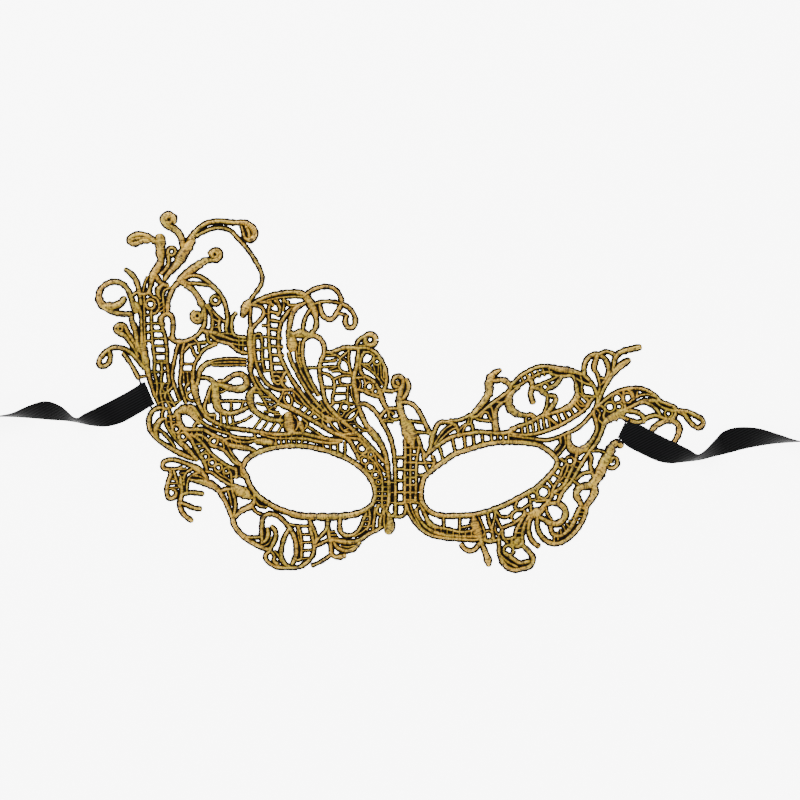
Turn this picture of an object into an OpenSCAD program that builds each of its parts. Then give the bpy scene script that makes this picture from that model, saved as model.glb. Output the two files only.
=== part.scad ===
// Venetian half-mask of embroidered lace, flat on its back, with two satin tie ribbons.
// X runs along the mask, Y towards the crest's top, and Z out of the face; the back is at Z = 0.

/* [Lace] */
// Thickness of the stitched cords, ground thread included (mm)
lace_thickness = 1.2; // [0.8:0.1:2]
// Dark edging thread shown on each side of a gold cord (mm)
edging = 0.45; // [0.3:0.05:0.6]
// Radius of the bar that each ribbon is looped around (mm)
tie_bar_radius = 0.5; // [0.4:0.05:0.8]
// Height of the tie bars' axes over the back face (mm)
tie_bar_height = 1; // [0.9:0.1:1.5]

/* [Ribbons] */
// Width of each satin ribbon (mm)
ribbon_width = 10; // [6:1:15]
// Thickness of the ribbon (mm)
ribbon_thickness = 0.35; // [0.2:0.05:0.6]
// Clear gap between a tie bar and the ribbon's loop (mm)
loop_clearance = 0.1; // [0.05:0.05:0.3]
// Radius of the loosely rolled end's outer turn (mm)
roll_radius = 24; // [18:1:40]
// Spacing of the roll's turns (mm)
roll_pitch = 5; // [4:0.5:8]
// How far each roll turns (degrees)
roll_turn = 900; // [360:30:1080]

// Which piece to draw

/* [Hidden] */
gold_thread = [0.78, 0.62, 0.27];
dark_thread = [0.12, 0.09, 0.06];
black_satin = [0.07, 0.07, 0.07];
// Points of a smooth line drawn for each chosen span.
spans = 2;
// Sides of a cord's rounded end.
end_sides = 12;
// Sides of a small ring.
ring_sides = 28;
// The smallest hole left in a ring (radius, mm).
least_hole = 0.15;
// Growth that closes the seams between neighbouring quads (mm).
seam = 0.01;
// Sides of a tie bar and of a ribbon's loop.
bar_sides = 32;
// How far a cutting shape runs past what it cuts (mm).
cut_margin = 1;
// Height of the rolls' lower edge over the back face (mm).
roll_base = 0.2;
// Stitch row: distance from the loop's ends, from the bar's axis sideways and upwards, and its size (mm).
stitch_inset = 1;
stitch_offset = 0.7;
stitch_rise = 0.6;
stitch_size = 0.5;
// Degrees between the roll's drawn points.
roll_step = 10;
loop_inner = tie_bar_radius + loop_clearance;
loop_outer = loop_inner + ribbon_thickness;
half_thickness = ribbon_thickness / 2;

// Ends of the tie bars, and the stretch of each that its ribbon covers (mm).
left_bar = [[-101, 28], [-106.4, 40.4]];
left_covered = [1.6, 11.6];
right_bar = [[89.9, 24.4], [85.2, 14.6]];
right_covered = [2, 8.9];

// The ribbons' runs: lower edge point, then upper edge point, with heights (mm).
left_run_edges = [
  [[-101.7, 29.4, 1.78], [-105.6, 38.6, 1.78]],
  [[-107, 26.2, 0.9], [-111, 35.3, 0.9]],
  [[-113.4, 22.8, 0.3], [-117.4, 31.9, 0.9]],
  [[-119.8, 21.3, 0.2], [-122.6, 29.1, 5.8]],
  [[-126, 21.8, 0.2], [-127.4, 26.7, 8.8]],
  [[-131, 23, 0.2], [-131.2, 24.9, 10]],
  [[-136, 23.6, 0.2], [-137, 29.6, 8.1]],
  [[-142, 24, 0.2], [-143.2, 31.6, 6.6]],
  [[-149, 24.6, 0.2], [-149.8, 29.8, 8.7]],
  [[-156, 25.2, 0.2], [-156.2, 26.8, 10]],
  [[-162, 25.4, 0.2], [-162, 25.6, 10.2]],
];
right_run_edges = [
  [[86.1, 16.4, 1.78], [89, 22.6, 1.78]],
  [[88.9, 13.4, 1.78], [93.7, 22.2, 1.78]],
  [[94.6, 10.4, 1.2], [99.4, 19.2, 1.8]],
  [[100.8, 7.6, 0.3], [105, 16.4, 2.7]],
  [[105.9, 6.6, 0.2], [109.6, 14.2, 5.5]],
  [[110.7, 7, 0.2], [113.4, 12.2, 8.3]],
  [[115.4, 7.6, 0.2], [116.6, 10.4, 9.7]],
  [[119.3, 8.2, 0.2], [120, 12.6, 9.1]],
  [[124, 9.4, 0.2], [123.6, 16.4, 7.3]],
  [[129.1, 10.6, 0.2], [127.2, 19.6, 4]],
  [[135, 12.2, 0.2], [133, 21.2, 4]],
  [[142, 13.6, 0.2], [140.8, 20.8, 7]],
  [[149, 14.6, 0.2], [148.6, 18.4, 9.4]],
  [[156, 15.2, 0.2], [155.9, 15.9, 10.1]],
  [[161, 15.4, 0.2], [161, 15.6, 10.2]],
];
// The straight on-edge lead and the centre of each roll (mm).
left_roll_start = [-162, 25.5];
left_roll_centre = [-190, 49.5];
right_roll_start = [161, 15.5];
right_roll_centre = [186, 39.5];

// Crest tendrils: satin-stitched stems that fan out of the top of the crest and end in knobs.
crest_tendrils_cords = [
  [1.8, [-94.5,104.1], 1.2],
  [1.8, [-109,96.2], [-106.6,96.6], [-104,96.8]],
  [2.4, [-88.9,93.5,2], [-89.2,96.2], [-90.4,98.6], [-92.4,100.5], [-95,101.8], [-96.6,103.6],
   [-96,105.6], [-94.2,106], [-92.7,104.8], [-92.3,103,1.6]],
  [2, [-100.2,95.6], [-102.4,97.1], [-104.8,98], [-107.4,98.1], [-109.4,97.2], [-110,95.8], [-109,94.6],
   [-107.2,94.8], [-105,95.8], [-102.6,95.8]],
  [2.8, [-98,96.6,4], [-97.8,92,3.6], [-97.6,88], [-98.6,85.3], [-100.2,82.8,3.2], [-101.2,80.4,2.4],
   [-101.7,77.8,1.6], [-102.4,75.4,1.6]],
  [0.8, [-102.9,81.2], [-103.9,79], [-104.5,76.4], [-104.8,74.8]],
  [1.8, [-99.6,81.6], [-98.4,79.6], [-97,78.4], [-95.2,77.8]],
  [1.3, [-93.3,91.4], 1.5],
  [1.5, [-95,90.6], [-94.5,88.4], [-94.7,86], [-96,84], [-97.4,82.6]],
  [2.6, [-85.4,95.6,3.2], [-87.6,92.4,4], [-89.4,89.6,4.4], [-90.8,87,3.4], [-92.8,84.6],
   [-94.8,82.4,2], [-96,80.4,1.6]],
];

// Arch tendril: two cords that leave the crest's top and arch over towards the plume.
arch_tendril_cords = [
  [1.6, [-63.4,101], [-62.5,99.2], [-62.3,97.4]],
  [1.8, [-85.6,96.2,3], [-84.2,98.6,2.2], [-82,100.9], [-79.4,102.6], [-76.4,103.3], [-73,103.4],
   [-69.6,103], [-66.4,102.9], [-63.8,102.6,2.4], [-61.5,101.2,2.6], [-60.2,99,2.6], [-60.8,96.9,2.4],
   [-62.6,96.1,2.2], [-64.2,97.2,1.6], [-64.7,99.2,1.2], [-65.4,101.4,1.2]],
  [1.3, [-83.6,97.6], [-81,99], [-78,100.3], [-75,100.9], [-72,100.6], [-69.6,99.6], [-68,98],
   [-66.4,96.2], [-64.8,94.6], [-63,92.4], [-61.2,89.9], [-59.6,87.2], [-58,84.3], [-57.1,81.2],
   [-57.5,78.4], [-58.9,76], [-60.6,73.7], [-62,71.6]],
  [3, [-62,71.8,1.6], [-63.3,69.6,3.6], [-64.2,67.4,3.2], [-65,65.4,1.4]],
];

// Side curl: the round hook and its short stem on the crest's outer side.
crest_side_curl_cords = [
  [1.8, [-112.2,72.8], [-113.6,70.8,2.4], [-116,69.6,3], [-118.6,69.2,3.4], [-120.9,70,3],
   [-122.2,72,2.6], [-122.3,74.6,2.2], [-121.1,77], [-118.6,78.8], [-115.6,79.3], [-112.8,78.3],
   [-110.8,76], [-109.5,73], [-108.6,70.2,2.2], [-107.6,67.6,2.4]],
  [1.8, [-118.6,67.9], [-115.6,66.9], [-112.6,66.4], [-109.8,66.2], [-109.3,64], [-108.7,62]],
  [1.8, [-112,84.3,1], [-110,82.9], [-108.2,80.9], [-107,78.4], [-106.4,75.8], [-105.9,73.4],
   [-105.6,70.8]],
  [1.2, [-106.4,74.8], [-107.6,74.8], [-109,73.8]],
];

// Crest hooks: the pointed loop and the hanging hook below the side curl.
crest_hooks_cords = [
  [1.2, [-113.9,60.5], 0.9],
  [1.5, [-106.8,51.8], [-108.2,54.6], [-109.8,57.4,1.8], [-111.2,59.6], [-112,61.4], [-113.8,62.2],
   [-115.6,61.2], [-115.4,59.6], [-113.6,58.6,1.8], [-111.8,57.6,1.8], [-110.2,55.4], [-108.4,52.6],
   [-106.9,49.8]],
  [1.7, [-104.2,44.8], [-106.4,47.6], [-108.6,50], [-111,51.8], [-113.6,52.8], [-116.4,53,1.5],
   [-118.8,52,1.5], [-120.8,50], [-122.2,48], [-122,46], [-120.2,45.6], [-118.4,47,1.7], [-117.9,49.2],
   [-118.4,51.4]],
  [1.3, [-112.6,50.6], [-110.8,48.2], [-109,45.4], [-107.6,42.8], [-106.4,40.6]],
  [0.6, [-106.6,41], [-105,41.4], [-103,41.6]],
];

// Crest spine: the swelling rail that carries the crest, with its rungs and inner rails.
crest_spine_cords = [
  [2.4, [-107.4,70.2], [-106.4,68.4,2], [-105.6,66.4,1.4], [-105.4,63,1.2], [-105.3,59.6,1.4],
   [-105.2,56.4,2], [-105,53.4,3], [-104.4,50.4,3.2], [-103.7,47.4,2.8], [-103,44.4,2.2],
   [-102.4,41.6,1.8], [-101.6,38.8,1.6], [-100.8,36.2,1.4], [-100,33.6,1.6]],
  [1.1, [-104.2,68.2], [-104.2,64], [-104.1,60], [-104,56.6], [-103.8,54]],
  [1.8, [-108.7,62.4], [-108,60.4,2.2], [-107.5,58,2], [-107.2,55.6], [-106.8,53.4], [-106,51.4,1.4]],
  [1.1, [-101.4,67.4], [-101.4,62.4], [-101.2,58], [-101,54.4]],
  [0.75, 4, [-104.2,65.8], [-104,55.6], [-101.4,66.2], [-101,55.8]],
  [1.3, [-97.2,60.8], [-96.2,58.4], [-95.6,55], [-95.2,51.4], [-95.2,48], [-94.8,44.6], [-94.6,41.6],
   [-94.2,39]],
  [0.75, 6, [-101.2,62.6], [-100.4,47.6], [-96.8,62.6], [-95.4,47.6]],
  [1.2, [-100.8,53.8], [-100.3,50.4], [-100.1,47], [-100.2,43.4], [-99.4,40], [-99,36.6], [-99.4,33.4],
   [-98.6,30.6]],
  [2.2, [-97,61.8], [-97.7,63.6], [-97,65.6,2], [-95.2,66.5,1.7], [-93.5,65.6,1.6], [-92.8,63.4,1.6],
   [-92.8,60.4,1.5], [-93,57.4,1.5], [-92.4,56,1.5]],
  [1.3, [-101.8,70.3], 1.9],
  [1.6, [-105.8,74.5], [-104,74.4], [-102.4,74.8], [-101,73.4,1.2], [-99.2,72.6,1.2], [-98.4,70.6,1.2],
   [-98.4,68.6,1.2], [-99.8,66.8,1.2], [-101.6,66.6,1.2]],
  [1.1, [-104.4,73.6], [-104.2,70.8], [-104.4,68.2]],
  [1.8, [-97.2,77.8], [-98.6,76.2,2.2], [-98.8,74.4], [-98,72.8,1.2]],
  [1.1, [-94.2,76.8], [-96,76], [-96.8,74.4], [-96.7,72], [-96.4,69.6], [-96.4,67.2]],
  [1.8, [-88.4,79.4], [-90.6,78.8], [-92.4,77.2], [-93.6,75], [-94.6,72.4], [-95,69.6], [-95,66.8]],
  [0.6, 3, [-98.4,70.4], [-98.2,67.2], [-96.6,71.4], [-96.4,68.2]],
];

// Crest lattice: thin crossing cords that fill the foot of the crest.
crest_lattice_cords = [
  [1.5, [-94.2,57], [-92.4,55.8], [-90.4,55.2,2], [-88,55.4,1.8], [-85.8,56.2], [-83.6,57.4], [-82,59],
   [-81,60.8]],
  [1.3, [-90.4,54.8], [-91.3,52], [-92.2,48], [-92.9,44.4], [-93.1,41.2], [-92.4,38], [-91.2,34.8],
   [-90,31.8]],
  [1.3, [-88.4,54.4], [-89.2,50.6], [-89.4,46.4], [-89.6,42.4], [-90,39.4], [-89.4,36.2], [-88.4,33.2],
   [-87.6,31]],
  [1.2, [-83,48.6], [-84.2,46], [-84.6,43.4], [-84.6,40.8]],
  [1.2, [-88.4,51.4], [-86.6,53.6], [-84.4,54.6], [-82,54.8], [-79.8,55]],
  [1.1, [-86.4,54.2], [-85,52.4], [-84.4,50.6], [-83.4,49.4]],
  [1.1, [-84.6,56.6], [-83.4,55.4], [-82.4,53.6], [-82.4,51.4]],
  [0.6, 2, [-89.2,46.4], [-89.4,43.2], [-84.2,46.4], [-84.6,43.2]],
  [0.8, 3, [-88.6,42.8], [-85.4,42.8], [-88.4,38.8], [-85.2,39.6]],
  [0.75, [-95.4,46.8], [-97.8,46.9], [-100.2,47.2]],
  [1.1, [-97.4,46.8], [-97.2,43.4], [-97.6,40.2], [-97.4,37.6], [-97.8,34.8], [-97.2,31.8],
   [-96.6,29]],
  [0.6, [-101.4,43.2], [-98.8,43.2], [-96.4,43.4], [-94.4,44.2]],
  [0.6, [-100.4,38.6], [-98.4,38.8], [-96.4,38.4], [-94.4,38.8]],
  [1.1, [-94.2,39], [-95,36.6], [-94.4,34], [-93.2,31.6], [-92,29.6]],
  [1, [-92.4,38.2], [-93.8,36.4], [-95.6,35], [-97,36.4], [-96.6,38.6]],
  [1.1, [-95.6,35], [-96,33], [-94.8,30.8], [-93.6,28.8]],
  [0.75, [-99,34.4], [-97.4,34.6], [-95.6,34.8]],
  [0.75, [-98.6,30.8], [-96.6,31.4], [-94.6,31.4], [-92.4,30.6], [-90.4,31.4]],
  [1.6, [-86.6,38.6], [-87.8,36.6,1], [-87.4,34.6,1], [-86,35.4,1]],
  [1, [-87.2,34.8], [-87.2,33], [-85.8,31.8], [-84.6,31.6]],
];

// Crest crown: the leaf with a curled tip and the cords that fall from it.
crest_crown_cords = [
  [1.8, [-76.1,90.2], 1.2],
  [1.6, [-83.1,65.6], 1.2],
  [2.8, [-90.2,79.8,2.4], [-88.4,81.6,2.8], [-86,83.6,3], [-82.8,85.8,3], [-80,87.6,2.4],
   [-77.6,88,1.7], [-75.6,88,1.7], [-74.1,89,1.7], [-73.9,90.8,1.7], [-75.2,91.9,1.7], [-77,91.6,1.7],
   [-78,90.4,1.7]],
  [1.5, [-87.8,80.8], [-85.4,81.8], [-82.2,81.4], [-79.4,79.7], [-77,77.6], [-74.5,75.1], [-72.7,72.2],
   [-71.6,69], [-71.1,66], [-71,63], [-71.6,60.4]],
  [1.5, [-89,79,2.2], [-86.4,78.6,1.8], [-83.4,78.6,1.2], [-80.4,78.2,1.2], [-78,77.8,1.2]],
  [2, [-87.6,77.8], [-85.2,76.4], [-83.3,74], [-81.8,71.4,2.4], [-80.6,68.8,2], [-80,66,1.6],
   [-80,63.4,1.6], [-80.6,61.2,1.6], [-82,59,1.6]],
  [1.4, [-79.6,69.8], [-78,67.6], [-77,64.8], [-76.9,62], [-77.4,59.8]],
  [1.1, [-78.8,70.2], [-77,67.6], [-75,65.4], [-73,63.8], [-71.2,63.4]],
  [1.3, [-75.8,71.9], 1.7],
  [0.9, [-73.8,73.8], [-72.8,72.4]],
  [1.6, [-84.2,67.6,1], [-85.1,66], [-84.6,64], [-82.9,63.1], [-81.3,64.2], [-81,66], [-80.8,67.8,1]],
  [1.3, [-74.2,63.8], [-74.4,61.6], [-74,59.6]],
  [1.3, [-71.2,63.6], [-71.6,61.4], [-71.2,59]],
  [1.3, [-67.6,66.8], [-69,65], [-69.4,62], [-69.2,59.6], [-68.2,57.8], [-66.2,57.2], [-64,57]],
  [0.75, 2, [-77,61], [-76.6,64.4], [-74.4,61.2], [-74.4,63.2]],
];

// Crest links: the cord bundles that tie the crest to the plume rail.
crest_link_cords = [
  [2.2, [-81.2,60.2,1.4], [-79.2,59.2], [-76.4,58.8], [-73.4,57.8,1.8], [-70.4,56.6,1.4],
   [-67.4,55.8,1.2], [-63.8,55.8,1]],
  [1.3, [-79,59], [-79,57], [-78.2,55], [-75.4,54.6], [-78.6,53.2], [-80.8,51.8], [-82,50],
   [-83.2,48]],
  [1.4, [-77.6,57.8], [-75.4,56], [-72.6,55.2], [-70,54.4], [-67.8,52.6], [-65.6,51.2], [-63.6,50.8]],
  [1, [-74.4,58.2], [-71.8,58.6], [-69.4,58.4]],
  [0.9, [-69,54.6], [-66.4,54], [-63.8,53.9]],
  [0.6, 2, [-66.4,57.4], [-64.8,57.4], [-66.4,51.6], [-64.8,51.2]],
  [2, [-82.7,40.6,1.5], [-82.1,43.4], [-80.5,45.6], [-78.2,46.9]],
  [0.9, [-78.4,47.2], [-75,48.1], [-70.6,48.5], [-66.6,48.4], [-63.6,48.2]],
  [0.9, [-78.2,46.6], [-74,47], [-69,47.2], [-63.6,47.1]],
  [0.8, [-77.2,46], [-73,45.9], [-68,46], [-63.6,46]],
];

// Crest scrolls: leaf-like scrolls and the bars between them, over the brow.
crest_scrolls_cords = [
  [2.8, [-85,39.4,2], [-84.4,37.6], [-84,35], [-83.2,32.4,2.2], [-82.2,30,1.7], [-81,27.6,1.6],
   [-79.6,25.4,1.6]],
  [1.8, [-83.2,38.6,1.8], [-82.6,40.8,1.6]],
  [2.6, [-81.6,41,1], [-79.4,40.9,1.4], [-77.4,39.9,2], [-76.2,38.2,2.8], [-75.8,35.4,3.4],
   [-75.7,32.4,3.4], [-75.1,29.6,3], [-73.6,27.6,2.4], [-71.4,26.7,2.1], [-68.6,26.8,1.9],
   [-66,27.6,1.8], [-63.4,28.9,1.6]],
  [1.3, [-77.6,37.4], [-78.6,34.4], [-79.6,31.6], [-80.2,29.2], [-79.6,27.2], [-78.2,26], [-76,26]],
  [0.6, [-77.8,36.4], [-78.4,33], [-78.2,30.4]],
  [2.4, [-75.4,38.4,1.6], [-72.8,37.7,2.2], [-70.2,36.9,2.6], [-67.2,36.4,2.8], [-64.6,36.9,2.8],
   [-63.2,38.8,2.6], [-63.8,41,2.2], [-65.8,42.3,2], [-68.2,42.1,1.8], [-70.4,40.8,1.8],
   [-72.4,39.6,1.6], [-74.6,39.4,1.4]],
  [1, [-74.6,31.5], [-71,31.6], [-67.4,31.6], [-63.8,31.4]],
  [0.75, 3, [-74.4,31.4], [-64.6,31.4], [-73.4,27.6], [-65.6,28.2]],
  [0.6, [-74.8,35.4], [-73.2,35.2], [-71.4,36.2]],
  [2.4, [-60.4,36.4,2], [-61.8,34.6,2.8], [-62,32,3], [-61.4,29.6,2.4], [-60,27.6,2.2], [-57.6,25.9,2],
   [-55,24.7,2], [-52.4,24,2], [-49.6,23.8,2]],
  [0.75, 4, [-76,26.2], [-69.2,26.4], [-76.2,23.6], [-68.4,21.6]],
  [0.7, [-69.8,22.2], [-66.6,23], [-63.6,24.2], [-61,25.9]],
  [0.6, 4, [-60.6,20.4], [-50.8,19.2], [-57.4,24.6], [-48.8,22.4]],
  [0.6, 2, [-59.6,30.8], [-56.4,27.6], [-56.2,30], [-54.4,26.8]],
];

// Plume rail: the upright swelling rail at the plume's outer edge.
plume_rail_cords = [
  [2.4, [-61.6,62,1.4], [-61.8,58.6], [-62,55,2.8], [-61.7,51], [-61.5,47.4], [-61.8,44,1.8],
   [-61.3,41.4,1.5], [-60.2,38.8,1.4], [-58.8,36.4,1.4], [-57.2,34.4,1.4]],
  [1.2, [-62,71], [-61.8,68], [-62,64.8], [-61.8,62]],
  [1.4, [-61.4,70.2], [-59.2,69.8], [-57.2,69], [-56.4,66.8], [-57.4,64.6], [-59.2,62.8], [-60.8,61],
   [-61.6,59.2]],
  [1.4, [-60.2,57.6], [-60.4,54], [-60.2,50.4], [-59.6,47.2], [-58.6,44.2], [-57.3,41.4], [-55.6,39],
   [-53.4,37.2], [-50.6,36.2], [-47.8,36], [-45.4,36.2]],
  [1.2, [-59.8,41.2], [-58.4,38.6], [-56.6,36.2], [-54.2,33.8], [-51.6,31.8], [-49,30.2]],
  [1.1, [-60.2,58], [-58,58.4], [-57.2,56], [-57.1,52.4], [-57.1,49], [-56.7,45.8], [-56,43.2]],
  [0.75, 3, [-60.2,56.8], [-59.8,47.4], [-57.2,56.8], [-57,47.4]],
  [1.2, [-60.4,36.4], [-57.6,36.2], [-55,35.4], [-52,32.6], [-49.4,30.2]],
  [1, [-60.6,35.2], [-58.6,35], [-57,33], [-55.6,30.4], [-54.2,28], [-52,26.8]],
  [0.75, 4, [-57.4,33.4], [-54.4,27.6], [-53.6,33], [-50.4,27]],
  [0.75, 2, [-54.6,28.2], [-52.4,26.2], [-51,30.2], [-50,26.2]],
];

// Plume ladders: long falling cords joined by short rungs.
plume_ladders_cords = [
  [1.3, [-53.8,71.4], [-54.4,68], [-54.5,64], [-54.5,60], [-54.4,56], [-54.1,52], [-53.6,48.2],
   [-53.4,45], [-53,42], [-52.4,39.4]],
  [1.5, [-46.8,67], [-48.2,65.2], [-49.6,62.6], [-50.4,59.6], [-50.6,56], [-50.5,52.6], [-49.9,49.6],
   [-48.8,46.8], [-47.4,44], [-45.8,41], [-43.8,38], [-41.6,35], [-38.8,31.4], [-35.8,28.4],
   [-32.8,25.8], [-30.2,23.6]],
  [1.1, 9, [-54.4,67.4], [-52.6,39.6], [-50.4,66.6], [-47.6,39.8]],
  [1.4, [-51.8,71.6], [-50.2,69.6], [-50,67.4], [-51,65.8]],
  [1.1, [-48.6,72], [-48.4,70], [-48.8,67.8]],
  [0.75, 5, [-57.2,61.8], [-56.4,43.8], [-54.6,61.8], [-53.6,43.8]],
  [1.4, [-57.6,71.2], [-54.8,71], [-52.8,70]],
  [0.6, [-56.4,66.6], [-54.6,66.4]],
  [1.1, [-52.4,39.4], [-50.6,38.2], [-49.6,40], [-51,41.6], [-53,41.2]],
  [1.3, [-47.4,43.6], [-48.8,41.4], [-49.2,38.6], [-47.4,36.6]],
];

// Plume arc: the rounded top cord of the plume, with the satin drop below it.
plume_arc_cords = [
  [1.6, [-61.4,70.2,1.2], [-59.4,71.4], [-57,72.6], [-54,73.7], [-50.2,74.6], [-46.2,75.1],
   [-42.8,74.9,1.9], [-40.2,73.8,2.6], [-38.5,71.6,3], [-37.1,69.4,3], [-36.1,67.2,3], [-35.6,65,1.8],
   [-35.4,62.6,1.8], [-35.9,60.6,1.8], [-37.2,58.8,1.8]],
  [0.9, [-57.8,71], [-54.4,72], [-51,72.8], [-47.4,73.2], [-43.6,73.4], [-41,73.2]],
  [1.1, [-47,71.6], [-46.4,70], [-44,69.8], [-41.4,70.4], [-39.6,71]],
  [0.75, 3, [-54,71.8], [-48.6,73], [-52.8,69.6], [-47.6,71]],
  [2, [-40.6,70.4,1.3], [-42.8,69.4,2], [-44.4,68,2.2], [-45.4,65.6], [-46,62.8], [-46.4,60.2,1.8],
   [-46.5,57.6,1.8], [-46.4,55.6,1.6]],
  [1.2, [-45.4,68.6], [-46.8,67.4], [-48.2,65.4]],
  [1.3, [-38.2,67.6], [-39.6,65.4], [-40.5,62.8], [-40.8,60.2]],
  [3.2, [-46.2,58.8,1.8], [-44.4,58.2,2.6], [-41.6,58.6,3.4], [-38.8,58,2.6], [-36,57.8,1.8]],
  [0.75, [-47.2,57.8], [-46,57], [-44,57.2], [-42.6,57.6]],
  [4.2, [-45.1,55.2], [-45,53.2]],
];

// Plume loop: the cord that falls from the plume to the nose, and its companions.
plume_loop_cords = [
  [1.6, [-36.4,57.8], [-34.2,56.7], [-32.7,54.6], [-32.2,52], [-32.5,49.8], [-33.6,47.6], [-34.1,44.8],
   [-34,41.6], [-33.4,38.6], [-32.8,35.8], [-32.3,33], [-31.2,30.4,1.8], [-29.2,27.8,1.9],
   [-27.2,25.6,1.9], [-25,23.6,1.9], [-22.4,21.4,1.8], [-19.8,19.2,1.8], [-17.2,16.8,1.7],
   [-14.6,14.2,1.6], [-12.2,11.6,1.5], [-10.2,9.4,1.5], [-8.6,7.6,1.5]],
  [1.4, [-38.6,57.4], [-40.4,55.8], [-41,53.4], [-41.1,50.4], [-40.7,47.4], [-39.9,44.6], [-38.8,42],
   [-37.5,39.2], [-36,36.4], [-34.6,34]],
  [0.8, [-39.6,44.7], [-37,44.9], [-34.2,44.8]],
  [1.4, [-46.4,50.8], [-45.8,48.4], [-44.7,46], [-43.4,43.4], [-42,40.7], [-40.4,37.9], [-38.6,35],
   [-36.6,32.2], [-34.6,29.8], [-32.6,27.8]],
  [0.9, [-43.4,51.4], [-43.2,48.4], [-42.2,45.4], [-41.6,43.2]],
  [0.9, [-42,55.6], [-42.4,52], [-42.2,48.4], [-41.2,45]],
  [0.6, 4, [-43.4,50.6], [-42.4,45.4], [-41.4,50.6], [-40.6,45.4]],
  [1.2, [-41.6,43.2], [-40,40.4], [-38.2,37.4], [-36.6,35.2]],
  [1, [-33.8,31.6], [-32.2,28.8], [-30.4,26.6], [-28.6,25.4]],
];

// Plume curls: the outer curl and the small inner curl at the plume's top.
plume_curls_cords = [
  [1.5, [-39,74.6], [-37.2,75.9], [-34.6,76.9], [-31.6,77.4], [-28.8,76.8], [-26.7,75], [-25.6,72.6],
   [-25.1,70.5], [-23.2,69.4], [-21.3,67.6], [-20.1,65.2], [-19.9,62.8,1.7], [-21,61.1,1.7],
   [-22.8,61.2,1.7], [-23.8,62.8,1.7], [-23.7,64.8,1.5], [-23,65.8,1.2]],
  [1.1, [-36,70.4], [-34.2,71.1], [-31.4,71.4], [-28.6,71.3], [-25.8,70.6]],
  [1.7, [-34.2,70.6,1.4], [-33.7,68], [-32.9,65.9], [-31.4,64.6], [-29.8,64.3], [-28.5,65],
   [-27.4,66.6], [-26.4,68.4], [-25.6,70.2]],
  [1.2, [-27.2,66.8], [-25.4,66.4], [-23.6,65.8]],
];

// Fan mesh: the open net between the plume loop and the nose cords.
fan_mesh_cords = [
  [1.6, [-32,51.2,1.2], [-29.4,51.2,1.2], [-27,51.9], [-24.4,52.8,1.8], [-21.6,52.8,2],
   [-19,52.8,1.6]],
  [1.8, [-18.6,52.6,1.4], [-18.7,49.8], [-19.1,47], [-19.5,44.4], [-20.4,42,2], [-20.4,39,2.2],
   [-19.8,36,2.2], [-19.3,33,2.2], [-18.8,30,1.9], [-17.8,27.2], [-16.8,24.6], [-15.6,22.2],
   [-14,20,2.4], [-11.8,17.4,2.6], [-9.6,14.2,2.2], [-8,10.4], [-7.2,6.4,2], [-6.7,2.4], [-6.4,-2],
   [-6.4,-6], [-6.7,-10]],
  [1, [-22.4,51.6], [-22.6,48.6], [-22.2,45.4], [-21.4,42]],
  [0.7, 3, [-33.4,49.6], [-33.8,45.2], [-28,49.8], [-27.6,45.4]],
  [1, [-29.6,50.6], [-27.2,49.8], [-25.8,48.2], [-26.6,46.2], [-26,44.2], [-24.4,43], [-21.8,42.8]],
  [1, [-26.2,48.4], [-24.4,50], [-22.6,51.6]],
  [0.7, [-24.6,48.4], [-23.2,47.2], [-22.2,45.6]],
  [0.7, 3, [-28,51], [-26.6,45.6], [-30.8,50.8], [-30.6,44]],
  [1.1, [-34,42.8], [-31.4,42.4], [-29.4,41.2], [-28.4,39.4], [-28.6,37.2], [-31,37], [-33,37.2]],
  [1, [-29.2,43.4], [-27.2,43.8], [-25.4,43.4]],
  [1, [-28.4,40.2], [-26.4,41.2], [-24,41.8], [-21.4,41.6]],
  [0.9, [-26.2,40.4], [-25.8,38.6], [-23.6,38], [-20.8,38.2]],
  [1.1, [-28,38.2], [-28.4,35.4], [-29,32.6], [-28.8,30.6], [-30.4,29.4]],
  [0.7, 2, [-28.2,37.6], [-28.6,34.6], [-23,37.8], [-23,34.6]],
  [0.9, [-22.8,38], [-23,34.6], [-23,31.4]],
  [0.9, [-29,31], [-26.4,31], [-24.2,31.6], [-22.4,30.8], [-20.6,30.2]],
  [0.9, [-24,29.1], 1.8],
  [0.6, [-21.4,36.6], [-21.2,33.6], [-20,31]],
  [0.8, [-26,28.8], [-26.6,27.2], [-25.4,25.4], [-24,27.2]],
  [1, [-19.8,28.4], [-22,27], [-23.8,25]],
  [1, [-24.4,23.8], [-21.6,24], [-19.6,25.8], [-18.8,27.6]],
  [0.9, [-20.6,24.8], [-19.4,22.2], [-17.4,20.6], [-15.4,19.8]],
  [0.6, 3, [-22,22.6], [-18,19.4], [-19.6,22.6], [-16.4,19.6]],
];

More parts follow.
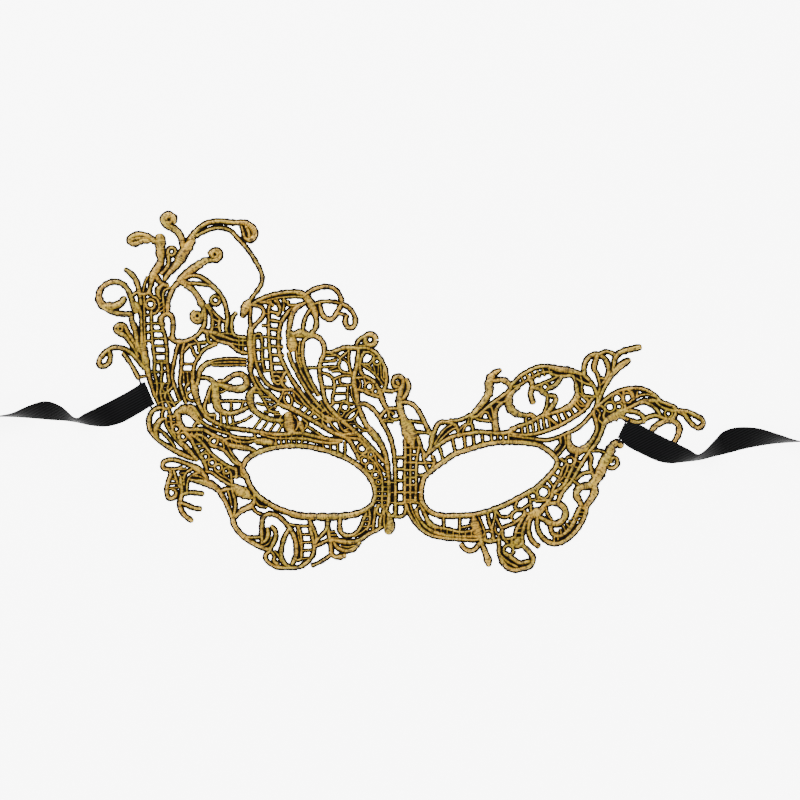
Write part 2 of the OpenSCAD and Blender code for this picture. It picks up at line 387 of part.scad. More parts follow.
// Mesh bands: the sloping double cords between the plume and the brow.
mesh_bands_cords = [
  [1.8, [-50.6,30.6,1.4], [-48.4,29.6], [-46,28.8,2], [-43,27.3,2.2], [-40,25.6,1.9], [-37,23.9],
   [-33.6,21.9], [-30.2,19.9], [-27.2,18.4], [-24.6,17.6,2.2], [-22.6,16.2,2], [-21,13.8,1.6],
   [-19.6,11.2,1.5], [-18.4,8.4,1.5]],
  [1, [-46.6,34.6], [-45.2,32.4], [-45.6,30], [-47.4,30.4], [-48.4,32.6], [-47.8,34.8], [-46.6,34.6]],
  [1.1, [-48.6,36], [-49.4,33.4], [-50.8,31.2]],
  [1.2, [-45.4,36], [-43.8,35], [-42,33], [-40.4,30.8], [-38,28.6], [-35.4,26.4], [-33,24.4],
   [-31,23.2]],
  [1, [-44.6,34.4], [-43.6,31.8], [-41.6,30.4]],
  [0.6, 4, [-40.2,30.6], [-33.6,24.8], [-42.4,28], [-36,24]],
  [0.75, 4, [-36.6,31], [-31.4,25.4], [-35.2,32], [-30,26.4]],
  [0.9, [-37,29.6], [-36.8,27.2], [-38.2,25.4]],
  [1.1, [-32.6,25.6], [-33,23], [-31.6,21.4]],
  [1.6, [-31.6,25.2], [-29.4,24.4,2.2], [-27,24.2,2.2]],
  [0.9, [-30.2,23.4], [-28.8,21.4], [-26.8,19.4], [-25.2,18.6]],
  [1.1, [-26.8,23.8], [-25.8,21.4], [-24.4,19.6], [-22.6,19.4]],
  [1.4, [-24.8,18], [-22.2,18.4,1.8], [-20,18.4,1.8]],
  [0.75, [-24.6,19.8], [-23,20.4], [-22,21.2]],
  [1.1, [-39.4,21.8], [-36.8,20], [-34.2,18.2], [-32,16.8]],
  [1, [-41,24.4], [-39,22.6], [-40,20.6]],
];

// Left brow bands: three cords over the left eye, with satin leaves between them.
brow_bands_cords = [
  [1.7, [-79.8,25.6], [-77.2,23.8], [-74,22.2], [-70.6,21.1], [-66.6,20.4], [-62.6,19.9], [-58.8,19.3],
   [-55,18.6], [-51.4,18.2], [-47.6,18.3], [-44,18.7], [-40.4,18.5], [-36.6,17.6], [-32.8,16.7],
   [-29,16], [-25.6,15.8,1.8]],
  [1.2, [-81.8,23.6], [-79.4,21.8], [-76.4,20.4], [-73.4,19.4], [-70.8,18.6], [-68.6,17.4],
   [-65.4,16.8], [-62,16.6], [-60,16.8]],
  [0.6, 3, [-77,22.4], [-72,20.6], [-76,21.4], [-71.2,19.6]],
  [1.7, [-83.2,20.2], [-80.4,20], [-77.8,18.6], [-75,17.2], [-72.6,16], [-70.8,14.4,1.8],
   [-68.4,13.6,2.2], [-65.4,13.2,2.2], [-62.4,12.6,2], [-60,11.6,1.4]],
  [1.2, [-72.4,16], [-70,16.6], [-67.6,15.6], [-65,15.2], [-62.4,15.2], [-60.4,15.8]],
  [0.6, 3, [-70,17.8], [-66,16], [-69.2,15.2], [-65.6,13.8]],
  [3, [-59.2,15.6,2.4], [-56.4,15.4], [-53.6,15,2.6], [-51.8,14.4,1.6]],
  [0.9, [-60.4,19.2], [-60,17.6], [-59.6,16.4]],
  [0.9, [-57.4,18.2], [-53.4,17], [-49.2,16.6], [-45.4,16.8]],
  [1.5, [-46,16.6], [-42.6,16.7], [-39,16.3], [-35.8,15.6], [-32.4,15], [-29.4,14.8], [-26.6,15]],
  [0.6, 6, [-52,17.4], [-41,17.4], [-51.4,14.4], [-41.4,14.4]],
  [0.8, 4, [-33,15.4], [-24,15.2], [-32.6,12.8], [-24,9.6]],
  [3.6, [-46.6,25.6], [-46.4,23.4,4.6], [-46.1,21,4.4], [-45.6,19.6,3.6]],
  [2.2, [-41.8,22.6], [-41.2,20.8], [-40.8,19.4,1.6]],
  [0.8, [-49.4,25.8], [-50.2,23.6], [-49,21.4]],
  [1, [-44.2,25.6], [-43,23.8], [-42.8,21.6], [-43.8,19.8]],
];

// Left eye rim: the closed cord around the left eye opening.
left_eye_rim_cords = [
  [1.9, [-30,11.4], [-25.8,9.9], [-22.2,8.1], [-19,6], [-16.2,3.7], [-13.9,0.9], [-12.4,-2], [-11.8,-5],
   [-12.2,-8], [-13.6,-10.4], [-16.2,-12.2], [-19.8,-13.6,2.2], [-24.4,-14.4,2.4], [-30,-14.7,2.5],
   [-37.4,-14.7,2.5], [-42.8,-14.2,2.4], [-47,-12.9,2.2], [-51,-11.4], [-55,-9.2], [-58.4,-6.8],
   [-60.8,-4.2], [-62.4,-1.4], [-63.5,1.6], [-64.9,4.4], [-63.9,7.4], [-61.6,9.6], [-58,11.4],
   [-54,12.7], [-49.6,13.5], [-45,13.8], [-40,13.6], [-35,12.7], [-30,11.4]],
];

// Temple loops: looped cords and small rings at the left temple.
temple_loops_cords = [
  [1.6, [-95.6,28.4,1.2], [-98,28.9], [-100.4,28], [-101.9,26], [-102.4,23.2,1.9], [-101.9,20.4,1.7],
   [-100.4,17.8,1.4], [-98.2,15.7,1.4], [-95.4,13.8], [-92.6,12.2,1.8], [-89.6,10.6,1.9],
   [-86.8,9.3,1.7], [-84.6,8.4,1.4]],
  [2.2, [-96,24.6,1.2], [-97.8,23.8,1.8], [-99.2,21.8,2.6], [-99.8,19.4,2], [-99,17.2,1.4]],
  [1.1, [-97.2,25.2], [-97,27.2], [-96,28.6]],
  [1.1, [-98.6,20.2], [-96.8,19], [-95.2,17.4], [-93.6,15.4], [-92.2,13.4]],
  [1.2, [-95.6,24.4], [-95.2,21.8], [-93.9,19.4], [-92.2,17], [-90.2,14.8], [-88,12.8], [-86,10.8]],
  [1.3, [-94.6,28.6], [-93.8,25.6], [-93.4,22.4], [-92.8,19.8], [-91.8,17.8]],
  [0.75, 4, [-95.2,25.6], [-93.6,18.8], [-92.6,25.6], [-91.6,18.8]],
  [1.2, [-91.6,20.5], 1.7],
  [2.6, [-92.4,25.4,1.4], [-90.4,27.4], [-87.6,28.2,3.6], [-85,26.8,3.4], [-83.4,24.6,2.2],
   [-82.2,22.6,1.4]],
  [2.4, [-91,27], [-90.6,24.2], [-89.8,21.8], [-88.4,20.4,2], [-86,20.1,1.7], [-83,20.4,1.6]],
  [1.4, [-86.4,29.6], [-84.6,29], [-83,26.8], [-81.4,24.6]],
  [1.2, [-84.4,21.4], [-83.6,22.6], [-82,23.6]],
  [1.2, [-88.7,17.4], 1.6],
  [1.6, [-90.6,18.2], [-90.2,16], [-88.4,14.2], [-86.4,12.2], [-84.8,10], [-83.2,8.2]],
  [2, [-88,19.2], [-86.4,17.6], [-85,15.4,1.8], [-83.8,13,1.6], [-82.4,10.6,1.6], [-81,8.4,1.6],
   [-79.8,6.2,1.6], [-79.2,3.8,1.4]],
  [1.5, [-85.6,18.2,1.2], [-83,16.6], [-81.2,15], [-79.6,13], [-77.8,10.8], [-75.6,8.8], [-73.2,7],
   [-70.6,5.4], [-67.8,4.4]],
  [1.4, [-83.6,18.2], [-81.2,17.8], [-79,16], [-77.4,13.8], [-74.6,13], [-72,11.7], [-70.2,9.6],
   [-68.2,7.2], [-65.8,6]],
  [0.6, 3, [-85.4,19.2], [-81,18.8], [-84.6,17.4], [-81,16.2]],
  [1.1, [-76.5,15.5], 1.6],
  [1, [-74.6,16.2], [-72.8,15], [-72.4,13]],
  [0.75, 3, [-84.2,14.2], [-81.4,10.4], [-81,14.6], [-79,12.2]],
  [1.1, [-79.8,9.3], 1.5],
  [1.1, [-77.1,6.9], 1.5],
  [1.1, [-74.6,4.9], 1.5],
  [1, [-71.4,3.7], 1.2],
  [1.3, [-79.2,3.4], [-77,2.8], [-74.6,1], [-72.2,-0.6], [-70,-1.8], [-67.8,-2.2]],
  [1, [-75.2,3.2], [-73.4,1.8], [-71.4,0.8], [-69.6,-0.4]],
  [0.8, [-72.8,3], [-72,1.2]],
  [1.2, [-70.8,4.8], [-69.6,2.6], [-69.4,0.2], [-69.2,-2]],
  [1.4, [-67.8,4.6], [-67.4,2.6], [-67.6,1]],
  [1.1, [-70.8,13.4], [-69.4,10.8], [-67.6,8], [-65.8,6.4]],
  [1.2, [-65.6,5], [-65.4,2.4], [-63.8,1]],
  [0.75, [-69.2,1.2], [-67,1.6], [-64.8,1.4]],
];

// Temple comb: the prongs and hooks below the temple loops.
temple_comb_cords = [
  [1.5, [-89.4,5], [-91.6,4.4,1], [-94.8,4.3], [-96.6,5], [-96.7,6.9], [-94.6,8], [-91.6,8], [-88.6,7],
   [-85.6,5.8,2], [-82.8,4.2,2.6], [-80.6,2.4,2.2], [-79.2,0.6,1.6]],
  [1.6, [-93.8,3.6], [-93.6,2], [-94.4,0], [-95,-2.4], [-95.2,-5], [-94.5,-7], [-92.8,-7.2],
   [-91.5,-5.8], [-91.8,-4.2,1.2], [-93,-3.8,1]],
  [1.3, [-92.4,3.4], [-91.8,1.2], [-91,-1], [-90,-3]],
  [0.6, 3, [-94.2,0.6], [-94.2,-3.4], [-91.4,0.2], [-91.2,-3]],
  [1.7, [-89.8,1.4,1.2], [-89.6,-1.4], [-89.2,-4.2], [-89.6,-7], [-90.1,-9.6], [-89.4,-12.2],
   [-88,-14.2], [-86.2,-15.6], [-85.3,-16.3,1.4]],
  [1.5, [-89,-5.6], [-86,-5], [-83.2,-5.2], [-80.9,-5.5]],
  [1.5, [-89.4,-9.2], [-87,-10.1], [-84.4,-11.2], [-81.8,-11.5]],
  [1, [-87.2,-4.6], [-87.2,-2.4], [-86.6,0.2], [-85,2], [-82.8,2.8,1.4]],
  [1.2, [-88.4,-1.6], [-88.4,1], [-87.4,3], [-85.6,4.2]],
  [0.75, 4, [-90.4,4.2], [-90.2,-0.4], [-87.6,4.4], [-88.4,-0.4]],
  [2.6, [-86,0.2,1], [-83.4,-0.3,1.8], [-80.4,-0.8], [-77.4,-1.9,2.8], [-75.2,-3.4,2.2],
   [-73.6,-5.4,1.8], [-72.2,-7.8,1.7], [-70.9,-10.4,1.7], [-69.8,-13,1.6], [-68.8,-15.8,1.7]],
  [1, [-84.8,1.8], [-82.2,1.4], [-80,0.2]],
];

// Left cheek: the hanging scrolls and cords below the left eye.
left_cheek_cords = [
  [1.9, [-68.9,-15.4,1.7], [-68.3,-17.8], [-66.9,-20.1], [-64.9,-22.2], [-62.4,-24.1], [-59.8,-25.6],
   [-57,-26.9], [-54.2,-28,1.7]],
  [2, [-68.4,-15.4,1.4], [-66.4,-13,1.8], [-64,-11.5,2.2], [-61.6,-10.4,2.2], [-60.3,-8.6,1.8],
   [-60.2,-6.2,1.6]],
  [1.2, [-66,-21], [-63.2,-22.8], [-60.2,-23], [-57.8,-22.8]],
  [1.6, [-57.2,-24.4], [-57.3,-21], [-57.2,-17.8], [-56.9,-15.4], [-55.6,-13.9], [-53.4,-13.5],
   [-51,-14.3], [-48.9,-15.9], [-47,-18], [-45.8,-19.8]],
  [1.4, [-69.2,-2.6], [-68.8,-5.4], [-68,-8], [-67.9,-11], [-68.4,-14]],
  [1.6, [-74,-4.6], [-71.6,-3.8,1.8], [-69.4,-3.6,1.6]],
  [1, [-70.8,-4.4], [-70,-7], [-69.4,-10]],
  [3.6, [-67.4,-3.2,2.8], [-65.2,-4.6], [-62.8,-6,2.6], [-61.2,-7,1.4]],
  [1.1, [-63.8,-3.2], [-62.4,-4.8]],
  [1.6, [-55,-19.4,1.4], [-54.8,-21.8,1.9], [-55.6,-24], [-57.2,-25.2,1.2]],
  [1.7, [-53.4,-18.6,1.4], [-51.9,-20.4], [-51.8,-23], [-52.8,-25.4], [-54,-27.6]],
  [0.75, [-56.4,-26.4], [-54.4,-25.2], [-53.4,-22.8]],
  [1.4, [-53.8,-28.4], [-55.6,-29.8], [-55.5,-31.8], [-53.9,-33.4], [-51.4,-34.7], [-48.6,-35],
   [-45.4,-35], [-42.4,-34.8], [-40,-33.6], [-38.2,-32]],
  [1.2, [-53.4,-28.6], [-52.2,-30.4], [-52.4,-32.4,1.6], [-50.8,-33.8,1.6]],
  [0.9, [-52.2,-28.4], [-50.6,-30.2], [-49.6,-32.2], [-48,-34]],
  [1.6, [-46.2,-19.6], [-48,-22.4], [-49,-25.4], [-49.6,-28.4], [-49.4,-31], [-48.2,-33.4],
   [-46.4,-34.6]],
  [1.8, [-45.8,-19.6], [-44.5,-22.2], [-43.6,-25], [-43.4,-28], [-43.8,-31], [-45,-33.4,1.5]],
  [1.2, [-42.6,-18.6], [-41.7,-21.8], [-41.4,-25], [-41.4,-28.4], [-41.6,-31.4], [-43,-32]],
  [1.5, [-37.9,-16], [-37.9,-19], [-37.2,-22], [-36.5,-25], [-36.4,-28], [-37.2,-30.6], [-39,-32.6],
   [-41,-34]],
  [0.6, 4, [-41.6,-21.8], [-41.4,-31.6], [-37.4,-21.8], [-36.8,-31]],
  [0.8, [-46,-17.8], [-42.6,-18.4], [-38.4,-18.4]],
  [0.75, [-43,-18.4], [-42.6,-22.4], [-41.8,-26]],
  [1, [-59.8,-8.2], [-58.6,-10], [-57,-10.6], [-55.4,-10.8]],
  [1, [-61,-10.8], [-59.4,-12.8], [-57.2,-13.8]],
];

// Left cheek point: the loops that lead from the cheek to the nose.
left_cheek_point_cords = [
  [3.2, [-69.2,-3.2,1.4], [-66.4,-4.4,4], [-63.8,-5.6,3.6], [-62,-6.8,2]],
  [1.4, [-38,-16.2], [-37,-18.8], [-35.9,-21.2], [-35.4,-23.4], [-36.2,-25.6]],
  [1.8, [-30.9,-15.6], [-31,-18], [-31.4,-19.8,1.5], [-33,-21.8,1.3], [-34.8,-23.6,1.3],
   [-36,-25.6,1.3]],
  [1.6, [-30.8,-19], [-30.4,-21.6], [-30,-24,1.8], [-29.6,-26.6], [-29.4,-29]],
  [1.4, [-35.8,-26.4], [-33.6,-25.4], [-31.6,-24.4], [-29.8,-23.6]],
  [1.8, [-29.8,-29.2,1.6], [-28,-30.6,1.4], [-26,-30.6], [-24.3,-30.2]],
  [1.1, [-29.6,-29.8], [-31.6,-31.3], [-34,-32.8], [-37.2,-34.2]],
  [1.6, [-26,-15.6], [-26.2,-18.6], [-25.6,-21], [-23.6,-22.2], [-21,-22,1.4], [-18.9,-20.6,1.4],
   [-17.5,-18.4,1.4], [-16.6,-16,1.3], [-15.6,-13.6,1.3]],
  [2, [-29.4,-24,1.6], [-26.4,-24.4], [-22.8,-24.9,2.2], [-19.6,-24.6,1.9], [-17,-23.2,1.6],
   [-14.4,-21.4,1.5], [-11.4,-20,1.4], [-9.4,-18.8,1.3]],
  [1.7, [-28.4,-25,1.2], [-27,-27], [-24.6,-28.1], [-22,-28.1], [-19.9,-26.9], [-18.2,-24.8,1.4]],
  [0.8, [-25.4,-26.4], [-22.8,-26.8], [-20.4,-26.2]],
  [0.75, 3, [-28,-20.6], [-26.6,-23.2], [-30,-20.8], [-29.4,-23.2]],
  [0.8, [-20.4,-22.6], [-17.4,-21], [-14.6,-18.8], [-12.6,-18]],
  [1.2, [-14.4,-11.6], [-14,-14.4], [-14.2,-17.2], [-15.2,-19.6]],
  [1.3, [-12,-11.4], [-12.2,-14.4], [-12.6,-17.2], [-12.8,-19.6]],
  [0.75, 3, [-16.8,-14.6], [-17.2,-18.6], [-14.2,-14.6], [-14.8,-18.6]],
  [1.4, [-8.4,-10.8], [-9,-13.6,1.2], [-9.9,-16], [-10,-19]],
  [1.2, [-10.6,-10.4], [-11.4,-12.2], [-10.4,-13.8], [-8.8,-13.8], [-8,-12.4]],
  [3.4, [-6.4,-14,1.8], [-6.1,-16.4,3], [-6,-18.6,3.8], [-6.6,-20.4,3]],
  [1.2, [-8.2,-14], [-8.4,-16.6], [-8,-19.2]],
];

// Nose lattice: the rings and rails at the left of the nose.
nose_lattice_cords = [
  [1.4, [-22.8,17], [-20.4,16.6], [-18.2,16.2,1.7], [-16,14,1.6], [-13.8,12,1.6]],
  [1, [-17.1,12.6], 1.9],
  [1, [-18.2,9.4], [-16.2,10.6], [-14,11.8]],
  [1.2, [-16.8,9.9], [-14.8,9.3], [-13,7.9], [-11.4,6], [-10.2,3.6], [-9.3,1], [-9,-1.8], [-9,-4.6],
   [-9.2,-7.8], [-9.2,-10.6]],
  [0.9, [-16,7.8], 1.5],
  [0.9, [-13.9,5.2], 1.8],
  [0.9, [-11.8,2.2], 1.4],
  [0.8, [-10.6,-0.8], 1],
  [0.9, [-13.6,10.2], 1.1],
  [1, [-11.9,9.6], [-11.4,7.4], [-9.8,5.4], [-8.4,3.6]],
  [0.75, 5, [-11.2,-2.8], [-11.2,-10], [-7.2,-2.8], [-7.4,-10]],
  [0.75, 3, [-8.4,3.4], [-8,-0.8], [-7.2,3.4], [-7,-0.8]],
  [1.5, [-18.8,30.4,1.8], [-16,30.4], [-13.6,29], [-11.4,26.8], [-9.4,23.8], [-7.6,20.6], [-6,17.2],
   [-4.9,13.4], [-4.2,9], [-3.9,4], [-3.8,-2], [-3.9,-7], [-3.8,-11], [-3.7,-14.4]],
  [0.6, 3, [-6.6,-1], [-6.6,-9], [-4,-1], [-4,-9]],
  [1.4, [-6.8,-10], [-7.4,-12], [-6.6,-13.8], [-4.8,-14.4], [-3.8,-13]],
];

// Nose curls: the knob and curled cords above the nose.
nose_curls_cords = [
  [1.5, [-19,52.6], [-17,52.9], [-14.6,52.6], [-12.2,51.2], [-10.2,49], [-8.7,46.2], [-7.7,43.2],
   [-7.4,40.2], [-7.8,37.6], [-8.6,35.6]],
  [2.1, [-13.9,56.1], 2.1],
  [1.4, [-19.4,53.4], [-19.1,55], [-17.8,56.5], [-15.8,57.6]],
  [1.1, [-18.8,53.6], [-17,53.7], [-15.4,53.6]],
  [1.5, [-16.4,51], [-17.6,48.8], [-18.1,46.2], [-17.8,43.6], [-16.6,41.8], [-14.4,40.6], [-12.3,39.2],
   [-10.9,37.2], [-9.9,35,1.9], [-9.2,32.6,2.1], [-8.4,30.4,1.8], [-7.2,28.6], [-6,27.4]],
  [1.2, [-16.6,51], [-14.6,51.2], [-12.6,50]],
  [1.1, [-17,46.4], [-15,46.2], [-13.2,47.4], [-12.4,49.4]],
  [1.1, [-11.2,47.4], 1.4],
  [1.1, [-16.6,45.8], [-14.4,44.4], [-12.1,42.5], [-10.4,40.2], [-9,38.2]],
  [0.7, 3, [-14.6,46], [-10.6,45.4], [-13,44], [-10.8,42]],
  [0.8, [-9.8,46.2], [-9.6,43.6], [-9.4,41], [-8.4,39.6]],
  [0.8, [-8.4,46], [-8.6,43.4], [-8.4,41]],
  [1.4, [-19.6,36.2], [-16.6,35.7], [-14,34.4], [-11.4,33.5], [-9.4,33.2]],
  [1.1, [-19.8,40.8], [-17.6,41], [-15.6,40.8]],
  [0.8, [-18.6,40.6], [-17.8,38.4], [-18.4,36.4]],
  [1, [-14.3,37.4], 1.7],
  [1, [-11.8,35.5], 1.3],
  [0.8, [-16.4,40.4], [-15.8,38.6], [-16.2,36.2]],
  [1.3, [-8.6,36], [-6.4,35.6], [-4.9,35.4]],
  [1.2, [-6.2,27.6], [-5,26.8], [-4.6,26.2]],
  [1.1, [-8.6,24], [-6.8,24.6], [-6.4,26.8]],
  [1.1, [-7.8,23.4], [-6.2,23.6], [-4.8,23.4]],
];

// Nose bridge: three upright rails with dark thread rungs.
nose_bridge_cords = [
  [1.4, [0,16], [0.2,12], [0.1,8.4], [-0.1,4], [-0.1,0], [-0.1,-4.5], [-0.1,-9]],
  [1.3, [5.2,16.1], [5.6,13.8], [5,10], [4.5,6], [4.4,0], [4.3,-5], [4,-9]],
  [1.2, 8, [0,13], [0,-8], [4.6,13], [4.3,-8]],
  [1.2, [2.2,13], [2.2,8], [2.1,2], [2.1,-4], [2.2,-9]],
  [1.1, 5, [-3.9,9], [-3.8,-9.5], [0,9], [0,-9.5]],
  [1.2, [-3.9,-9.4], [0,-9], [3,-8.8], [5.4,-9.2], [6.8,-11]],
  [1.3, [-3.8,-14.4], [-2,-14.6], [-0.4,-13.8], [0.3,-11.8], [0.1,-9.5]],
  [1.2, [4.5,6.8], [6.5,6.8], [8.6,6.6]],
  [1.2, [4.5,1.8], [6.5,1.8], [8.8,2.2]],
  [1.2, [7.4,10.4], [7.6,8.2], [8.3,5.9], [9.2,3.6], [9.4,2.4]],
  [1.4, [11,9.4], [11.7,7.3], [11,5]],
  [1, [8,7.4], [10,6.8], [11.6,6.8]],
];

// Centre leaf: the satin leaf over the nose, its stem and its two small curls.
centre_leaf_cords = [
  [2.6, [-0.6,24.4,2.6], [0.4,21.6,4.2], [1.4,18.6,4.6], [2.4,15.6,3.4], [3.4,12.8,1.4]],
  [1.4, [-9.6,25.6], [-8,27.6], [-6,28.5], [-3.6,28.6], [-1.8,28.4]],
  [1.1, [-6.8,27.6], [-6.2,25.4], [-4.6,24.2], [-2.4,24.6], [-1.2,25.6]],
  [1.1, [-9.8,36.2], [-7,35.6], [-4.4,35.8], [-2,36.2]],
  [1.6, [-3,39], [-2.7,38.6]],
  [1.6, [-2.4,37], [-4.2,37.6], [-4.8,39.4], [-4,41], [-2.4,41.4,2], [-1,40.4,2], [-0.8,38.4,2],
   [-1.6,36,2.4], [-2.1,33.4,2.6], [-2.2,30.6,2.6], [-1.8,27.6,2.6], [-1.2,25.6,2.4]],
  [1.8, [0.6,40], [1.3,37.9], [0.9,35.4], [-0.4,33]],
  [1.6, [-1.4,31.1], [1.1,31], [3.4,30], [5.6,27.3], [7.4,23.8], [8.8,21], [10,18.6]],
  [2.2, [-1,26], [-0.3,24,3], [0.8,22,4.2], [1.8,19.8,5.2], [2.3,18,5.4], [2.3,16.4,4.4]],
  [1, [1.5,23.6], [4.2,23.4], [7,22.9]],
  [1.1, [5,19.2], [7.6,19], [11.1,19]],
  [1.4, [5.2,17], [6.1,13.8], [7.6,10.6], [8.4,9.4]],
  [1.4, [11.2,19], [10.4,16.1], [10.4,13.6], [9.4,11.6]],
];

// Right brow ladder: the cord over the right eye and the bars below it.
right_brow_ladder_cords = [
  [1.7, [7.6,9.2], [10.2,11.5], [12.9,13.7], [16.1,15.9], [19.3,17.4], [22.5,18.1], [25.6,18.6],
   [29.3,19.2], [33,18.9], [37.5,18.6], [41,19], [44,20.4]],
  [1, [13.6,13.6], [14.4,11.2], [15.3,7.8]],
  [1, [19,16.8], [19.4,14.4], [20.2,11]],
  [1, 4, [23.6,18], [34.4,18.4], [24.2,12.6], [34.8,15]],
  [0.8, 3, [37,18.2], [41.4,18.4], [37.2,15.6], [41.4,15.8]],
  [1.6, [10.6,14.6], [11.6,18.6], [12.6,21.4], [14,22.9], [16.4,23.1], [18.8,22.7], [20.4,21.5],
   [21.3,19.6], [21.8,18.2]],
  [1, [11.8,14.4], [14.2,18.2], [16.3,20.6], [18.6,22]],
  [1, [12.4,14], [15.6,17.6], [18.8,20.2], [21,20.8]],
  [1.4, [18,23.6], [21.1,23.8], [23.8,24.7], [26.2,26.1]],
  [1, [21.4,19.6], [23.8,22], [26,22.4], [26.6,24.4]],
  [1, [25.6,24.6], [25,22.6], [23.6,20.6], [23,18.6]],
  [1.2, [26.2,23.2], [27,21], [27.2,18.8]],
  [1.1, [27.2,25.4], [29.2,24.2], [32,23.8], [35.4,23.6]],
];

// Right horn: the upswept leaf tip and hook over the right brow.
right_horn_cords = [
  [1.6, [26.4,25.6], [28.4,27.7,2], [30.6,30.2,2.4], [32.6,32.9,2.6], [33.7,35.6,3], [33.6,38.4,3.2],
   [34.4,41,3], [36,42.8,2.2], [38.2,44,1.2]],
  [1.5, [27,25], [29.2,25.8], [31.4,27.8], [34.4,30.3], [37,32.1], [39.4,33.9], [41.4,35.4],
   [42.2,37.2,1.8], [41,39,2], [38.8,40.1,2], [36.6,39.9,1.8], [35,39.6,1.4]],
  [1.2, [30.2,25.2], [31.4,27], [33,27], [33.8,25.4], [34.6,23.8]],
  [1.2, [32.6,28.6], [34.2,29.4], [35,27.6], [35.4,25.4]],
  [1.6, [38.6,30.8], [36.6,28.6], [36,25.6,2.2], [36,22.9,2.4], [36.4,20,2.6]],
  [1.2, [33.4,29.4], [36,31.2], [38.4,31], [40.4,31.6]],
];

// Right brow scroll: the large oval scroll with curled cords inside.
right_brow_scroll_cords = [
  [1.6, [45.4,37.4], [43.4,35.6], [41.8,33.8,2.6], [41.3,31.4,3.4], [42.2,28.6,3], [44.8,26.5,2.4],
   [48.4,25.8], [50.8,25.9], [52.2,24.6,1.4]],
  [1.1, [49.8,24.2], 1.5],
  [1.5, [42.4,38], [44.2,39.6], [46.4,41.7], [49.4,43.5], [52.6,45], [56,45.4], [58.6,44.9,2],
   [61.8,44.2,2.6], [65.5,43.7,2.4], [69.1,42.8,1.8], [71.8,41.6,1.6], [74.1,39.3], [75.9,36.6],
   [76.8,34], [77,31.4], [76.4,29.1]],
  [1.2, [43.6,37.4], [46,38.2], [48.4,39.6], [51.4,41.3], [55,43], [58.4,43.2]],
  [0.8, 6, [46.4,41.4], [57.4,45], [47.6,39], [58,42.4]],
  [1.4, [58.6,42.4], [60.8,41.7], [63.6,41.6], [66.8,41.8], [68.2,39.5], [68.8,36.4,1.8],
   [68.8,33.6,2.2], [67.3,30.9,2.4], [65.2,29,2.4], [62,27.7,1.8], [58.2,26.6,1.6], [54.5,25.5,1.6],
   [51.8,24.1,1.6], [48.6,22.5,1.6], [45,21.3,1.6], [42.4,20.2,1.6]],
  [1.5, [42,18.6], [45,18.1], [48.4,18], [51.6,18.4], [55,19.3], [58.2,20.4], [61.4,21.7], [64.5,23.4],
   [67.7,25.4], [70.5,27.2], [72.7,29.2], [74.3,31.8], [75.6,33.4]],
  [0.9, 6, [46.6,22], [57.2,26.4], [47,18.2], [58.2,20.6]],
  [1, 4, [60.6,27.2], [67.6,30.6], [62.6,22.4], [70.4,27.2]],
  [1.4, [56.4,25.6], [58.6,23.9], [60.4,22.4], [61.2,21.6]],
  [1.1, [70,42], [70.8,39], [70.6,36.4], [71.2,34.2], [73.4,33.4], [76,33.4]],
  [1.2, [68.4,40.6], [71.8,38.8], [74.6,38]],
  [1, [71.1,31.6], 2.1],
  [1.1, 3, [67.4,31], [69.4,35], [70,28.2], [73.6,31.4]],
  [1.8, [49.8,41], [50.8,38.4], [50.7,36.4], [50.2,34.4], [50.7,32.4], [51.2,31]],
  [1.6, [50.8,36.8], [53.6,36.6,2], [55.4,35,2], [57.2,33.8], [59.6,33.5], [60.2,31.8], [58.8,29.4,2.2],
   [56.6,26.8,2]],
  [1.2, [57,33.4], [56.8,30], [55.4,26.4]],
  [1.2, [52,37.4], [55,38.6], [57.7,39.7], [60.6,41.2]],
  [1, [56,37.2], 1.5],
  [1.8, [57.4,36.8], [59.8,37.8], [61.4,39.6], [62.4,41.4]],
];

// Right fronds: the loop and two tips that rise beside the oval scroll.
right_tip_fronds_cords = [
  [1.8, [71.6,42.4], [71.6,44.8], [72.4,47.6], [74.2,49.6], [76.6,50.2], [79,49.4], [80.6,47.4],
   [81.4,44.8], [81.4,42.4], [80.4,40.4], [79,38.6,1.4]],
  [2, [76.8,49.8], [76.2,47.6], [75.6,45.6], [75.7,43.8,1.4]],
  [1.3, [75.8,44], [76.9,42.4], [77.6,40], [78,37.3], [77.4,34.6], [77,32.4]],
  [1.4, [77.6,50.3], [80.4,51.3], [83,50.6], [84.4,49.4]],
  [2, [83.2,43.8,1.4], [83.6,46.6,1.6], [84.2,49], [85.8,50.8], [88.2,51.8], [91,52.5], [93.8,53.1]],
  [2, [89.4,47.9], [87.4,46.6,2.4], [85,44.8,2.6], [83,42.6,2.2], [81.2,39.8,1.8], [79.4,36.4,1.5],
   [78,33.2,1.5], [77.2,30.6,1.5]],
  [1, [81.2,42.6], [80,40.6], [78.2,40.8]],
];

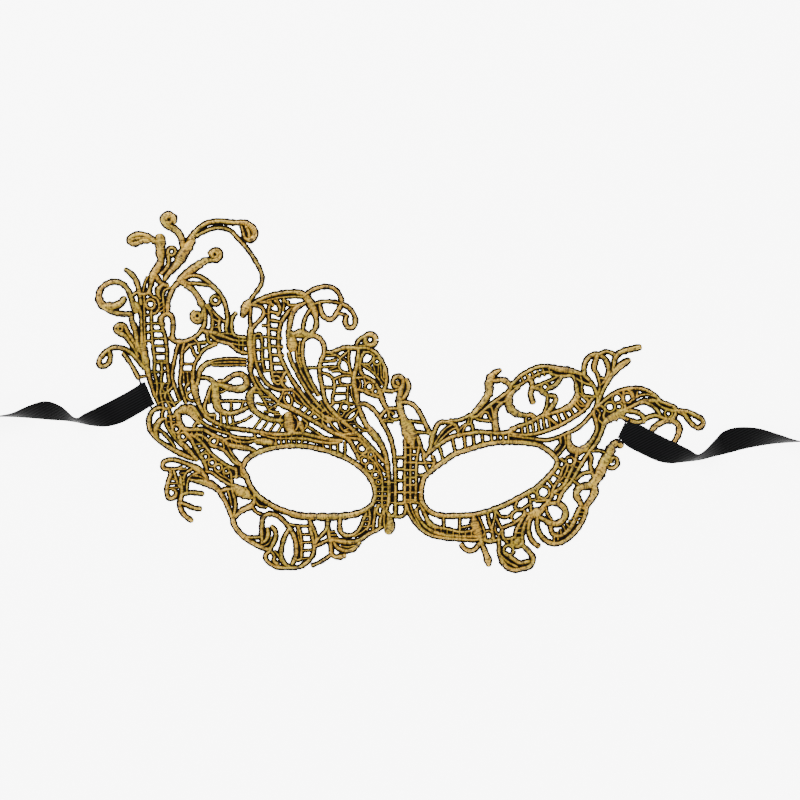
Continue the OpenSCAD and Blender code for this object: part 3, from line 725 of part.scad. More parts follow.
// Right wing: the outer wing of the temple, with its rings and satin leaf.
right_wing_cords = [
  [1.5, [77.4,29.6], [79,31.2], [81.2,33], [84,34.8], [87,36], [89.6,36.5], [92.5,36.7], [95.6,36.2],
   [98.4,34.9], [100.6,33.1], [102.2,31.4], [104.7,30.4], [107.4,29.2], [108.8,27.7]],
  [2.2, [79,20.8,1.6], [79.8,23], [81.4,24.4,2.8], [83.8,25.6,3.6], [86.4,26.9,3.6], [88.2,28.4,2]],
  [1.3, [78.4,29.8], [80,28], [79.4,25.8], [80,23.6]],
  [1, [84.8,32.6], 2],
  [1, [81.9,29.2], 2],
  [1, [85.5,29.4], 1.5],
  [1, [88.9,32.8], 2],
  [1.4, [87.4,35.8], [87.2,32.7], [87.8,30], [88.2,28.2]],
  [1.6, [89.3,36.2], [90.7,34.8], [91.5,32.7]],
  [1.1, [91,32], [93.8,33.8], [97,34.2], [100,33.4]],
  [0.9, [93,35.2], [92.6,33.6]],
  [1.6, [88.6,28.4], [90.2,29.2], [92.5,30.4], [95.2,31.4,2], [97.9,31.7,2], [100.6,31.8],
   [102.4,31.2]],
  [1.7, [88.6,27.6], [90.8,27.5], [93,27], [94.9,25.7], [95.8,24.4], [97.9,25.4], [100.2,25.8],
   [102.4,25.2]],
  [1.6, [85.8,26], [87.4,25], [89.3,24.1], [92.5,23.2], [95.6,23.6]],
  [1.4, [96.4,31], [98.8,29.8], [101.1,27.7], [102.2,25.4]],
  [1.1, [100.4,31.2], [102.4,29.4], [105.2,28.2,1.6], [108.4,27.6,1.6]],
  [1, [105.4,26.6], 1.5],
  [1.6, [102.2,25.2], [104.3,24.5], [106.8,24.4,2.2], [108,26], [108.6,27.6]],
];

// Right wing tip: the end loop of the wing and the arch below it.
right_wing_tip_cords = [
  [1.7, [107.4,27.7], [110.2,27.5], [113,27.2], [116.1,25.8], [118.6,24.3], [119.2,22.5], [117.4,20.9],
   [115,22.2], [113.2,24.3], [111.8,26.2], [109.8,27.2]],
  [2, [98.8,20], [100.2,21.6], [102.5,23], [105.2,23.9], [107.9,23.4], [109.6,21.4], [109.3,18.2],
   [107.6,15,1.6]],
];

// Right temple: the cords and cup-shaped leaf beside the right eye.
right_temple_cords = [
  [1.6, [76.4,29.1], [75.4,26.8], [76.4,23.6], [76.8,20.5], [75.9,17.6], [74.1,14.7], [72.3,12,2]],
  [1.3, [77.2,30.4], [75.7,28], [73.6,25.3], [71.2,22.6], [68.2,20.3], [64.5,18.5], [60.9,17],
   [57.3,16], [54.4,16], [50.6,16.6], [46,17.2], [42,17.8]],
  [1.1, [76.6,28.6], [78,26.6], [77.4,24.4], [79,22.6]],
  [1.2, [62,17.2], [62.2,14.4], [60.2,11.8]],
  [1.1, [63.8,18], [64.2,14.4], [62.6,11.6], [60.8,9.8]],
  [1.8, [65.4,18.8], [65.4,15.6,2], [66.4,12.8,3], [68.8,11.5,3.4], [71.4,12.4,2.6], [73.8,14.6,1.8],
   [75.6,17]],
  [1.6, [79.2,21.4], [77.8,17.4], [76,14.2], [73.7,11.4], [71.8,8.4], [70,5.5], [68.2,2.3], [66.2,-0.9],
   [63.8,-3.6], [62.3,-5.9], [61.2,-8.8]],
  [1.6, [68.6,10.4], [67.7,6.4], [66,2.9], [64.4,-0.5], [62.5,-3.1], [59.6,-5], [58,-7.6],
   [56.6,-9.2]],
  [0.8, 7, [67.8,7.8], [60,-5.4], [70.8,7], [62.6,-6]],
  [1.3, [62.4,8.4], [64.4,6.6], [63,4.4], [62.2,1.8], [60.8,-0.9], [59.4,-3.2], [58.6,-5.6]],
  [1, [66,7.6], 1.7],
  [1.1, [65.2,6], [64.6,3.8], [63.4,1.4], [61.6,-0.8]],
  [1, [60.6,5.6], [62.4,4.6]],
  [1, [59,2.6], [61,1.4], [62.2,1.6]],
  [1, [57,0.6], [58.4,-1.4], [59.6,-3]],
  [1.1, [55.3,-4.9], 2.5],
  [1, [51.1,-6.3], 1.7],
  [1.2, [51,-4.6], [53,-5.6], [53.4,-7.6]],
  [1.3, [52.4,-8.4], [55,-8.2], [58,-7.8]],
];

// Right temple scroll: the broad satin band that ends in a loop.
right_c_scroll_cords = [
  [2.2, [86.4,13.8], [84.8,14.8,2.6], [82.8,13.4,3], [81.8,10.9,3.6], [80.4,8.4,4], [79.1,5.8,4],
   [77.6,2.4,4], [75.8,-0.6,3.4], [73.8,-2.2,3], [71.4,-2.5,2.6], [69.2,-3.7,2.6], [68.5,-6,2.4],
   [69.8,-8.5,2], [70.8,-10.8,1.8]],
  [2.6, [75.4,-1.6], [75.8,-4.4,2.8], [74.8,-7,2.6], [73.2,-9.2,2.2], [71.8,-11.2,1.8]],
  [1.4, [81.6,5], [83.4,4.9], [84.9,6.4], [84.6,8.4], [83,8.8], [82.4,7.2]],
  [1.5, [73.2,11.2], [74.4,9], [74.1,6], [74.8,3.4], [75.6,1]],
  [1.1, [75.2,11.6], [77.6,11.8], [80.4,10.8]],
  [1.4, [68.6,0.6], [71.2,2.6], [74.6,3.2]],
  [1.3, [67.4,-0.4], [69,-1.6], [70.4,-2.6]],
];

// Right cheek ring: the satin knot, ring and curved double cord below the eye.
right_cheek_ring_cords = [
  [1.8, [54.6,-11.6], [56,-10], [58.6,-9.2], [61.4,-9.5,2], [63.6,-11.2,2.2], [64.2,-13.6,2.4],
   [63.2,-16,2.4], [60.9,-17.5,2.4], [58.2,-17.2,2.4], [55.8,-15.9,1.8], [54,-15,1.6]],
  [1, [56.4,-11.2], [57,-13.6], [58.6,-15.8]],
  [2.2, [49.9,-13.6], [51.4,-13.6,4], [53.2,-12.8,4], [55,-11.8,2]],
  [1.7, [53,-15], [52.9,-18.8], [54.4,-22.2], [56.8,-24.4], [59.7,-25.4], [62.7,-24.8], [65.8,-22.8],
   [68.5,-20], [70.7,-16.7], [72.1,-13.2], [72.5,-11]],
  [1.8, [58.4,-17.8], [58.4,-20], [59.6,-21.8], [61.8,-22.4,1.6], [64.1,-21.2,1.6], [66.2,-19,2],
   [67.9,-15.9], [69,-13], [70.4,-10.8]],
  [0.9, 9, [59.8,-22], [69.2,-12.8], [59.6,-25.2], [72.2,-13]],
  [1.7, [50.8,-14.4], [49.6,-17.2], [49.4,-20.2], [50.2,-23.2], [51.8,-25.3], [53.4,-26.4]],
  [1.3, [50,-7.4], [50.2,-9.6], [50.4,-12]],
];

// Right cheek loops: the hanging loop and its knot.
right_cheek_loops_cords = [
  [1.6, [50,-14], [48.2,-17], [47.2,-20], [46.8,-23], [46.8,-25.4], [45,-26.6], [43,-25.8],
   [42.7,-23.6]],
  [1.4, [48.6,-13], [46.2,-16.8], [44.6,-20], [44,-23]],
  [0.9, 4, [45.6,-17.4], [44,-23], [48.2,-17.4], [46.8,-23]],
  [3, [44.8,-24.6], [45,-24.4]],
  [1.8, [46.6,-25.8], [49,-28], [50.8,-30.4], [51,-32.8], [49.4,-34.7], [46.8,-35.4], [44,-35.9],
   [41.2,-35], [39,-32.6], [37.8,-29.4,1.5], [37.6,-26,1.4], [37.4,-23,1.4]],
  [1.7, [40.4,-29.6], [43.4,-31.7], [45.9,-33.2], [49.4,-32.6]],
  [1.2, [41.4,-28.1], 2],
  [1.3, [38.4,-30.4], [41.2,-32.8], [44.6,-34.6]],
  [1.3, [38.8,-20], [39.2,-22.8], [41,-25], [42.6,-26.4]],
  [1.2, [39.4,-23.4], [41.4,-23.6], [43.4,-23]],
  [1.2, [42.6,-16], [42.8,-13.6], [45,-12], [47.6,-12], [47.2,-14.2], [44.4,-16.4], [42.6,-16]],
  [1.3, [38.7,-19.2], [41,-18.3], [43.6,-17.3], [46,-15.6]],
  [1.2, [44.8,-8.6], [44,-11], [46,-12], [48.6,-10.6], [50,-9.6]],
  [1.1, [36.4,-12.4], [38.4,-14.6], [41.4,-14.6], [43.2,-13]],
  [1.1, [35.8,-13], [36.8,-16], [38.6,-19.4]],
];

// Right cheek band: the three cords under the right eye.
right_cheek_band_cords = [
  [1.6, [7,-11.4], [8.4,-14.6], [9.6,-17.2,2.2], [11.6,-18.6,1.8], [15.1,-19.3,1.3], [18.7,-20.1,1.3],
   [21.9,-20.8,1.3], [25.4,-20.6,1.3], [27.6,-20]],
  [1.5, [4.4,-12.2,2], [5.1,-14.5], [6.9,-17.2], [9.2,-19.4], [11.8,-20.8,1.8], [15,-21.7,1.8],
   [18.8,-22.3,1.8], [23.3,-22.6,1.6], [28.6,-22.6,1.6]],
  [1.4, [0.4,-9.6], [1.6,-13], [3.3,-15.8], [5.4,-18.4], [8,-20.6], [11.2,-22.2], [15.6,-23.1],
   [20,-23.5], [24,-23.8], [27.4,-24], [29.8,-23.6]],
  [1, [2,-9.4], [3,-12.6], [4.4,-15.4], [6,-18.4]],
  [1, [4.6,-12], [5.8,-10.4], [7,-11]],
  [1, [15.4,-14.6], [15.5,-18.8]],
  [1, [21.9,-14.8], [21.9,-20.6]],
  [0.9, [22.4,-19], [25.6,-18.4], [27.2,-17.6]],
  [0.7, 7, [12,-19], [26.6,-20.8], [12,-21], [26.6,-22.6]],
];

// Right cheek leaf: the satin leaf under the eye, its tail and hook.
right_cheek_leaf_cords = [
  [1.6, [27.4,-14.6], [27.9,-17.2,3.6], [28.7,-20,4.4], [29.8,-22.3,3.2], [30.4,-24.4,1.8]],
  [1.8, [30.4,-24.4], [31.6,-27.6], [32.5,-30,2.2], [33.2,-32.2,2.4], [33.5,-34.2,1.2]],
  [1.7, [30,-25.2], [28,-27.6], [26,-28.3], [24,-27.5], [22.6,-25.9]],
  [0.9, [29.6,-15], [31,-18.2], [31.9,-21.4], [32.2,-24]],
  [1.4, [33,-12.8], [33.7,-16.8], [34.8,-19.8], [35.4,-23.6]],
  [1.1, [36.4,-12.4], [35.6,-16.2], [34.8,-19.4]],
  [1, [33.3,-22.2], 1.9],
  [1.4, [30.8,-23.8], [34,-24.6], [37.6,-23.8]],
  [1, [36.2,-18], [36.2,-20.4], [37.6,-21.8], [38.8,-20]],
];

// Right eye rim: the closed cord around the right eye opening.
right_eye_rim_cords = [
  [1.9, [6.3,-5], [6.8,-1.5], [8,1.5], [12,5], [16,7.8], [20,10.5], [25,12.2], [30,13.8], [36,15],
   [42,15.3], [48,15], [53,14.2], [57,12], [60,9.3], [61,7], [60.3,5], [58,2], [55,-1], [52,-3.5],
   [48,-5.8], [43,-8.5], [38,-10.8], [33,-12.6], [27,-14], [21,-14.3], [15,-14.3], [11,-13.2],
   [8.2,-11], [6.5,-8], [6.3,-5]],
];

// A point of a smooth line through four chosen points, at t between the middle two.
function between(a, b, c, d, t) =
  0.5 * (2 * b + (c - a) * t + (2 * a - 5 * b + 4 * c - d) * t * t + (3 * b - a - 3 * c + d) * t * t * t);

// A chosen point with its own width, or with the cord's.
function sized(point, width) = len(point) == 3 ? point : [point[0], point[1], width];

// The smooth line through a cord's chosen points; a cord starts with its width.
function smooth(points) =
  let (last = len(points) - 1)
  [
    for (i = [0 : last - 1], k = [0 : spans - 1])
      between(
        points[max(i - 1, 0)], points[i], points[i + 1], points[min(i + 2, last)], k / spans
      ),
    points[last]
  ];

// The direction of a smooth line at point i.
function heading(line, i) =
  let (
    a = line[max(i - 1, 0)],
    b = line[min(i + 1, len(line) - 1)],
    run = [b[0] - a[0], b[1] - a[1]]
  )
  run / max(norm(run), seam);

// The edge of a cord at point i, on the side +1 or -1.
function edge_point(line, i, side) =
  let (
    along = heading(line, i),
    reach = side * (line[i][2] / 2 + edging)
  )
  [line[i][0] - along[1] * reach, line[i][1] + along[0] * reach];

// One cord with its edging, seen flat, as short quads with round ends.
module cord(points) {
  line = smooth(points);
  last = len(line) - 1;
  for (i = [0 : last - 1])
    polygon([
      edge_point(line, i, 1),
      edge_point(line, i + 1, 1),
      edge_point(line, i + 1, -1),
      edge_point(line, i, -1)
    ]);
  for (p = [line[0], line[last]])
    translate([p[0], p[1]])
      circle(r = p[2] / 2 + edging, $fn = end_sides);
}

// A small ring: its width, centre and middle radius.
module ring(width, centre, radius) {
  translate(centre)
    difference() {
      circle(r = radius + width / 2 + edging, $fn = ring_sides);
      circle(r = max(radius - width / 2 - edging, least_hole), $fn = ring_sides);
    }
}

// A row of rungs: width, how many, the first side's two ends, then the second side's.
module rungs(width, count, a0, a1, b0, b1) {
  for (k = [0 : count - 1]) {
    t = k / (count - 1);
    cord([sized(a0 + (a1 - a0) * t, width), sized(b0 + (b1 - b0) * t, width)]);
  }
}

// One motif: all its cords, rings and rungs stitched into one piece.
module lace_motif(cords) {
  linear_extrude(height = lace_thickness)
    offset(delta = seam)
      union()
        for (c = cords) {
          if (is_num(c[1]))
            rungs(c[0], c[1], c[2], c[3], c[4], c[5]);
          else if (is_num(c[2]))
            ring(c[0], c[1], c[2]);
          else
            cord([for (i = [1 : len(c) - 1]) sized(c[i], c[0])]);
        }
}

// Turns Z along a flat line from a to b and starts at a given distance from a.
module along_bar(bar, distance) {
  way = (bar[1] - bar[0]) / norm(bar[1] - bar[0]);
  translate([bar[0][0] + way[0] * distance, bar[0][1] + way[1] * distance, tie_bar_height])
    rotate([0, 90, atan2(way[1], way[0])])
      children();
}

// A stitched bar that a ribbon is looped around.
module tie_bar(bar) {
  color(dark_thread)
    along_bar(bar, 0)
      cylinder(r = tie_bar_radius, h = norm(bar[1] - bar[0]), $fn = bar_sides);
}

// The ribbon's fold around its tie bar.
module ribbon_loop(bar, covered) {
  color(black_satin)
    along_bar(bar, covered[0])
      difference() {
        cylinder(r = loop_outer, h = covered[1] - covered[0], $fn = bar_sides);
        translate([0, 0, -cut_margin])
          cylinder(r = loop_inner, h = covered[1] - covered[0] + 2 * cut_margin, $fn = bar_sides);
      }
}

// The row of stitches that closes a ribbon's loop: a thin raised thread beside the bar.
module ribbon_stitches(bar, covered, side) {
  way = (bar[1] - bar[0]) / norm(bar[1] - bar[0]);
  out = [way[1], -way[0]] * side;
  start = bar[0] + way * (covered[0] + stitch_inset) + out * stitch_offset;
  color(black_satin)
    translate([start[0], start[1], tie_bar_height + stitch_rise])
      rotate([0, 0, atan2(way[1], way[0])])
        cube([covered[1] - covered[0] - 2 * stitch_inset, stitch_size, stitch_size]);
}

// The outward normal of a run's section, from its edge points and the next section's.
function lift(edges, i) =
  let (
    j = min(i, len(edges) - 2),
    across = edges[i][1] - edges[i][0],
    ahead = edges[j + 1][0] - edges[j][0],
    normal = cross(ahead, across)
  )
  normal / norm(normal) * half_thickness;

// A ribbon's run: a thin twisting strip between its lower and upper edges.
module ribbon_run(edges) {
  count = len(edges);
  corners = [
    for (i = [0 : count - 1])
      let (n = lift(edges, i))
      each [edges[i][0] - n, edges[i][1] - n, edges[i][1] + n, edges[i][0] + n]
  ];
  sides = [
    for (i = [0 : count - 2], k = [0 : 3])
      let (a = 4 * i + k, b = 4 * i + (k + 1) % 4)
      each k == 2 ? [[a, b, a + 4], [b, b + 4, a + 4]] : [[a, b, b + 4], [a, b + 4, a + 4]]
  ];
  tail = 4 * (count - 1);
  ends = [[0, 2, 1], [0, 3, 2], [tail, tail + 1, tail + 2], [tail, tail + 2, tail + 3]];
  color(black_satin)
    polyhedron(points = corners, faces = [for (f = concat(sides, ends)) [f[0], f[2], f[1]]]);
}

// The loosely rolled end of a ribbon, standing on its edge.
module ribbon_roll(start, centre, hand) {
  turns = [for (a = [0 : roll_step : roll_turn]) a];
  spiral = [
    for (a = turns)
      let (r = roll_radius - roll_pitch * a / 360)
      [centre[0] + hand * r * sin(a), centre[1] - r * cos(a)]
  ];
  line = [for (p = concat([start], spiral)) [p[0], p[1], 0]];
  far = len(line) - 1;
  color(black_satin)
    translate([0, 0, roll_base])
      linear_extrude(height = ribbon_width)
        offset(delta = seam)
          union()
            for (i = [0 : far - 1])
              polygon([
                strip_point(line, i, 1),
                strip_point(line, i + 1, 1),
                strip_point(line, i + 1, -1),
                strip_point(line, i, -1)
              ]);
}

// The edge of a ribbon seen from above at point i, on the side +1 or -1.
function strip_point(line, i, side) =
  let (along = heading(line, i))
  [line[i][0] - along[1] * side * half_thickness, line[i][1] + along[0] * side * half_thickness];

module left_tie_bar() {
  tie_bar(left_bar);
}

module right_tie_bar() {
  tie_bar(right_bar);
}

module left_ribbon_loop() {
  ribbon_loop(left_bar, left_covered);
}

module right_ribbon_loop() {
  ribbon_loop(right_bar, right_covered);
}

module left_ribbon_stitches() {
  ribbon_stitches(left_bar, left_covered, -1);
}

module right_ribbon_stitches() {
  ribbon_stitches(right_bar, right_covered, -1);
}

module left_ribbon_run() {
  ribbon_run(left_run_edges);
}

module right_ribbon_run() {
  ribbon_run(right_run_edges);
}

module left_ribbon_roll() {
  ribbon_roll(left_roll_start, left_roll_centre, -1);
}

module right_ribbon_roll() {
  ribbon_roll(right_roll_start, right_roll_centre, 1);
}

// Crest tendrils: satin-stitched stems that fan out of the top of the crest and end in knobs.
module crest_tendrils() {
  color(gold_thread)
    lace_motif(crest_tendrils_cords);
}

// Arch tendril: two cords that leave the crest's top and arch over towards the plume.
module arch_tendril() {
  color(gold_thread)
    lace_motif(arch_tendril_cords);
}

// Side curl: the round hook and its short stem on the crest's outer side.
module crest_side_curl() {
  color(gold_thread)
    lace_motif(crest_side_curl_cords);
}

// Crest hooks: the pointed loop and the hanging hook below the side curl.
module crest_hooks() {
  color(gold_thread)
    lace_motif(crest_hooks_cords);
}

// Crest spine: the swelling rail that carries the crest, with its rungs and inner rails.
module crest_spine() {
  color(gold_thread)
    lace_motif(crest_spine_cords);
}

// Crest lattice: thin crossing cords that fill the foot of the crest.
module crest_lattice() {
  color(gold_thread)
    lace_motif(crest_lattice_cords);
}

// Crest crown: the leaf with a curled tip and the cords that fall from it.
module crest_crown() {
  color(gold_thread)
    lace_motif(crest_crown_cords);
}

// Crest links: the cord bundles that tie the crest to the plume rail.
module crest_link() {
  color(gold_thread)
    lace_motif(crest_link_cords);
}

// Crest scrolls: leaf-like scrolls and the bars between them, over the brow.
module crest_scrolls() {
  color(gold_thread)
    lace_motif(crest_scrolls_cords);
}

// Plume rail: the upright swelling rail at the plume's outer edge.
module plume_rail() {
  color(gold_thread)
    lace_motif(plume_rail_cords);
}

// Plume ladders: long falling cords joined by short rungs.
module plume_ladders() {
  color(gold_thread)
    lace_motif(plume_ladders_cords);
}

// Plume arc: the rounded top cord of the plume, with the satin drop below it.
module plume_arc() {
  color(gold_thread)
    lace_motif(plume_arc_cords);
}

// Plume loop: the cord that falls from the plume to the nose, and its companions.
module plume_loop() {
  color(gold_thread)
    lace_motif(plume_loop_cords);
}

// Plume curls: the outer curl and the small inner curl at the plume's top.
module plume_curls() {
  color(gold_thread)
    lace_motif(plume_curls_cords);
}

// Fan mesh: the open net between the plume loop and the nose cords.
module fan_mesh() {
  color(gold_thread)
    lace_motif(fan_mesh_cords);
}

// Mesh bands: the sloping double cords between the plume and the brow.
module mesh_bands() {
  color(gold_thread)
    lace_motif(mesh_bands_cords);
}

// Left brow bands: three cords over the left eye, with satin leaves between them.
module brow_bands() {
  color(gold_thread)
    lace_motif(brow_bands_cords);
}

// Left eye rim: the closed cord around the left eye opening.
module left_eye_rim() {
  color(gold_thread)
    lace_motif(left_eye_rim_cords);
}

// Temple loops: looped cords and small rings at the left temple.
module temple_loops() {
  color(gold_thread)
    lace_motif(temple_loops_cords);
}

// Temple comb: the prongs and hooks below the temple loops.
module temple_comb() {
  color(gold_thread)
    lace_motif(temple_comb_cords);
}

// Left cheek: the hanging scrolls and cords below the left eye.
module left_cheek() {
  color(gold_thread)
    lace_motif(left_cheek_cords);
}

// Left cheek point: the loops that lead from the cheek to the nose.
module left_cheek_point() {
  color(gold_thread)
    lace_motif(left_cheek_point_cords);
}

// Nose lattice: the rings and rails at the left of the nose.
module nose_lattice() {
  color(gold_thread)
    lace_motif(nose_lattice_cords);
}

// Nose curls: the knob and curled cords above the nose.
module nose_curls() {
  color(gold_thread)
    lace_motif(nose_curls_cords);
}

// Nose bridge: three upright rails with dark thread rungs.
module nose_bridge() {
  color(gold_thread)
    lace_motif(nose_bridge_cords);
}

// Centre leaf: the satin leaf over the nose, its stem and its two small curls.
module centre_leaf() {
  color(gold_thread)
    lace_motif(centre_leaf_cords);
}

// Right brow ladder: the cord over the right eye and the bars below it.
module right_brow_ladder() {
  color(gold_thread)
    lace_motif(right_brow_ladder_cords);
}

// Right horn: the upswept leaf tip and hook over the right brow.
module right_horn() {
  color(gold_thread)
    lace_motif(right_horn_cords);
}

// Right brow scroll: the large oval scroll with curled cords inside.
module right_brow_scroll() {
  color(gold_thread)
    lace_motif(right_brow_scroll_cords);
}

// Right fronds: the loop and two tips that rise beside the oval scroll.
module right_tip_fronds() {
  color(gold_thread)
    lace_motif(right_tip_fronds_cords);
}

// Right wing: the outer wing of the temple, with its rings and satin leaf.
module right_wing() {
  color(gold_thread)
    lace_motif(right_wing_cords);
}

// Right wing tip: the end loop of the wing and the arch below it.
module right_wing_tip() {
  color(gold_thread)
    lace_motif(right_wing_tip_cords);
}

// Right temple: the cords and cup-shaped leaf beside the right eye.
module right_temple() {
  color(gold_thread)
    lace_motif(right_temple_cords);
}

// Right temple scroll: the broad satin band that ends in a loop.
module right_c_scroll() {
  color(gold_thread)
    lace_motif(right_c_scroll_cords);
}

// Right cheek ring: the satin knot, ring and curved double cord below the eye.
module right_cheek_ring() {
  color(gold_thread)
    lace_motif(right_cheek_ring_cords);
}

// Right cheek loops: the hanging loop and its knot.
module right_cheek_loops() {
  color(gold_thread)
    lace_motif(right_cheek_loops_cords);
}

// Right cheek band: the three cords under the right eye.
module right_cheek_band() {
  color(gold_thread)
    lace_motif(right_cheek_band_cords);
}

// Right cheek leaf: the satin leaf under the eye, its tail and hook.
module right_cheek_leaf() {
  color(gold_thread)
    lace_motif(right_cheek_leaf_cords);
}

// Right eye rim: the closed cord around the right eye opening.
module right_eye_rim() {
  color(gold_thread)
    lace_motif(right_eye_rim_cords);
}

crest_tendrils();
arch_tendril();
crest_side_curl();
crest_hooks();
crest_spine();
crest_lattice();
crest_crown();
crest_link();
crest_scrolls();
plume_rail();
plume_ladders();
plume_arc();
plume_loop();
plume_curls();
fan_mesh();
mesh_bands();
brow_bands();
left_eye_rim();
temple_loops();
temple_comb();
left_cheek();
left_cheek_point();
nose_lattice();
nose_curls();
nose_bridge();
centre_leaf();
right_brow_ladder();
right_horn();
right_brow_scroll();
right_tip_fronds();
right_wing();
right_wing_tip();
right_temple();
right_c_scroll();
right_cheek_ring();
right_cheek_loops();
right_cheek_band();
right_cheek_leaf();
right_eye_rim();
left_tie_bar();
right_tie_bar();
left_ribbon_loop();
left_ribbon_stitches();
left_ribbon_run();
left_ribbon_roll();
right_ribbon_loop();
right_ribbon_stitches();
right_ribbon_run();
right_ribbon_roll();
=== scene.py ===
"""Venetian half-mask of embroidered lace, laid flat, with two black satin tie ribbons.

Metres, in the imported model's frame: +X along the mask, +Y towards the crest, +Z out of its face.
"""

import math

import bpy
import numpy as np
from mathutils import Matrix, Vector


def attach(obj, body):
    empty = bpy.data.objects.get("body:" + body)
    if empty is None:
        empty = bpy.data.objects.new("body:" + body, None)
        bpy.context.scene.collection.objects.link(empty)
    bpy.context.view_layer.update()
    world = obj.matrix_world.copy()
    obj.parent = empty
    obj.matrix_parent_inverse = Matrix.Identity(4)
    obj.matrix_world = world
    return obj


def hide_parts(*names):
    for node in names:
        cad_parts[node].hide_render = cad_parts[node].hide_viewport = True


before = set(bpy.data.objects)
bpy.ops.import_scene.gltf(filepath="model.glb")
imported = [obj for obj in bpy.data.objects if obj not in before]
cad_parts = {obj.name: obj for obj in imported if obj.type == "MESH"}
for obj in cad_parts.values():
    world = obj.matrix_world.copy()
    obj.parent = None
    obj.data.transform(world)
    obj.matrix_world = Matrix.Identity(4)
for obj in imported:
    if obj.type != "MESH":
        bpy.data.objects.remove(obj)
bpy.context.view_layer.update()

MM = 0.001

# ---------------------------------------------------------------- camera
# A long lens straight over the mask, so the lace shows no perspective.
# The frame is 320 mm wide at the table and a little above the bridge of the nose.
view_width = 320 * MM
camera_height = 1.6
lens = bpy.data.cameras.new("overhead_lens")
lens.sensor_width = 36
lens.lens = lens.sensor_width * camera_height / view_width
camera = bpy.data.objects.new("overhead_camera", lens)
camera.location = (-2 * MM, 32 * MM, camera_height)
bpy.context.collection.objects.link(camera)
bpy.context.scene.camera = camera


# ---------------------------------------------------------------- ribbon strips
# Each tie is single-face satin ribbon, 10 mm wide and 0.35 mm thick, cut slantwise at its far end.
# It leaves its loop flat, stands up on one edge, opens out again and ends in a loose roll.
ribbon_thickness = 0.35 * MM
ribbon_width = 10 * MM
roll_radius = 24 * MM
roll_pitch = 5 * MM
roll_turn = 900
roll_base = 0.2 * MM
# How far the end's cut slants, in lengths of the strip's last drawn step.
slant_cut = 1.2
# The bar's axis stands 1 mm over the back, and the folded ribbon is a sleeve round it.
bar_height = 1 * MM
sleeve_inner = 0.6 * MM
sleeve_outer = 0.92 * MM
sleeve_ridge = 0.03 * MM
# The gathers go on by this for each radian, so they are 2.2 mm apart.
ridge_spacing = 0.35 * MM
# The stitches that close the fold lie on its outer side. The pitch and the bare ends are in millimetres.
fold_pitch = 0.9
fold_margin = 1
stitch_length = 0.7 * MM
stitch_swell = 0.16 * MM
stitch_reach = 0.95 * MM
stitch_height = 1.98 * MM


def linear(hex_colour):
    """The linear colour of an sRGB hex value such as "C8A046", by the sRGB curve with its straight foot."""
    srgb = np.array([int(hex_colour[i : i + 2], 16) for i in (0, 2, 4)]) / 255
    return (*np.where(srgb <= 0.04045, srgb / 12.92, ((srgb + 0.055) / 1.055) ** 2.4), 1)


def add(tree, kind, settings=None, **links):
    """Adds a node with its settings, and joins or fills its sockets, by name or as i and their number."""
    made = tree.nodes.new(kind)
    for name, value in (settings or {}).items():
        setattr(made, name, value)
    for name, value in links.items():
        socket = made.inputs[int(name[1:]) if name[0] == "i" else name.replace("_", " ")]
        if isinstance(value, bpy.types.NodeSocket):
            tree.links.new(value, socket)
        else:
            socket.default_value = value
    return made


def smooth_line(points, steps):
    """A smooth line through rows of values: each span is the cubic that leaves and meets its neighbours."""
    p = np.asarray(points, float)
    p = np.vstack([p[:1], p, p[-1:]])
    t = np.arange(steps)[None, :, None] / steps
    a, b, c, d = (p[k : len(p) - 3 + k, None, :] for k in range(4))
    spans = b + 0.5 * t * (c - a + t * (2 * a - 5 * b + 4 * c - d + t * (3 * b - a - 3 * c + d)))
    return np.vstack([spans.reshape(-1, p.shape[1]), p[-1:]])


def surface(name, grids, tones=None):
    """One mesh from grids of points, each (rows, columns, 3), the columns joined round into a tube."""
    corners, faces, uvs, start = [], [], [], 0
    for grid in grids:
        rows, columns = grid.shape[:2]
        r, c = np.meshgrid(np.arange(rows - 1), np.arange(columns), indexing="ij")
        n = (c + 1) % columns
        near, far = r * columns, (r + 1) * columns
        quad = np.stack([near + c, near + n, far + n, far + c], -1)
        faces.append(quad.reshape(-1, 4) + start)
        along = np.stack([r, r, r + 1, r + 1], -1) / rows
        across = np.stack([c, c + 1, c + 1, c], -1) / columns
        uvs.append(np.stack([across, along], -1).reshape(-1, 2))
        corners.append(grid.reshape(-1, 3))
        start += rows * columns
    corners, faces, uvs = np.vstack(corners), np.vstack(faces), np.vstack(uvs)
    mesh = bpy.data.meshes.new(name)
    mesh.vertices.add(len(corners))
    mesh.vertices.foreach_set("co", corners.ravel())
    mesh.loops.add(4 * len(faces))
    mesh.loops.foreach_set("vertex_index", faces.ravel())
    mesh.polygons.add(len(faces))
    mesh.polygons.foreach_set("loop_start", np.arange(0, 4 * len(faces), 4))
    mesh.polygons.foreach_set("use_smooth", np.ones(len(faces), bool))
    mesh.update(calc_edges=True)
    mesh.uv_layers.new(name="thread").data.foreach_set("uv", uvs.ravel())
    if tones is not None:
        mesh.attributes.new("tone", "FLOAT", "POINT").data.foreach_set("value", np.concatenate(tones))
    piece = bpy.data.objects.new(name, mesh)
    bpy.context.collection.objects.link(piece)
    return piece


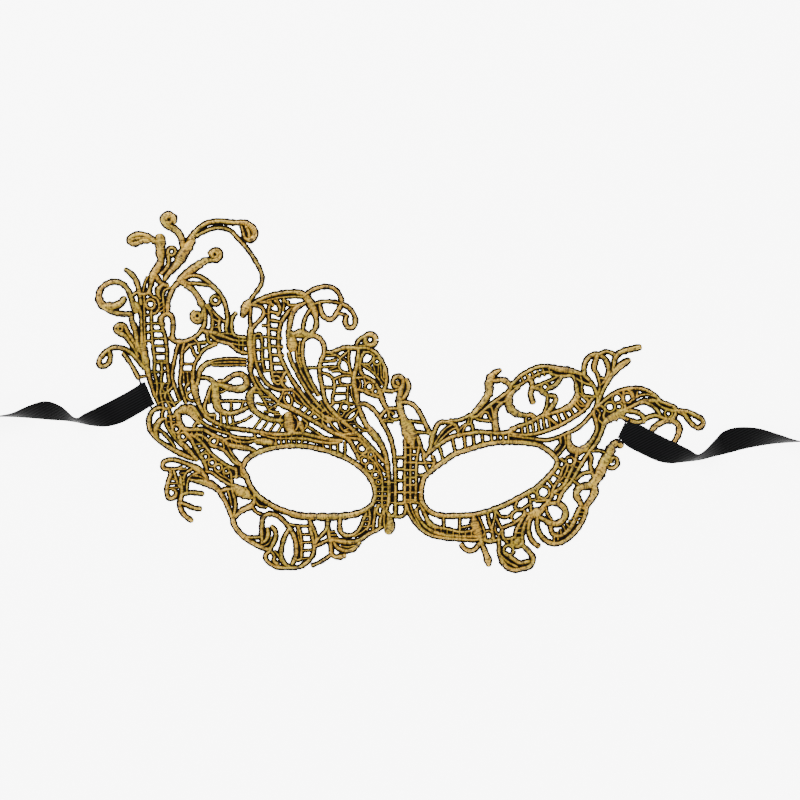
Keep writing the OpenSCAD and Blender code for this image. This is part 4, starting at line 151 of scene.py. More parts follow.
def black_satin():
    """Polyester satin ribbon: long floats of yarn in a tight weave, so a dark ground with a soft gloss.
    The real floats are 0.1 mm apart and are drawn 1 mm apart so that they show."""
    cloth = bpy.data.materials.new("black_satin_ribbon")
    cloth.use_nodes = True
    tree = cloth.node_tree
    gloss = tree.nodes["Principled BSDF"]
    place = add(tree, "ShaderNodeTexCoord")
    turned = add(tree, "ShaderNodeMapping", Vector=place.outputs["Object"], Rotation=(0, 0, math.radians(62)))
    floats = add(tree, "ShaderNodeTexWave", {"bands_direction": "X"}, Vector=turned.outputs[0], Scale=320.0)
    shade = add(tree, "ShaderNodeValToRGB", Fac=floats.outputs["Fac"])
    shade.color_ramp.elements[0].color = linear("0C0C0C")
    shade.color_ramp.elements[1].color = linear("1C1C1D")
    bump = add(tree, "ShaderNodeBump", Height=floats.outputs["Fac"], Strength=0.12, Distance=0.0001)
    tree.links.new(shade.outputs["Color"], gloss.inputs["Base Color"])
    tree.links.new(bump.outputs["Normal"], gloss.inputs["Normal"])
    gloss.inputs["Roughness"].default_value = 0.5
    gloss.inputs["IOR"].default_value = 1.04
    return cloth


satin = black_satin()


def ribbon_strip(name, edges, start, centre, hand):
    """A thin flat tube about a twisting line: run between the two edges, a straight lead, then a spiral.
    The spiral's radius falls by one pitch a turn. A row is eight points round the strip's section."""
    run = smooth_line(np.array(edges).reshape(-1, 6) * MM, 8)
    turn = np.radians(np.arange(0, roll_turn + 1, 6))
    radius = roll_radius - roll_pitch * turn / (2 * np.pi)
    roll = np.array(centre) * MM + np.stack([hand * radius * np.sin(turn), -radius * np.cos(turn)], -1)
    lead = np.linspace(np.array(start) * MM, roll[0], 10)[1:-1]
    flat = np.vstack([lead, roll])
    lower = np.column_stack([flat, np.full(len(flat), roll_base)])
    upper = np.column_stack([flat, np.full(len(flat), roll_base + ribbon_width)])
    lower, upper = np.vstack([run[:, :3], lower]), np.vstack([run[:, 3:], upper])
    upper[-1] += (lower[-2] - lower[-1]) * slant_cut
    across = upper - lower
    across /= np.linalg.norm(across, axis=1)[:, None]
    ahead = np.gradient((lower + upper) / 2, axis=0)
    out = np.cross(ahead, across)
    out *= ribbon_thickness / 2 / np.linalg.norm(out, axis=1)[:, None]
    share = np.array([0, 0.03, 0.5, 0.97, 1, 0.97, 0.5, 0.03])[None, :, None]
    face = np.array([0, 1, 1, 1, 0, -1, -1, -1])[None, :, None]
    grid = lower[:, None] + (upper - lower)[:, None] * share + out[:, None] * face
    caps = [grid.mean(axis=1)[k][None, None] + 0 * grid[:1] for k in (0, -1)]
    strip = surface(name, [np.concatenate([caps[0], grid, caps[1]])])
    return strip, (lower + upper) / 2


def settle(piece, finish, body, slot, *nodes):
    """Gives a piece its material and body, and makes it stand for its CAD nodes, which it hides. The slot
    argument is not used.
    """
    piece.data.materials.append(finish)
    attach(piece, body)
    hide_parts(*nodes)


def bar_axes(ends):
    """A bar's first end, its direction, the level direction square to it towards the lace, and its length."""
    first, last = np.array(ends) * MM
    reach = np.linalg.norm(last - first)
    way = (last - first) / reach
    return first, way, np.array([way[1], -way[0], 0]), reach


def around(side, turn):
    """Unit directions round an axis, one per angle: the cosine goes along side and the sine straight up."""
    return np.cos(turn)[None, :, None] * side + np.sin(turn)[None, :, None] * np.array([0, 0, 1])


def at_height(flat, height):
    """Points on the level given, from their places in plan."""
    return np.column_stack([flat, np.full(len(flat), height)])


def ribbon_loop(name, ends, covered, lip):
    """The folded ribbon: a sleeve round the bar, gathered in soft ridges.
    Its fold stands out by a lip towards the lace, as the square of the cosine of the angle from that side."""
    first, way, side, _ = bar_axes(ends)
    turn = np.linspace(0, 2 * np.pi, 32, endpoint=False)
    along = np.linspace(covered[0], covered[1], 28) * MM
    gather = sleeve_ridge * np.cos(along / ridge_spacing)[:, None]
    outer = sleeve_outer + gather + lip * np.maximum(np.cos(turn), 0) ** 2
    along = np.concatenate([along, along[::-1], along[:1]])
    radius = np.concatenate([outer, np.full(outer.shape, sleeve_inner), outer[:1]])
    middle = at_height(first + way * along[:, None], bar_height)
    return surface(name, [middle[:, None] + radius[..., None] * around(side, turn)])


def loop_stitches(name, ends, covered):
    """A row of short raised oval stitches along the loop, each a tube that swells as a half circle."""
    first, way, side, _ = bar_axes(ends)
    count = int((covered[1] - covered[0] - 2 * fold_margin) / fold_pitch)
    turn = np.linspace(0, 2 * np.pi, 8, endpoint=False)
    share = np.linspace(0, 1, 7)
    swell = stitch_swell * np.sqrt(np.maximum(1 - (2 * share - 1) ** 2, 0)) + 0.005 * MM
    beads = []
    for k in range(count):
        start = first + way * (covered[0] + fold_margin + fold_pitch * k) * MM - side[:2] * stitch_reach
        middle = at_height(start + way * (share[:, None] * stitch_length), stitch_height)
        beads.append(middle[:, None] + swell[:, None, None] * around(-side, turn)[:, ::-1])
    return surface(name, beads)


def satin_tie(side, bar, covered, lip, edges, start, centre, hand):
    """One tie's loop, stitches and free strip, all of satin on the ribbon's own body.
    Gives the strip, the points of its centre line, and the two other pieces."""
    body = side + "_ribbon"
    loop = ribbon_loop(side + "_tie_loop", bar, covered, lip)
    settle(loop, satin, body, "black_satin", body + "_loop")
    row = loop_stitches(side + "_tie_stitches", bar, covered)
    settle(row, satin, body, "black_satin", body + "_stitches")
    strip, path = ribbon_strip(side + "_tie", edges, start, centre, hand)
    settle(strip, satin, body, "black_satin", body + "_run", body + "_roll")
    return strip, path, [loop, row]


# ---------------------------------------------------------------- left tie ribbon
# The ribbon is folded round a short stitched bar at the crest's foot and sewn to itself.
# It is 0.38 m of limp satin, loop included; what isn't seen lies rolled on its edge.
left_bar = [[-101, 28], [-106.4, 40.4]]
left_covered = [1.6, 11.6]
left_run_edges = [
    [[-101.7, 29.4, 1.78], [-105.6, 38.6, 1.78]],
    [[-107, 26.2, 0.9], [-111, 35.3, 0.9]],
    [[-113.4, 22.8, 0.3], [-117.4, 31.9, 0.9]],
    [[-119.8, 21.3, 0.2], [-122.6, 29.1, 5.8]],
    [[-126, 21.8, 0.2], [-127.4, 26.7, 8.8]],
    [[-131, 23, 0.2], [-131.2, 24.9, 10]],
    [[-136, 23.6, 0.2], [-137, 29.6, 8.1]],
    [[-142, 24, 0.2], [-143.2, 31.6, 6.6]],
    [[-149, 24.6, 0.2], [-149.8, 29.8, 8.7]],
    [[-156, 25.2, 0.2], [-156.2, 26.8, 10]],
    [[-162, 25.4, 0.2], [-162, 25.6, 10.2]],
]
left_tie, left_path, left_fittings = satin_tie(
    "left", left_bar, left_covered, 0.9 * MM, left_run_edges, [-162, 25.5], [-190, 49.5], -1
)

# ---------------------------------------------------------------- right tie ribbon
# The same ribbon, looped between the wing and the satin scroll; it lies over the wing's lower cords.
# Past its fold it opens out flat and then stands up into its roll.
right_bar = [[89.9, 24.4], [85.2, 14.6]]
right_covered = [2, 8.9]
right_run_edges = [
    [[86.1, 16.4, 1.78], [89, 22.6, 1.78]],
    [[88.9, 13.4, 1.78], [93.7, 22.2, 1.78]],
    [[94.6, 10.4, 1.2], [99.4, 19.2, 1.8]],
    [[100.8, 7.6, 0.3], [105, 16.4, 2.7]],
    [[105.9, 6.6, 0.2], [109.6, 14.2, 5.5]],
    [[110.7, 7, 0.2], [113.4, 12.2, 8.3]],
    [[115.4, 7.6, 0.2], [116.6, 10.4, 9.7]],
    [[119.3, 8.2, 0.2], [120, 12.6, 9.1]],
    [[124, 9.4, 0.2], [123.6, 16.4, 7.3]],
    [[129.1, 10.6, 0.2], [127.2, 19.6, 4]],
    [[135, 12.2, 0.2], [133, 21.2, 4]],
    [[142, 13.6, 0.2], [140.8, 20.8, 7]],
    [[149, 14.6, 0.2], [148.6, 18.4, 9.4]],
    [[156, 15.2, 0.2], [155.9, 15.9, 10.1]],
    [[161, 15.4, 0.2], [161, 15.6, 10.2]],
]
right_tie, right_path, right_fittings = satin_tie(
    "right", right_bar, right_covered, 0.4 * MM, right_run_edges, [161, 15.5], [186, 39.5], 1
)


# ---------------------------------------------------------------- lace threads
# The lace is guipure: viscose-and-lurex gold thread satin-stitched over a dark cord ground,
# on a backing that is washed away. Each motif below is one patch of it, stitched into its neighbours.
# The dark ground shows by its edging on each side of a cord. Rows are the steps along it.
edging = 0.52 * MM
ground_height = 0.55 * MM
ground_spacing = 0.45 * MM
ground_ragged = 0.045
ground_step = 0.01 * MM
# The gold is a bead on the ground, a little narrower than its cord and higher where the cord is wide.
gold_spacing = 0.24 * MM
gold_ragged = 0.07
gold_foot = 0.35 * MM
gold_underside = 0.3 * MM
gold_step = 0.015 * MM
bare_edge = 0.2 * MM
bare_share = 0.18
dome_least = 0.4 * MM
dome_rise = 0.22
dome_most = 0.95 * MM
# Stitches lean across the cord by a share of their pitch, and their ridges lift a tenth of the dome.
stitch_pitch = 0.8 * MM
stitch_lean = 0.35
stitch_stray = 0.05
ridge_share = 0.1
# The tone drifts over 2 mm, and about one row in eight is a darker join.
drift_length = 2 * MM
join_chance = 0.13
join_loss = 0.4
tone_stray = 0.08
# The tone's share from its floor, the stitch ridges (a painted highlight on each ridge, painted shade in the
# grooves), the drift and the crown of the bead (a painted highlight on its top, painted shade at its sides).
tone_floor = 0.22
ridge_painted_shading = 0.2
tone_drift = 0.36
crown_painted_highlight = 0.26
# A cord's width wavers by a twentieth with its place on the mask, and as much again along its length.
waver = 0.05
waver_across = 1300
waver_up = 1700
waver_mix = 0.4
waver_length = 0.5 * MM
# A cord whose ends are nearer than this is a closed ring.
ring_gap = 0.05 * MM
# Gold is stitched only on cords at least this wide.
thinnest_gold = 0.45 * MM
thread_seed = np.random.default_rng(11)


def gold_thread():
    """Metallic embroidery thread: foil round a yarn, with a real metallic gloss. The glint on each stitch is
    partly a painted highlight and the olive-brown grooves are painted shade, both carried in the tone.
    Real stitches are 0.3 mm apart and are drawn 0.8 mm apart so that they show."""
    gold = bpy.data.materials.new("gold_lurex_satin_stitch")
    gold.use_nodes = True
    tree = gold.node_tree
    sheen = tree.nodes["Principled BSDF"]
    tone = add(tree, "ShaderNodeAttribute", {"attribute_name": "tone"})
    place = add(tree, "ShaderNodeTexCoord")
    patches = add(tree, "ShaderNodeTexNoise", Vector=place.outputs["Object"], Scale=95.0, Detail=3.0)
    flecks = add(tree, "ShaderNodeTexNoise", Vector=place.outputs["Object"], Scale=900.0, Detail=2.0)
    # The ramp turns the tone into colour: dark joins and the painted shade of grooves and bead sides at its
    # dark end, the painted highlight of ridges and crown at its light end.
    shade = add(tree, "ShaderNodeValToRGB", Fac=tone.outputs["Fac"])
    ramp = shade.color_ramp
    ramp.elements[0].position, ramp.elements[0].color = 0.05, linear("120E06")
    ramp.elements[1].position, ramp.elements[1].color = 0.95, linear("F0CE5C")
    ramp.elements.new(0.35).color = linear("806A28")
    ramp.elements.new(0.65).color = linear("CCA63A")
    specks = add(tree, "ShaderNodeValToRGB", Fac=flecks.outputs["Fac"])
    specks.color_ramp.elements[0].position, specks.color_ramp.elements[0].color = 0.36, linear("3C3020")
    specks.color_ramp.elements[1].position, specks.color_ramp.elements[1].color = 0.5, linear("FFFFFF")
    hue = add(tree, "ShaderNodeValToRGB", Fac=patches.outputs["Fac"])
    tints = hue.color_ramp
    tints.elements[0].position, tints.elements[0].color = 0.38, linear("CFD28E")
    tints.elements[1].position, tints.elements[1].color = 0.62, linear("F6DEA4")
    tints.elements.new(0.5).color = linear("EFE4BC")
    mixed = add(
        tree,
        "ShaderNodeMix",
        {"data_type": "RGBA", "blend_type": "MULTIPLY"},
        i0=0.75,
        i6=shade.outputs["Color"],
        i7=hue.outputs["Color"],
    )
    flecked = add(
        tree,
        "ShaderNodeMix",
        {"data_type": "RGBA", "blend_type": "MULTIPLY"},
        i0=0.85,
        i6=mixed.outputs[2],
        i7=specks.outputs["Color"],
    )
    bump = add(tree, "ShaderNodeBump", Height=flecks.outputs["Fac"], Strength=0.35, Distance=0.0001)
    tree.links.new(flecked.outputs[2], sheen.inputs["Base Color"])
    tree.links.new(bump.outputs["Normal"], sheen.inputs["Normal"])
    sheen.inputs["Metallic"].default_value = 0.35
    sheen.inputs["Roughness"].default_value = 0.45
    return gold


def dark_thread():
    """Dark brown-black viscose cord, matt, with a slightly lighter fuzz on its high fibres."""
    dark = bpy.data.materials.new("dark_viscose_ground")
    dark.use_nodes = True
    tree = dark.node_tree
    matt = tree.nodes["Principled BSDF"]
    place = add(tree, "ShaderNodeTexCoord")
    fuzz = add(tree, "ShaderNodeTexNoise", Vector=place.outputs["Object"], Scale=1100.0, Detail=3.0)
    shade = add(tree, "ShaderNodeValToRGB", Fac=fuzz.outputs["Fac"])
    shade.color_ramp.elements[0].position, shade.color_ramp.elements[0].color = 0.4, linear("060403")
    shade.color_ramp.elements[1].position, shade.color_ramp.elements[1].color = 0.75, linear("241A10")
    bump = add(tree, "ShaderNodeBump", Height=fuzz.outputs["Fac"], Strength=0.5, Distance=0.0002)
    tree.links.new(shade.outputs["Color"], matt.inputs["Base Color"])
    tree.links.new(bump.outputs["Normal"], matt.inputs["Normal"])
    matt.inputs["Roughness"].default_value = 0.9
    matt.inputs["Specular IOR Level"].default_value = 0.1
    return dark


gold_stitch = gold_thread()
dark_ground = dark_thread()


def stitched_paths(cords):
    """Every cord as rows of (x, y, width) in metres.
    Rungs are spread evenly between their two sides, rings are circles and the rest are smooth lines."""
    for cord in cords:
        if not isinstance(cord[1], list):
            for share in np.linspace(0, 1, cord[1]):
                ends = [np.add(cord[k], share * np.subtract(cord[k + 1], cord[k])) for k in (2, 4)]
                yield np.array([[*end, cord[0]] for end in ends]) * MM
        elif not isinstance(cord[2], list):
            turn = np.linspace(0, 2 * np.pi, 40)
            circle = np.stack([np.cos(turn), np.sin(turn)], -1) * cord[2] + cord[1]
            yield np.column_stack([circle, np.full(len(turn), cord[0])]) * MM
        else:
            chosen = np.array([[*point, cord[0]][:3] for point in cord[1:]])
            yield smooth_line(chosen, 8) * MM


def even_rows(path, spacing, closed):
    """The path with evenly spaced rows, and the distance along it of each.
    Open ends reach on by half the cord's width."""
    if not closed:
        for end, near in ((0, 1), (-1, -2)):
            away = path[end] - path[near]
            tip = path[end] + away / (np.linalg.norm(away[:2]) + 1e-9) * path[end][2] / 2
            tip[2] = path[end][2]
            path = np.vstack([tip, path] if end == 0 else [path, tip])
    reach = np.concatenate([[0], np.cumsum(np.linalg.norm(np.diff(path[:, :2], axis=0), axis=1))])
    count = max(int(reach[-1] / spacing), 4) + 1
    along = np.linspace(0, reach[-1], count)
    return np.column_stack([np.interp(along, reach, path[:, k]) for k in range(3)]), along


def round_ends(rows, along, closed):
    """How full a cord is at each row: 1 along it, falling as a half circle over half a width at each end."""
    if closed:
        return np.ones(len(rows))
    reach = np.minimum(along, along[-1] - along)
    return np.sqrt(1 - (1 - np.clip(reach / (rows[:, 2] / 2), 0.06, 1)) ** 2)


def wobble(rows, along):
    """How much wider or narrower than planned a cord comes out, in waves a few millimetres long."""
    place = rows[:, 0] * waver_across + rows[:, 1] * waver_up
    return 1 + waver * np.sin(place) + waver * np.sin(along / waver_length + place * waver_mix)


def laid_rows(path, spacing, closed):
    """The path's even rows, the distance along it of each, its level sideways direction and its fullness."""
    rows, along = even_rows(path, spacing, closed)
    ahead = np.gradient(rows[:, :2], axis=0)
    ahead /= np.linalg.norm(ahead, axis=1)[:, None] + 1e-9
    return rows, along, np.stack([-ahead[:, 1], ahead[:, 0]], -1), round_ends(rows, along, closed)


def ground_tube(path, closed, layer):
    """The dark cord under the gold, and its greatest width before the edging.
    It is flat on top and steep at the sides, and its width is ragged from row to row.
    Neighbouring cords differ in height by a hundredth of a millimetre, so that no two tops coincide."""
    rows, along, side, full = laid_rows(path, ground_spacing, closed)
    ragged = 1 + thread_seed.normal(0, ground_ragged, len(rows))
    half = (rows[:, 2] / 2 + edging) * full * ragged * wobble(rows, along)
    across = np.array([1, 1.0, 0.8, 0, -0.8, -1.0, -1, 0])
    up = np.array([0, 0.6, 1, 1, 1, 0.6, 0, 0])
    flat = rows[:, None, :2] + side[:, None] * (half[:, None] * across)[..., None]
    height = (ground_height + ground_step * (layer % 5)) * up[None] * np.ones((len(rows), 1))
    return np.concatenate([flat, height[..., None]], -1)[:, ::-1], rows[:, 2].max()


def gold_tube(path, closed, layer):
    """The satin-stitched bead: a half ellipse over the ground, higher where the cord is wider.
    A cosine of the distance along the cord, shifted across it, raises a ridge at each slanted stitch.
    The tone has a painted highlight on the ridges and on the crown and painted shade in the grooves and at
    the bead's sides; it also drifts along the cord and drops at odd dark joins."""
    rows, along, side, full = laid_rows(path, gold_spacing, closed)
    turn = np.linspace(0, np.pi, 9)
    slant = along[:, None] / stitch_pitch + stitch_lean * np.cos(turn)[None]
    slant = slant + thread_seed.normal(0, stitch_stray, (len(rows), 1))
    ridge = 0.5 + 0.5 * np.cos(2 * np.pi * slant)
    marks = np.arange(0, along[-1] + 2 * drift_length, drift_length)
    drift = np.interp(along, marks, thread_seed.random(len(marks)))
    joins = np.where(thread_seed.random(len(rows)) < join_chance, join_loss, 0)[:, None]
    bare = np.minimum(bare_edge, bare_share * rows[:, 2])
    ragged = 1 + thread_seed.normal(0, gold_ragged, len(rows))
    half = (rows[:, 2] / 2 - bare) * full * wobble(rows, along) * ragged
    dome = np.minimum(dome_least + dome_rise * rows[:, 2], dome_most) * full
    wide = half[:, None] * np.cos(turn)
    lift = np.sin(turn) * (1 - ridge_share + ridge_share * ridge)
    high = gold_foot + dome[:, None] * lift + gold_step * (layer % 4)
    flat = rows[:, None, :2] + side[:, None] * wide[..., None]
    over = np.concatenate([flat, high[..., None]], -1)
    under = np.concatenate([rows[:, None, :2], np.full((len(rows), 1, 1), gold_underside)], -1)
    # Painted light: the ridge term lightens each stitch ridge and darkens the grooves, and the crown term
    # lightens the bead's top and leaves its sides dark. The drift, joins and stray are the thread's own tone.
    tone = tone_floor + ridge_painted_shading * ridge + tone_drift * drift[:, None] + crown_painted_highlight * np.sin(turn) - joins
    tone += thread_seed.normal(0, tone_stray, ridge.shape)
    # The closing row under the bead gets tone 0, painted shade under it; it lies inside the dark ground.
    tone = np.concatenate([tone, np.zeros((len(rows), 1))], 1)[:, ::-1].ravel()
    return np.concatenate([over, under], 1)[:, ::-1], tone


def embroider(motif, cords):
    """A motif's gold beads and the dark ground under them, as two pieces.
    A list is [width, [x, y], [x, y, width], ...] for a cord, [width, [x, y], radius] for a ring, and
    [width, count, ...] for rungs between two sides, each side given by its two ends."""
    beads, tones, grounds = [], [], []
    for layer, path in enumerate(stitched_paths(cords)):
        closed = np.linalg.norm(path[0, :2] - path[-1, :2]) < ring_gap
        ground, widest = ground_tube(path, closed, layer)
        grounds.append(ground)
        if widest >= thinnest_gold:
            bead, tone = gold_tube(path, closed, layer)
            beads.append(bead)
            tones.append(tone)
    gold = surface(motif + "_gold", beads, tones)
    settle(gold, gold_stitch, "lace", "gold_thread", motif)
    dark = surface(motif + "_ground", grounds)
    settle(dark, dark_ground, "lace", "dark_thread", motif)


# ---------------------------------------------------------------- tie bars
# Two short bars of dark cord wound with thread, stitched across a gap at each temple.
# The ribbons are folded round them and turn on them freely.
bar_radius = 0.46 * MM
winding_height = 0.04 * MM
# The thread goes on by this for each radian round the bar, so its turns are 0.75 mm apart.
winding_step = 0.12 * MM


def tie_bar(name, ends):
    """A tube along the bar, its radius rising and falling round a slanted line, like wound thread."""
    first, way, side, reach = bar_axes(ends)
    along = np.linspace(0, reach, 60)
    turn = np.linspace(0, 2 * np.pi, 12, endpoint=False)
    radius = bar_radius + winding_height * np.cos(turn[None] + along[:, None] / winding_step)
    radius[[0, -1]] = 0.01 * MM
    middle = at_height(first + way * along[:, None], bar_height)
    tube = middle[:, None] + radius[..., None] * around(side, turn)
    return surface(name, [tube[:, ::-1]])


settle(tie_bar("left_tie_bar_cord", left_bar), dark_ground, "lace", "dark_thread", "left_tie_bar")
settle(tie_bar("right_tie_bar_cord", right_bar), dark_ground, "lace", "dark_thread", "right_tie_bar")


# ---------------------------------------------------------------- lace motifs
# The lace in 39 patches, each a set of cords in millimetres, from the crest over to the right cheek.
# Every patch overlaps its neighbours, and the real one is stitched into them there.

# Crest tendrils: satin-stitched stems that fan out of the top of the crest and end in knobs.
embroider("crest_tendrils", [
    [1.8, [-94.5,104.1], 1.2],
    [1.8, [-109,96.2], [-106.6,96.6], [-104,96.8]],
    [2.4, [-88.9,93.5,2], [-89.2,96.2], [-90.4,98.6], [-92.4,100.5], [-95,101.8], [-96.6,103.6],
     [-96,105.6], [-94.2,106], [-92.7,104.8], [-92.3,103,1.6]],
    [2, [-100.2,95.6], [-102.4,97.1], [-104.8,98], [-107.4,98.1], [-109.4,97.2], [-110,95.8], [-109,94.6],
     [-107.2,94.8], [-105,95.8], [-102.6,95.8]],
    [2.8, [-98,96.6,4], [-97.8,92,3.6], [-97.6,88], [-98.6,85.3], [-100.2,82.8,3.2], [-101.2,80.4,2.4],
     [-101.7,77.8,1.6], [-102.4,75.4,1.6]],
    [0.8, [-102.9,81.2], [-103.9,79], [-104.5,76.4], [-104.8,74.8]],
    [1.8, [-99.6,81.6], [-98.4,79.6], [-97,78.4], [-95.2,77.8]],
    [1.3, [-93.3,91.4], 1.5],
    [1.5, [-95,90.6], [-94.5,88.4], [-94.7,86], [-96,84], [-97.4,82.6]],
    [2.6, [-85.4,95.6,3.2], [-87.6,92.4,4], [-89.4,89.6,4.4], [-90.8,87,3.4], [-92.8,84.6], [-94.8,82.4,2],
     [-96,80.4,1.6]],
])

# Arch tendril: two cords that leave the crest's top and arch over towards the plume.
embroider("arch_tendril", [
    [1.6, [-63.4,101], [-62.5,99.2], [-62.3,97.4]],
    [1.8, [-85.6,96.2,3], [-84.2,98.6,2.2], [-82,100.9], [-79.4,102.6], [-76.4,103.3], [-73,103.4],
     [-69.6,103], [-66.4,102.9], [-63.8,102.6,2.4], [-61.5,101.2,2.6], [-60.2,99,2.6], [-60.8,96.9,2.4],
     [-62.6,96.1,2.2], [-64.2,97.2,1.6], [-64.7,99.2,1.2], [-65.4,101.4,1.2]],
    [1.3, [-83.6,97.6], [-81,99], [-78,100.3], [-75,100.9], [-72,100.6], [-69.6,99.6], [-68,98],
     [-66.4,96.2], [-64.8,94.6], [-63,92.4], [-61.2,89.9], [-59.6,87.2], [-58,84.3], [-57.1,81.2],
     [-57.5,78.4], [-58.9,76], [-60.6,73.7], [-62,71.6]],
    [3, [-62,71.8,1.6], [-63.3,69.6,3.6], [-64.2,67.4,3.2], [-65,65.4,1.4]],
])

# Side curl: the round hook and its short stem on the crest's outer side.
embroider("crest_side_curl", [
    [1.8, [-112.2,72.8], [-113.6,70.8,2.4], [-116,69.6,3], [-118.6,69.2,3.4], [-120.9,70,3],
     [-122.2,72,2.6], [-122.3,74.6,2.2], [-121.1,77], [-118.6,78.8], [-115.6,79.3], [-112.8,78.3],
     [-110.8,76], [-109.5,73], [-108.6,70.2,2.2], [-107.6,67.6,2.4]],
    [1.8, [-118.6,67.9], [-115.6,66.9], [-112.6,66.4], [-109.8,66.2], [-109.3,64], [-108.7,62]],
    [1.8, [-112,84.3,1], [-110,82.9], [-108.2,80.9], [-107,78.4], [-106.4,75.8], [-105.9,73.4],
     [-105.6,70.8]],
    [1.2, [-106.4,74.8], [-107.6,74.8], [-109,73.8]],
])

# Crest hooks: the pointed loop and the hanging hook below the side curl.
embroider("crest_hooks", [
    [1.2, [-113.9,60.5], 0.9],
    [1.5, [-106.8,51.8], [-108.2,54.6], [-109.8,57.4,1.8], [-111.2,59.6], [-112,61.4], [-113.8,62.2],
     [-115.6,61.2], [-115.4,59.6], [-113.6,58.6,1.8], [-111.8,57.6,1.8], [-110.2,55.4], [-108.4,52.6],
     [-106.9,49.8]],
    [1.7, [-104.2,44.8], [-106.4,47.6], [-108.6,50], [-111,51.8], [-113.6,52.8], [-116.4,53,1.5],
     [-118.8,52,1.5], [-120.8,50], [-122.2,48], [-122,46], [-120.2,45.6], [-118.4,47,1.7], [-117.9,49.2],
     [-118.4,51.4]],
    [1.3, [-112.6,50.6], [-110.8,48.2], [-109,45.4], [-107.6,42.8], [-106.4,40.6]],
    [0.6, [-106.6,41], [-105,41.4], [-103,41.6]],
])

# Crest spine: the swelling rail that carries the crest, with its rungs and inner rails.
embroider("crest_spine", [
    [2.4, [-107.4,70.2], [-106.4,68.4,2], [-105.6,66.4,1.4], [-105.4,63,1.2], [-105.3,59.6,1.4],
     [-105.2,56.4,2], [-105,53.4,3], [-104.4,50.4,3.2], [-103.7,47.4,2.8], [-103,44.4,2.2],
     [-102.4,41.6,1.8], [-101.6,38.8,1.6], [-100.8,36.2,1.4], [-100,33.6,1.6]],
    [1.1, [-104.2,68.2], [-104.2,64], [-104.1,60], [-104,56.6], [-103.8,54]],
    [1.8, [-108.7,62.4], [-108,60.4,2.2], [-107.5,58,2], [-107.2,55.6], [-106.8,53.4], [-106,51.4,1.4]],
    [1.1, [-101.4,67.4], [-101.4,62.4], [-101.2,58], [-101,54.4]],
    [0.75, 4, [-104.2,65.8], [-104,55.6], [-101.4,66.2], [-101,55.8]],
    [1.3, [-97.2,60.8], [-96.2,58.4], [-95.6,55], [-95.2,51.4], [-95.2,48], [-94.8,44.6], [-94.6,41.6],
     [-94.2,39]],
    [0.75, 6, [-101.2,62.6], [-100.4,47.6], [-96.8,62.6], [-95.4,47.6]],
    [1.2, [-100.8,53.8], [-100.3,50.4], [-100.1,47], [-100.2,43.4], [-99.4,40], [-99,36.6], [-99.4,33.4],
     [-98.6,30.6]],
    [2.2, [-97,61.8], [-97.7,63.6], [-97,65.6,2], [-95.2,66.5,1.7], [-93.5,65.6,1.6], [-92.8,63.4,1.6],
     [-92.8,60.4,1.5], [-93,57.4,1.5], [-92.4,56,1.5]],
    [1.3, [-101.8,70.3], 1.9],
    [1.6, [-105.8,74.5], [-104,74.4], [-102.4,74.8], [-101,73.4,1.2], [-99.2,72.6,1.2], [-98.4,70.6,1.2],
     [-98.4,68.6,1.2], [-99.8,66.8,1.2], [-101.6,66.6,1.2]],
    [1.1, [-104.4,73.6], [-104.2,70.8], [-104.4,68.2]],
    [1.8, [-97.2,77.8], [-98.6,76.2,2.2], [-98.8,74.4], [-98,72.8,1.2]],
    [1.1, [-94.2,76.8], [-96,76], [-96.8,74.4], [-96.7,72], [-96.4,69.6], [-96.4,67.2]],
    [1.8, [-88.4,79.4], [-90.6,78.8], [-92.4,77.2], [-93.6,75], [-94.6,72.4], [-95,69.6], [-95,66.8]],
    [0.6, 3, [-98.4,70.4], [-98.2,67.2], [-96.6,71.4], [-96.4,68.2]],
])

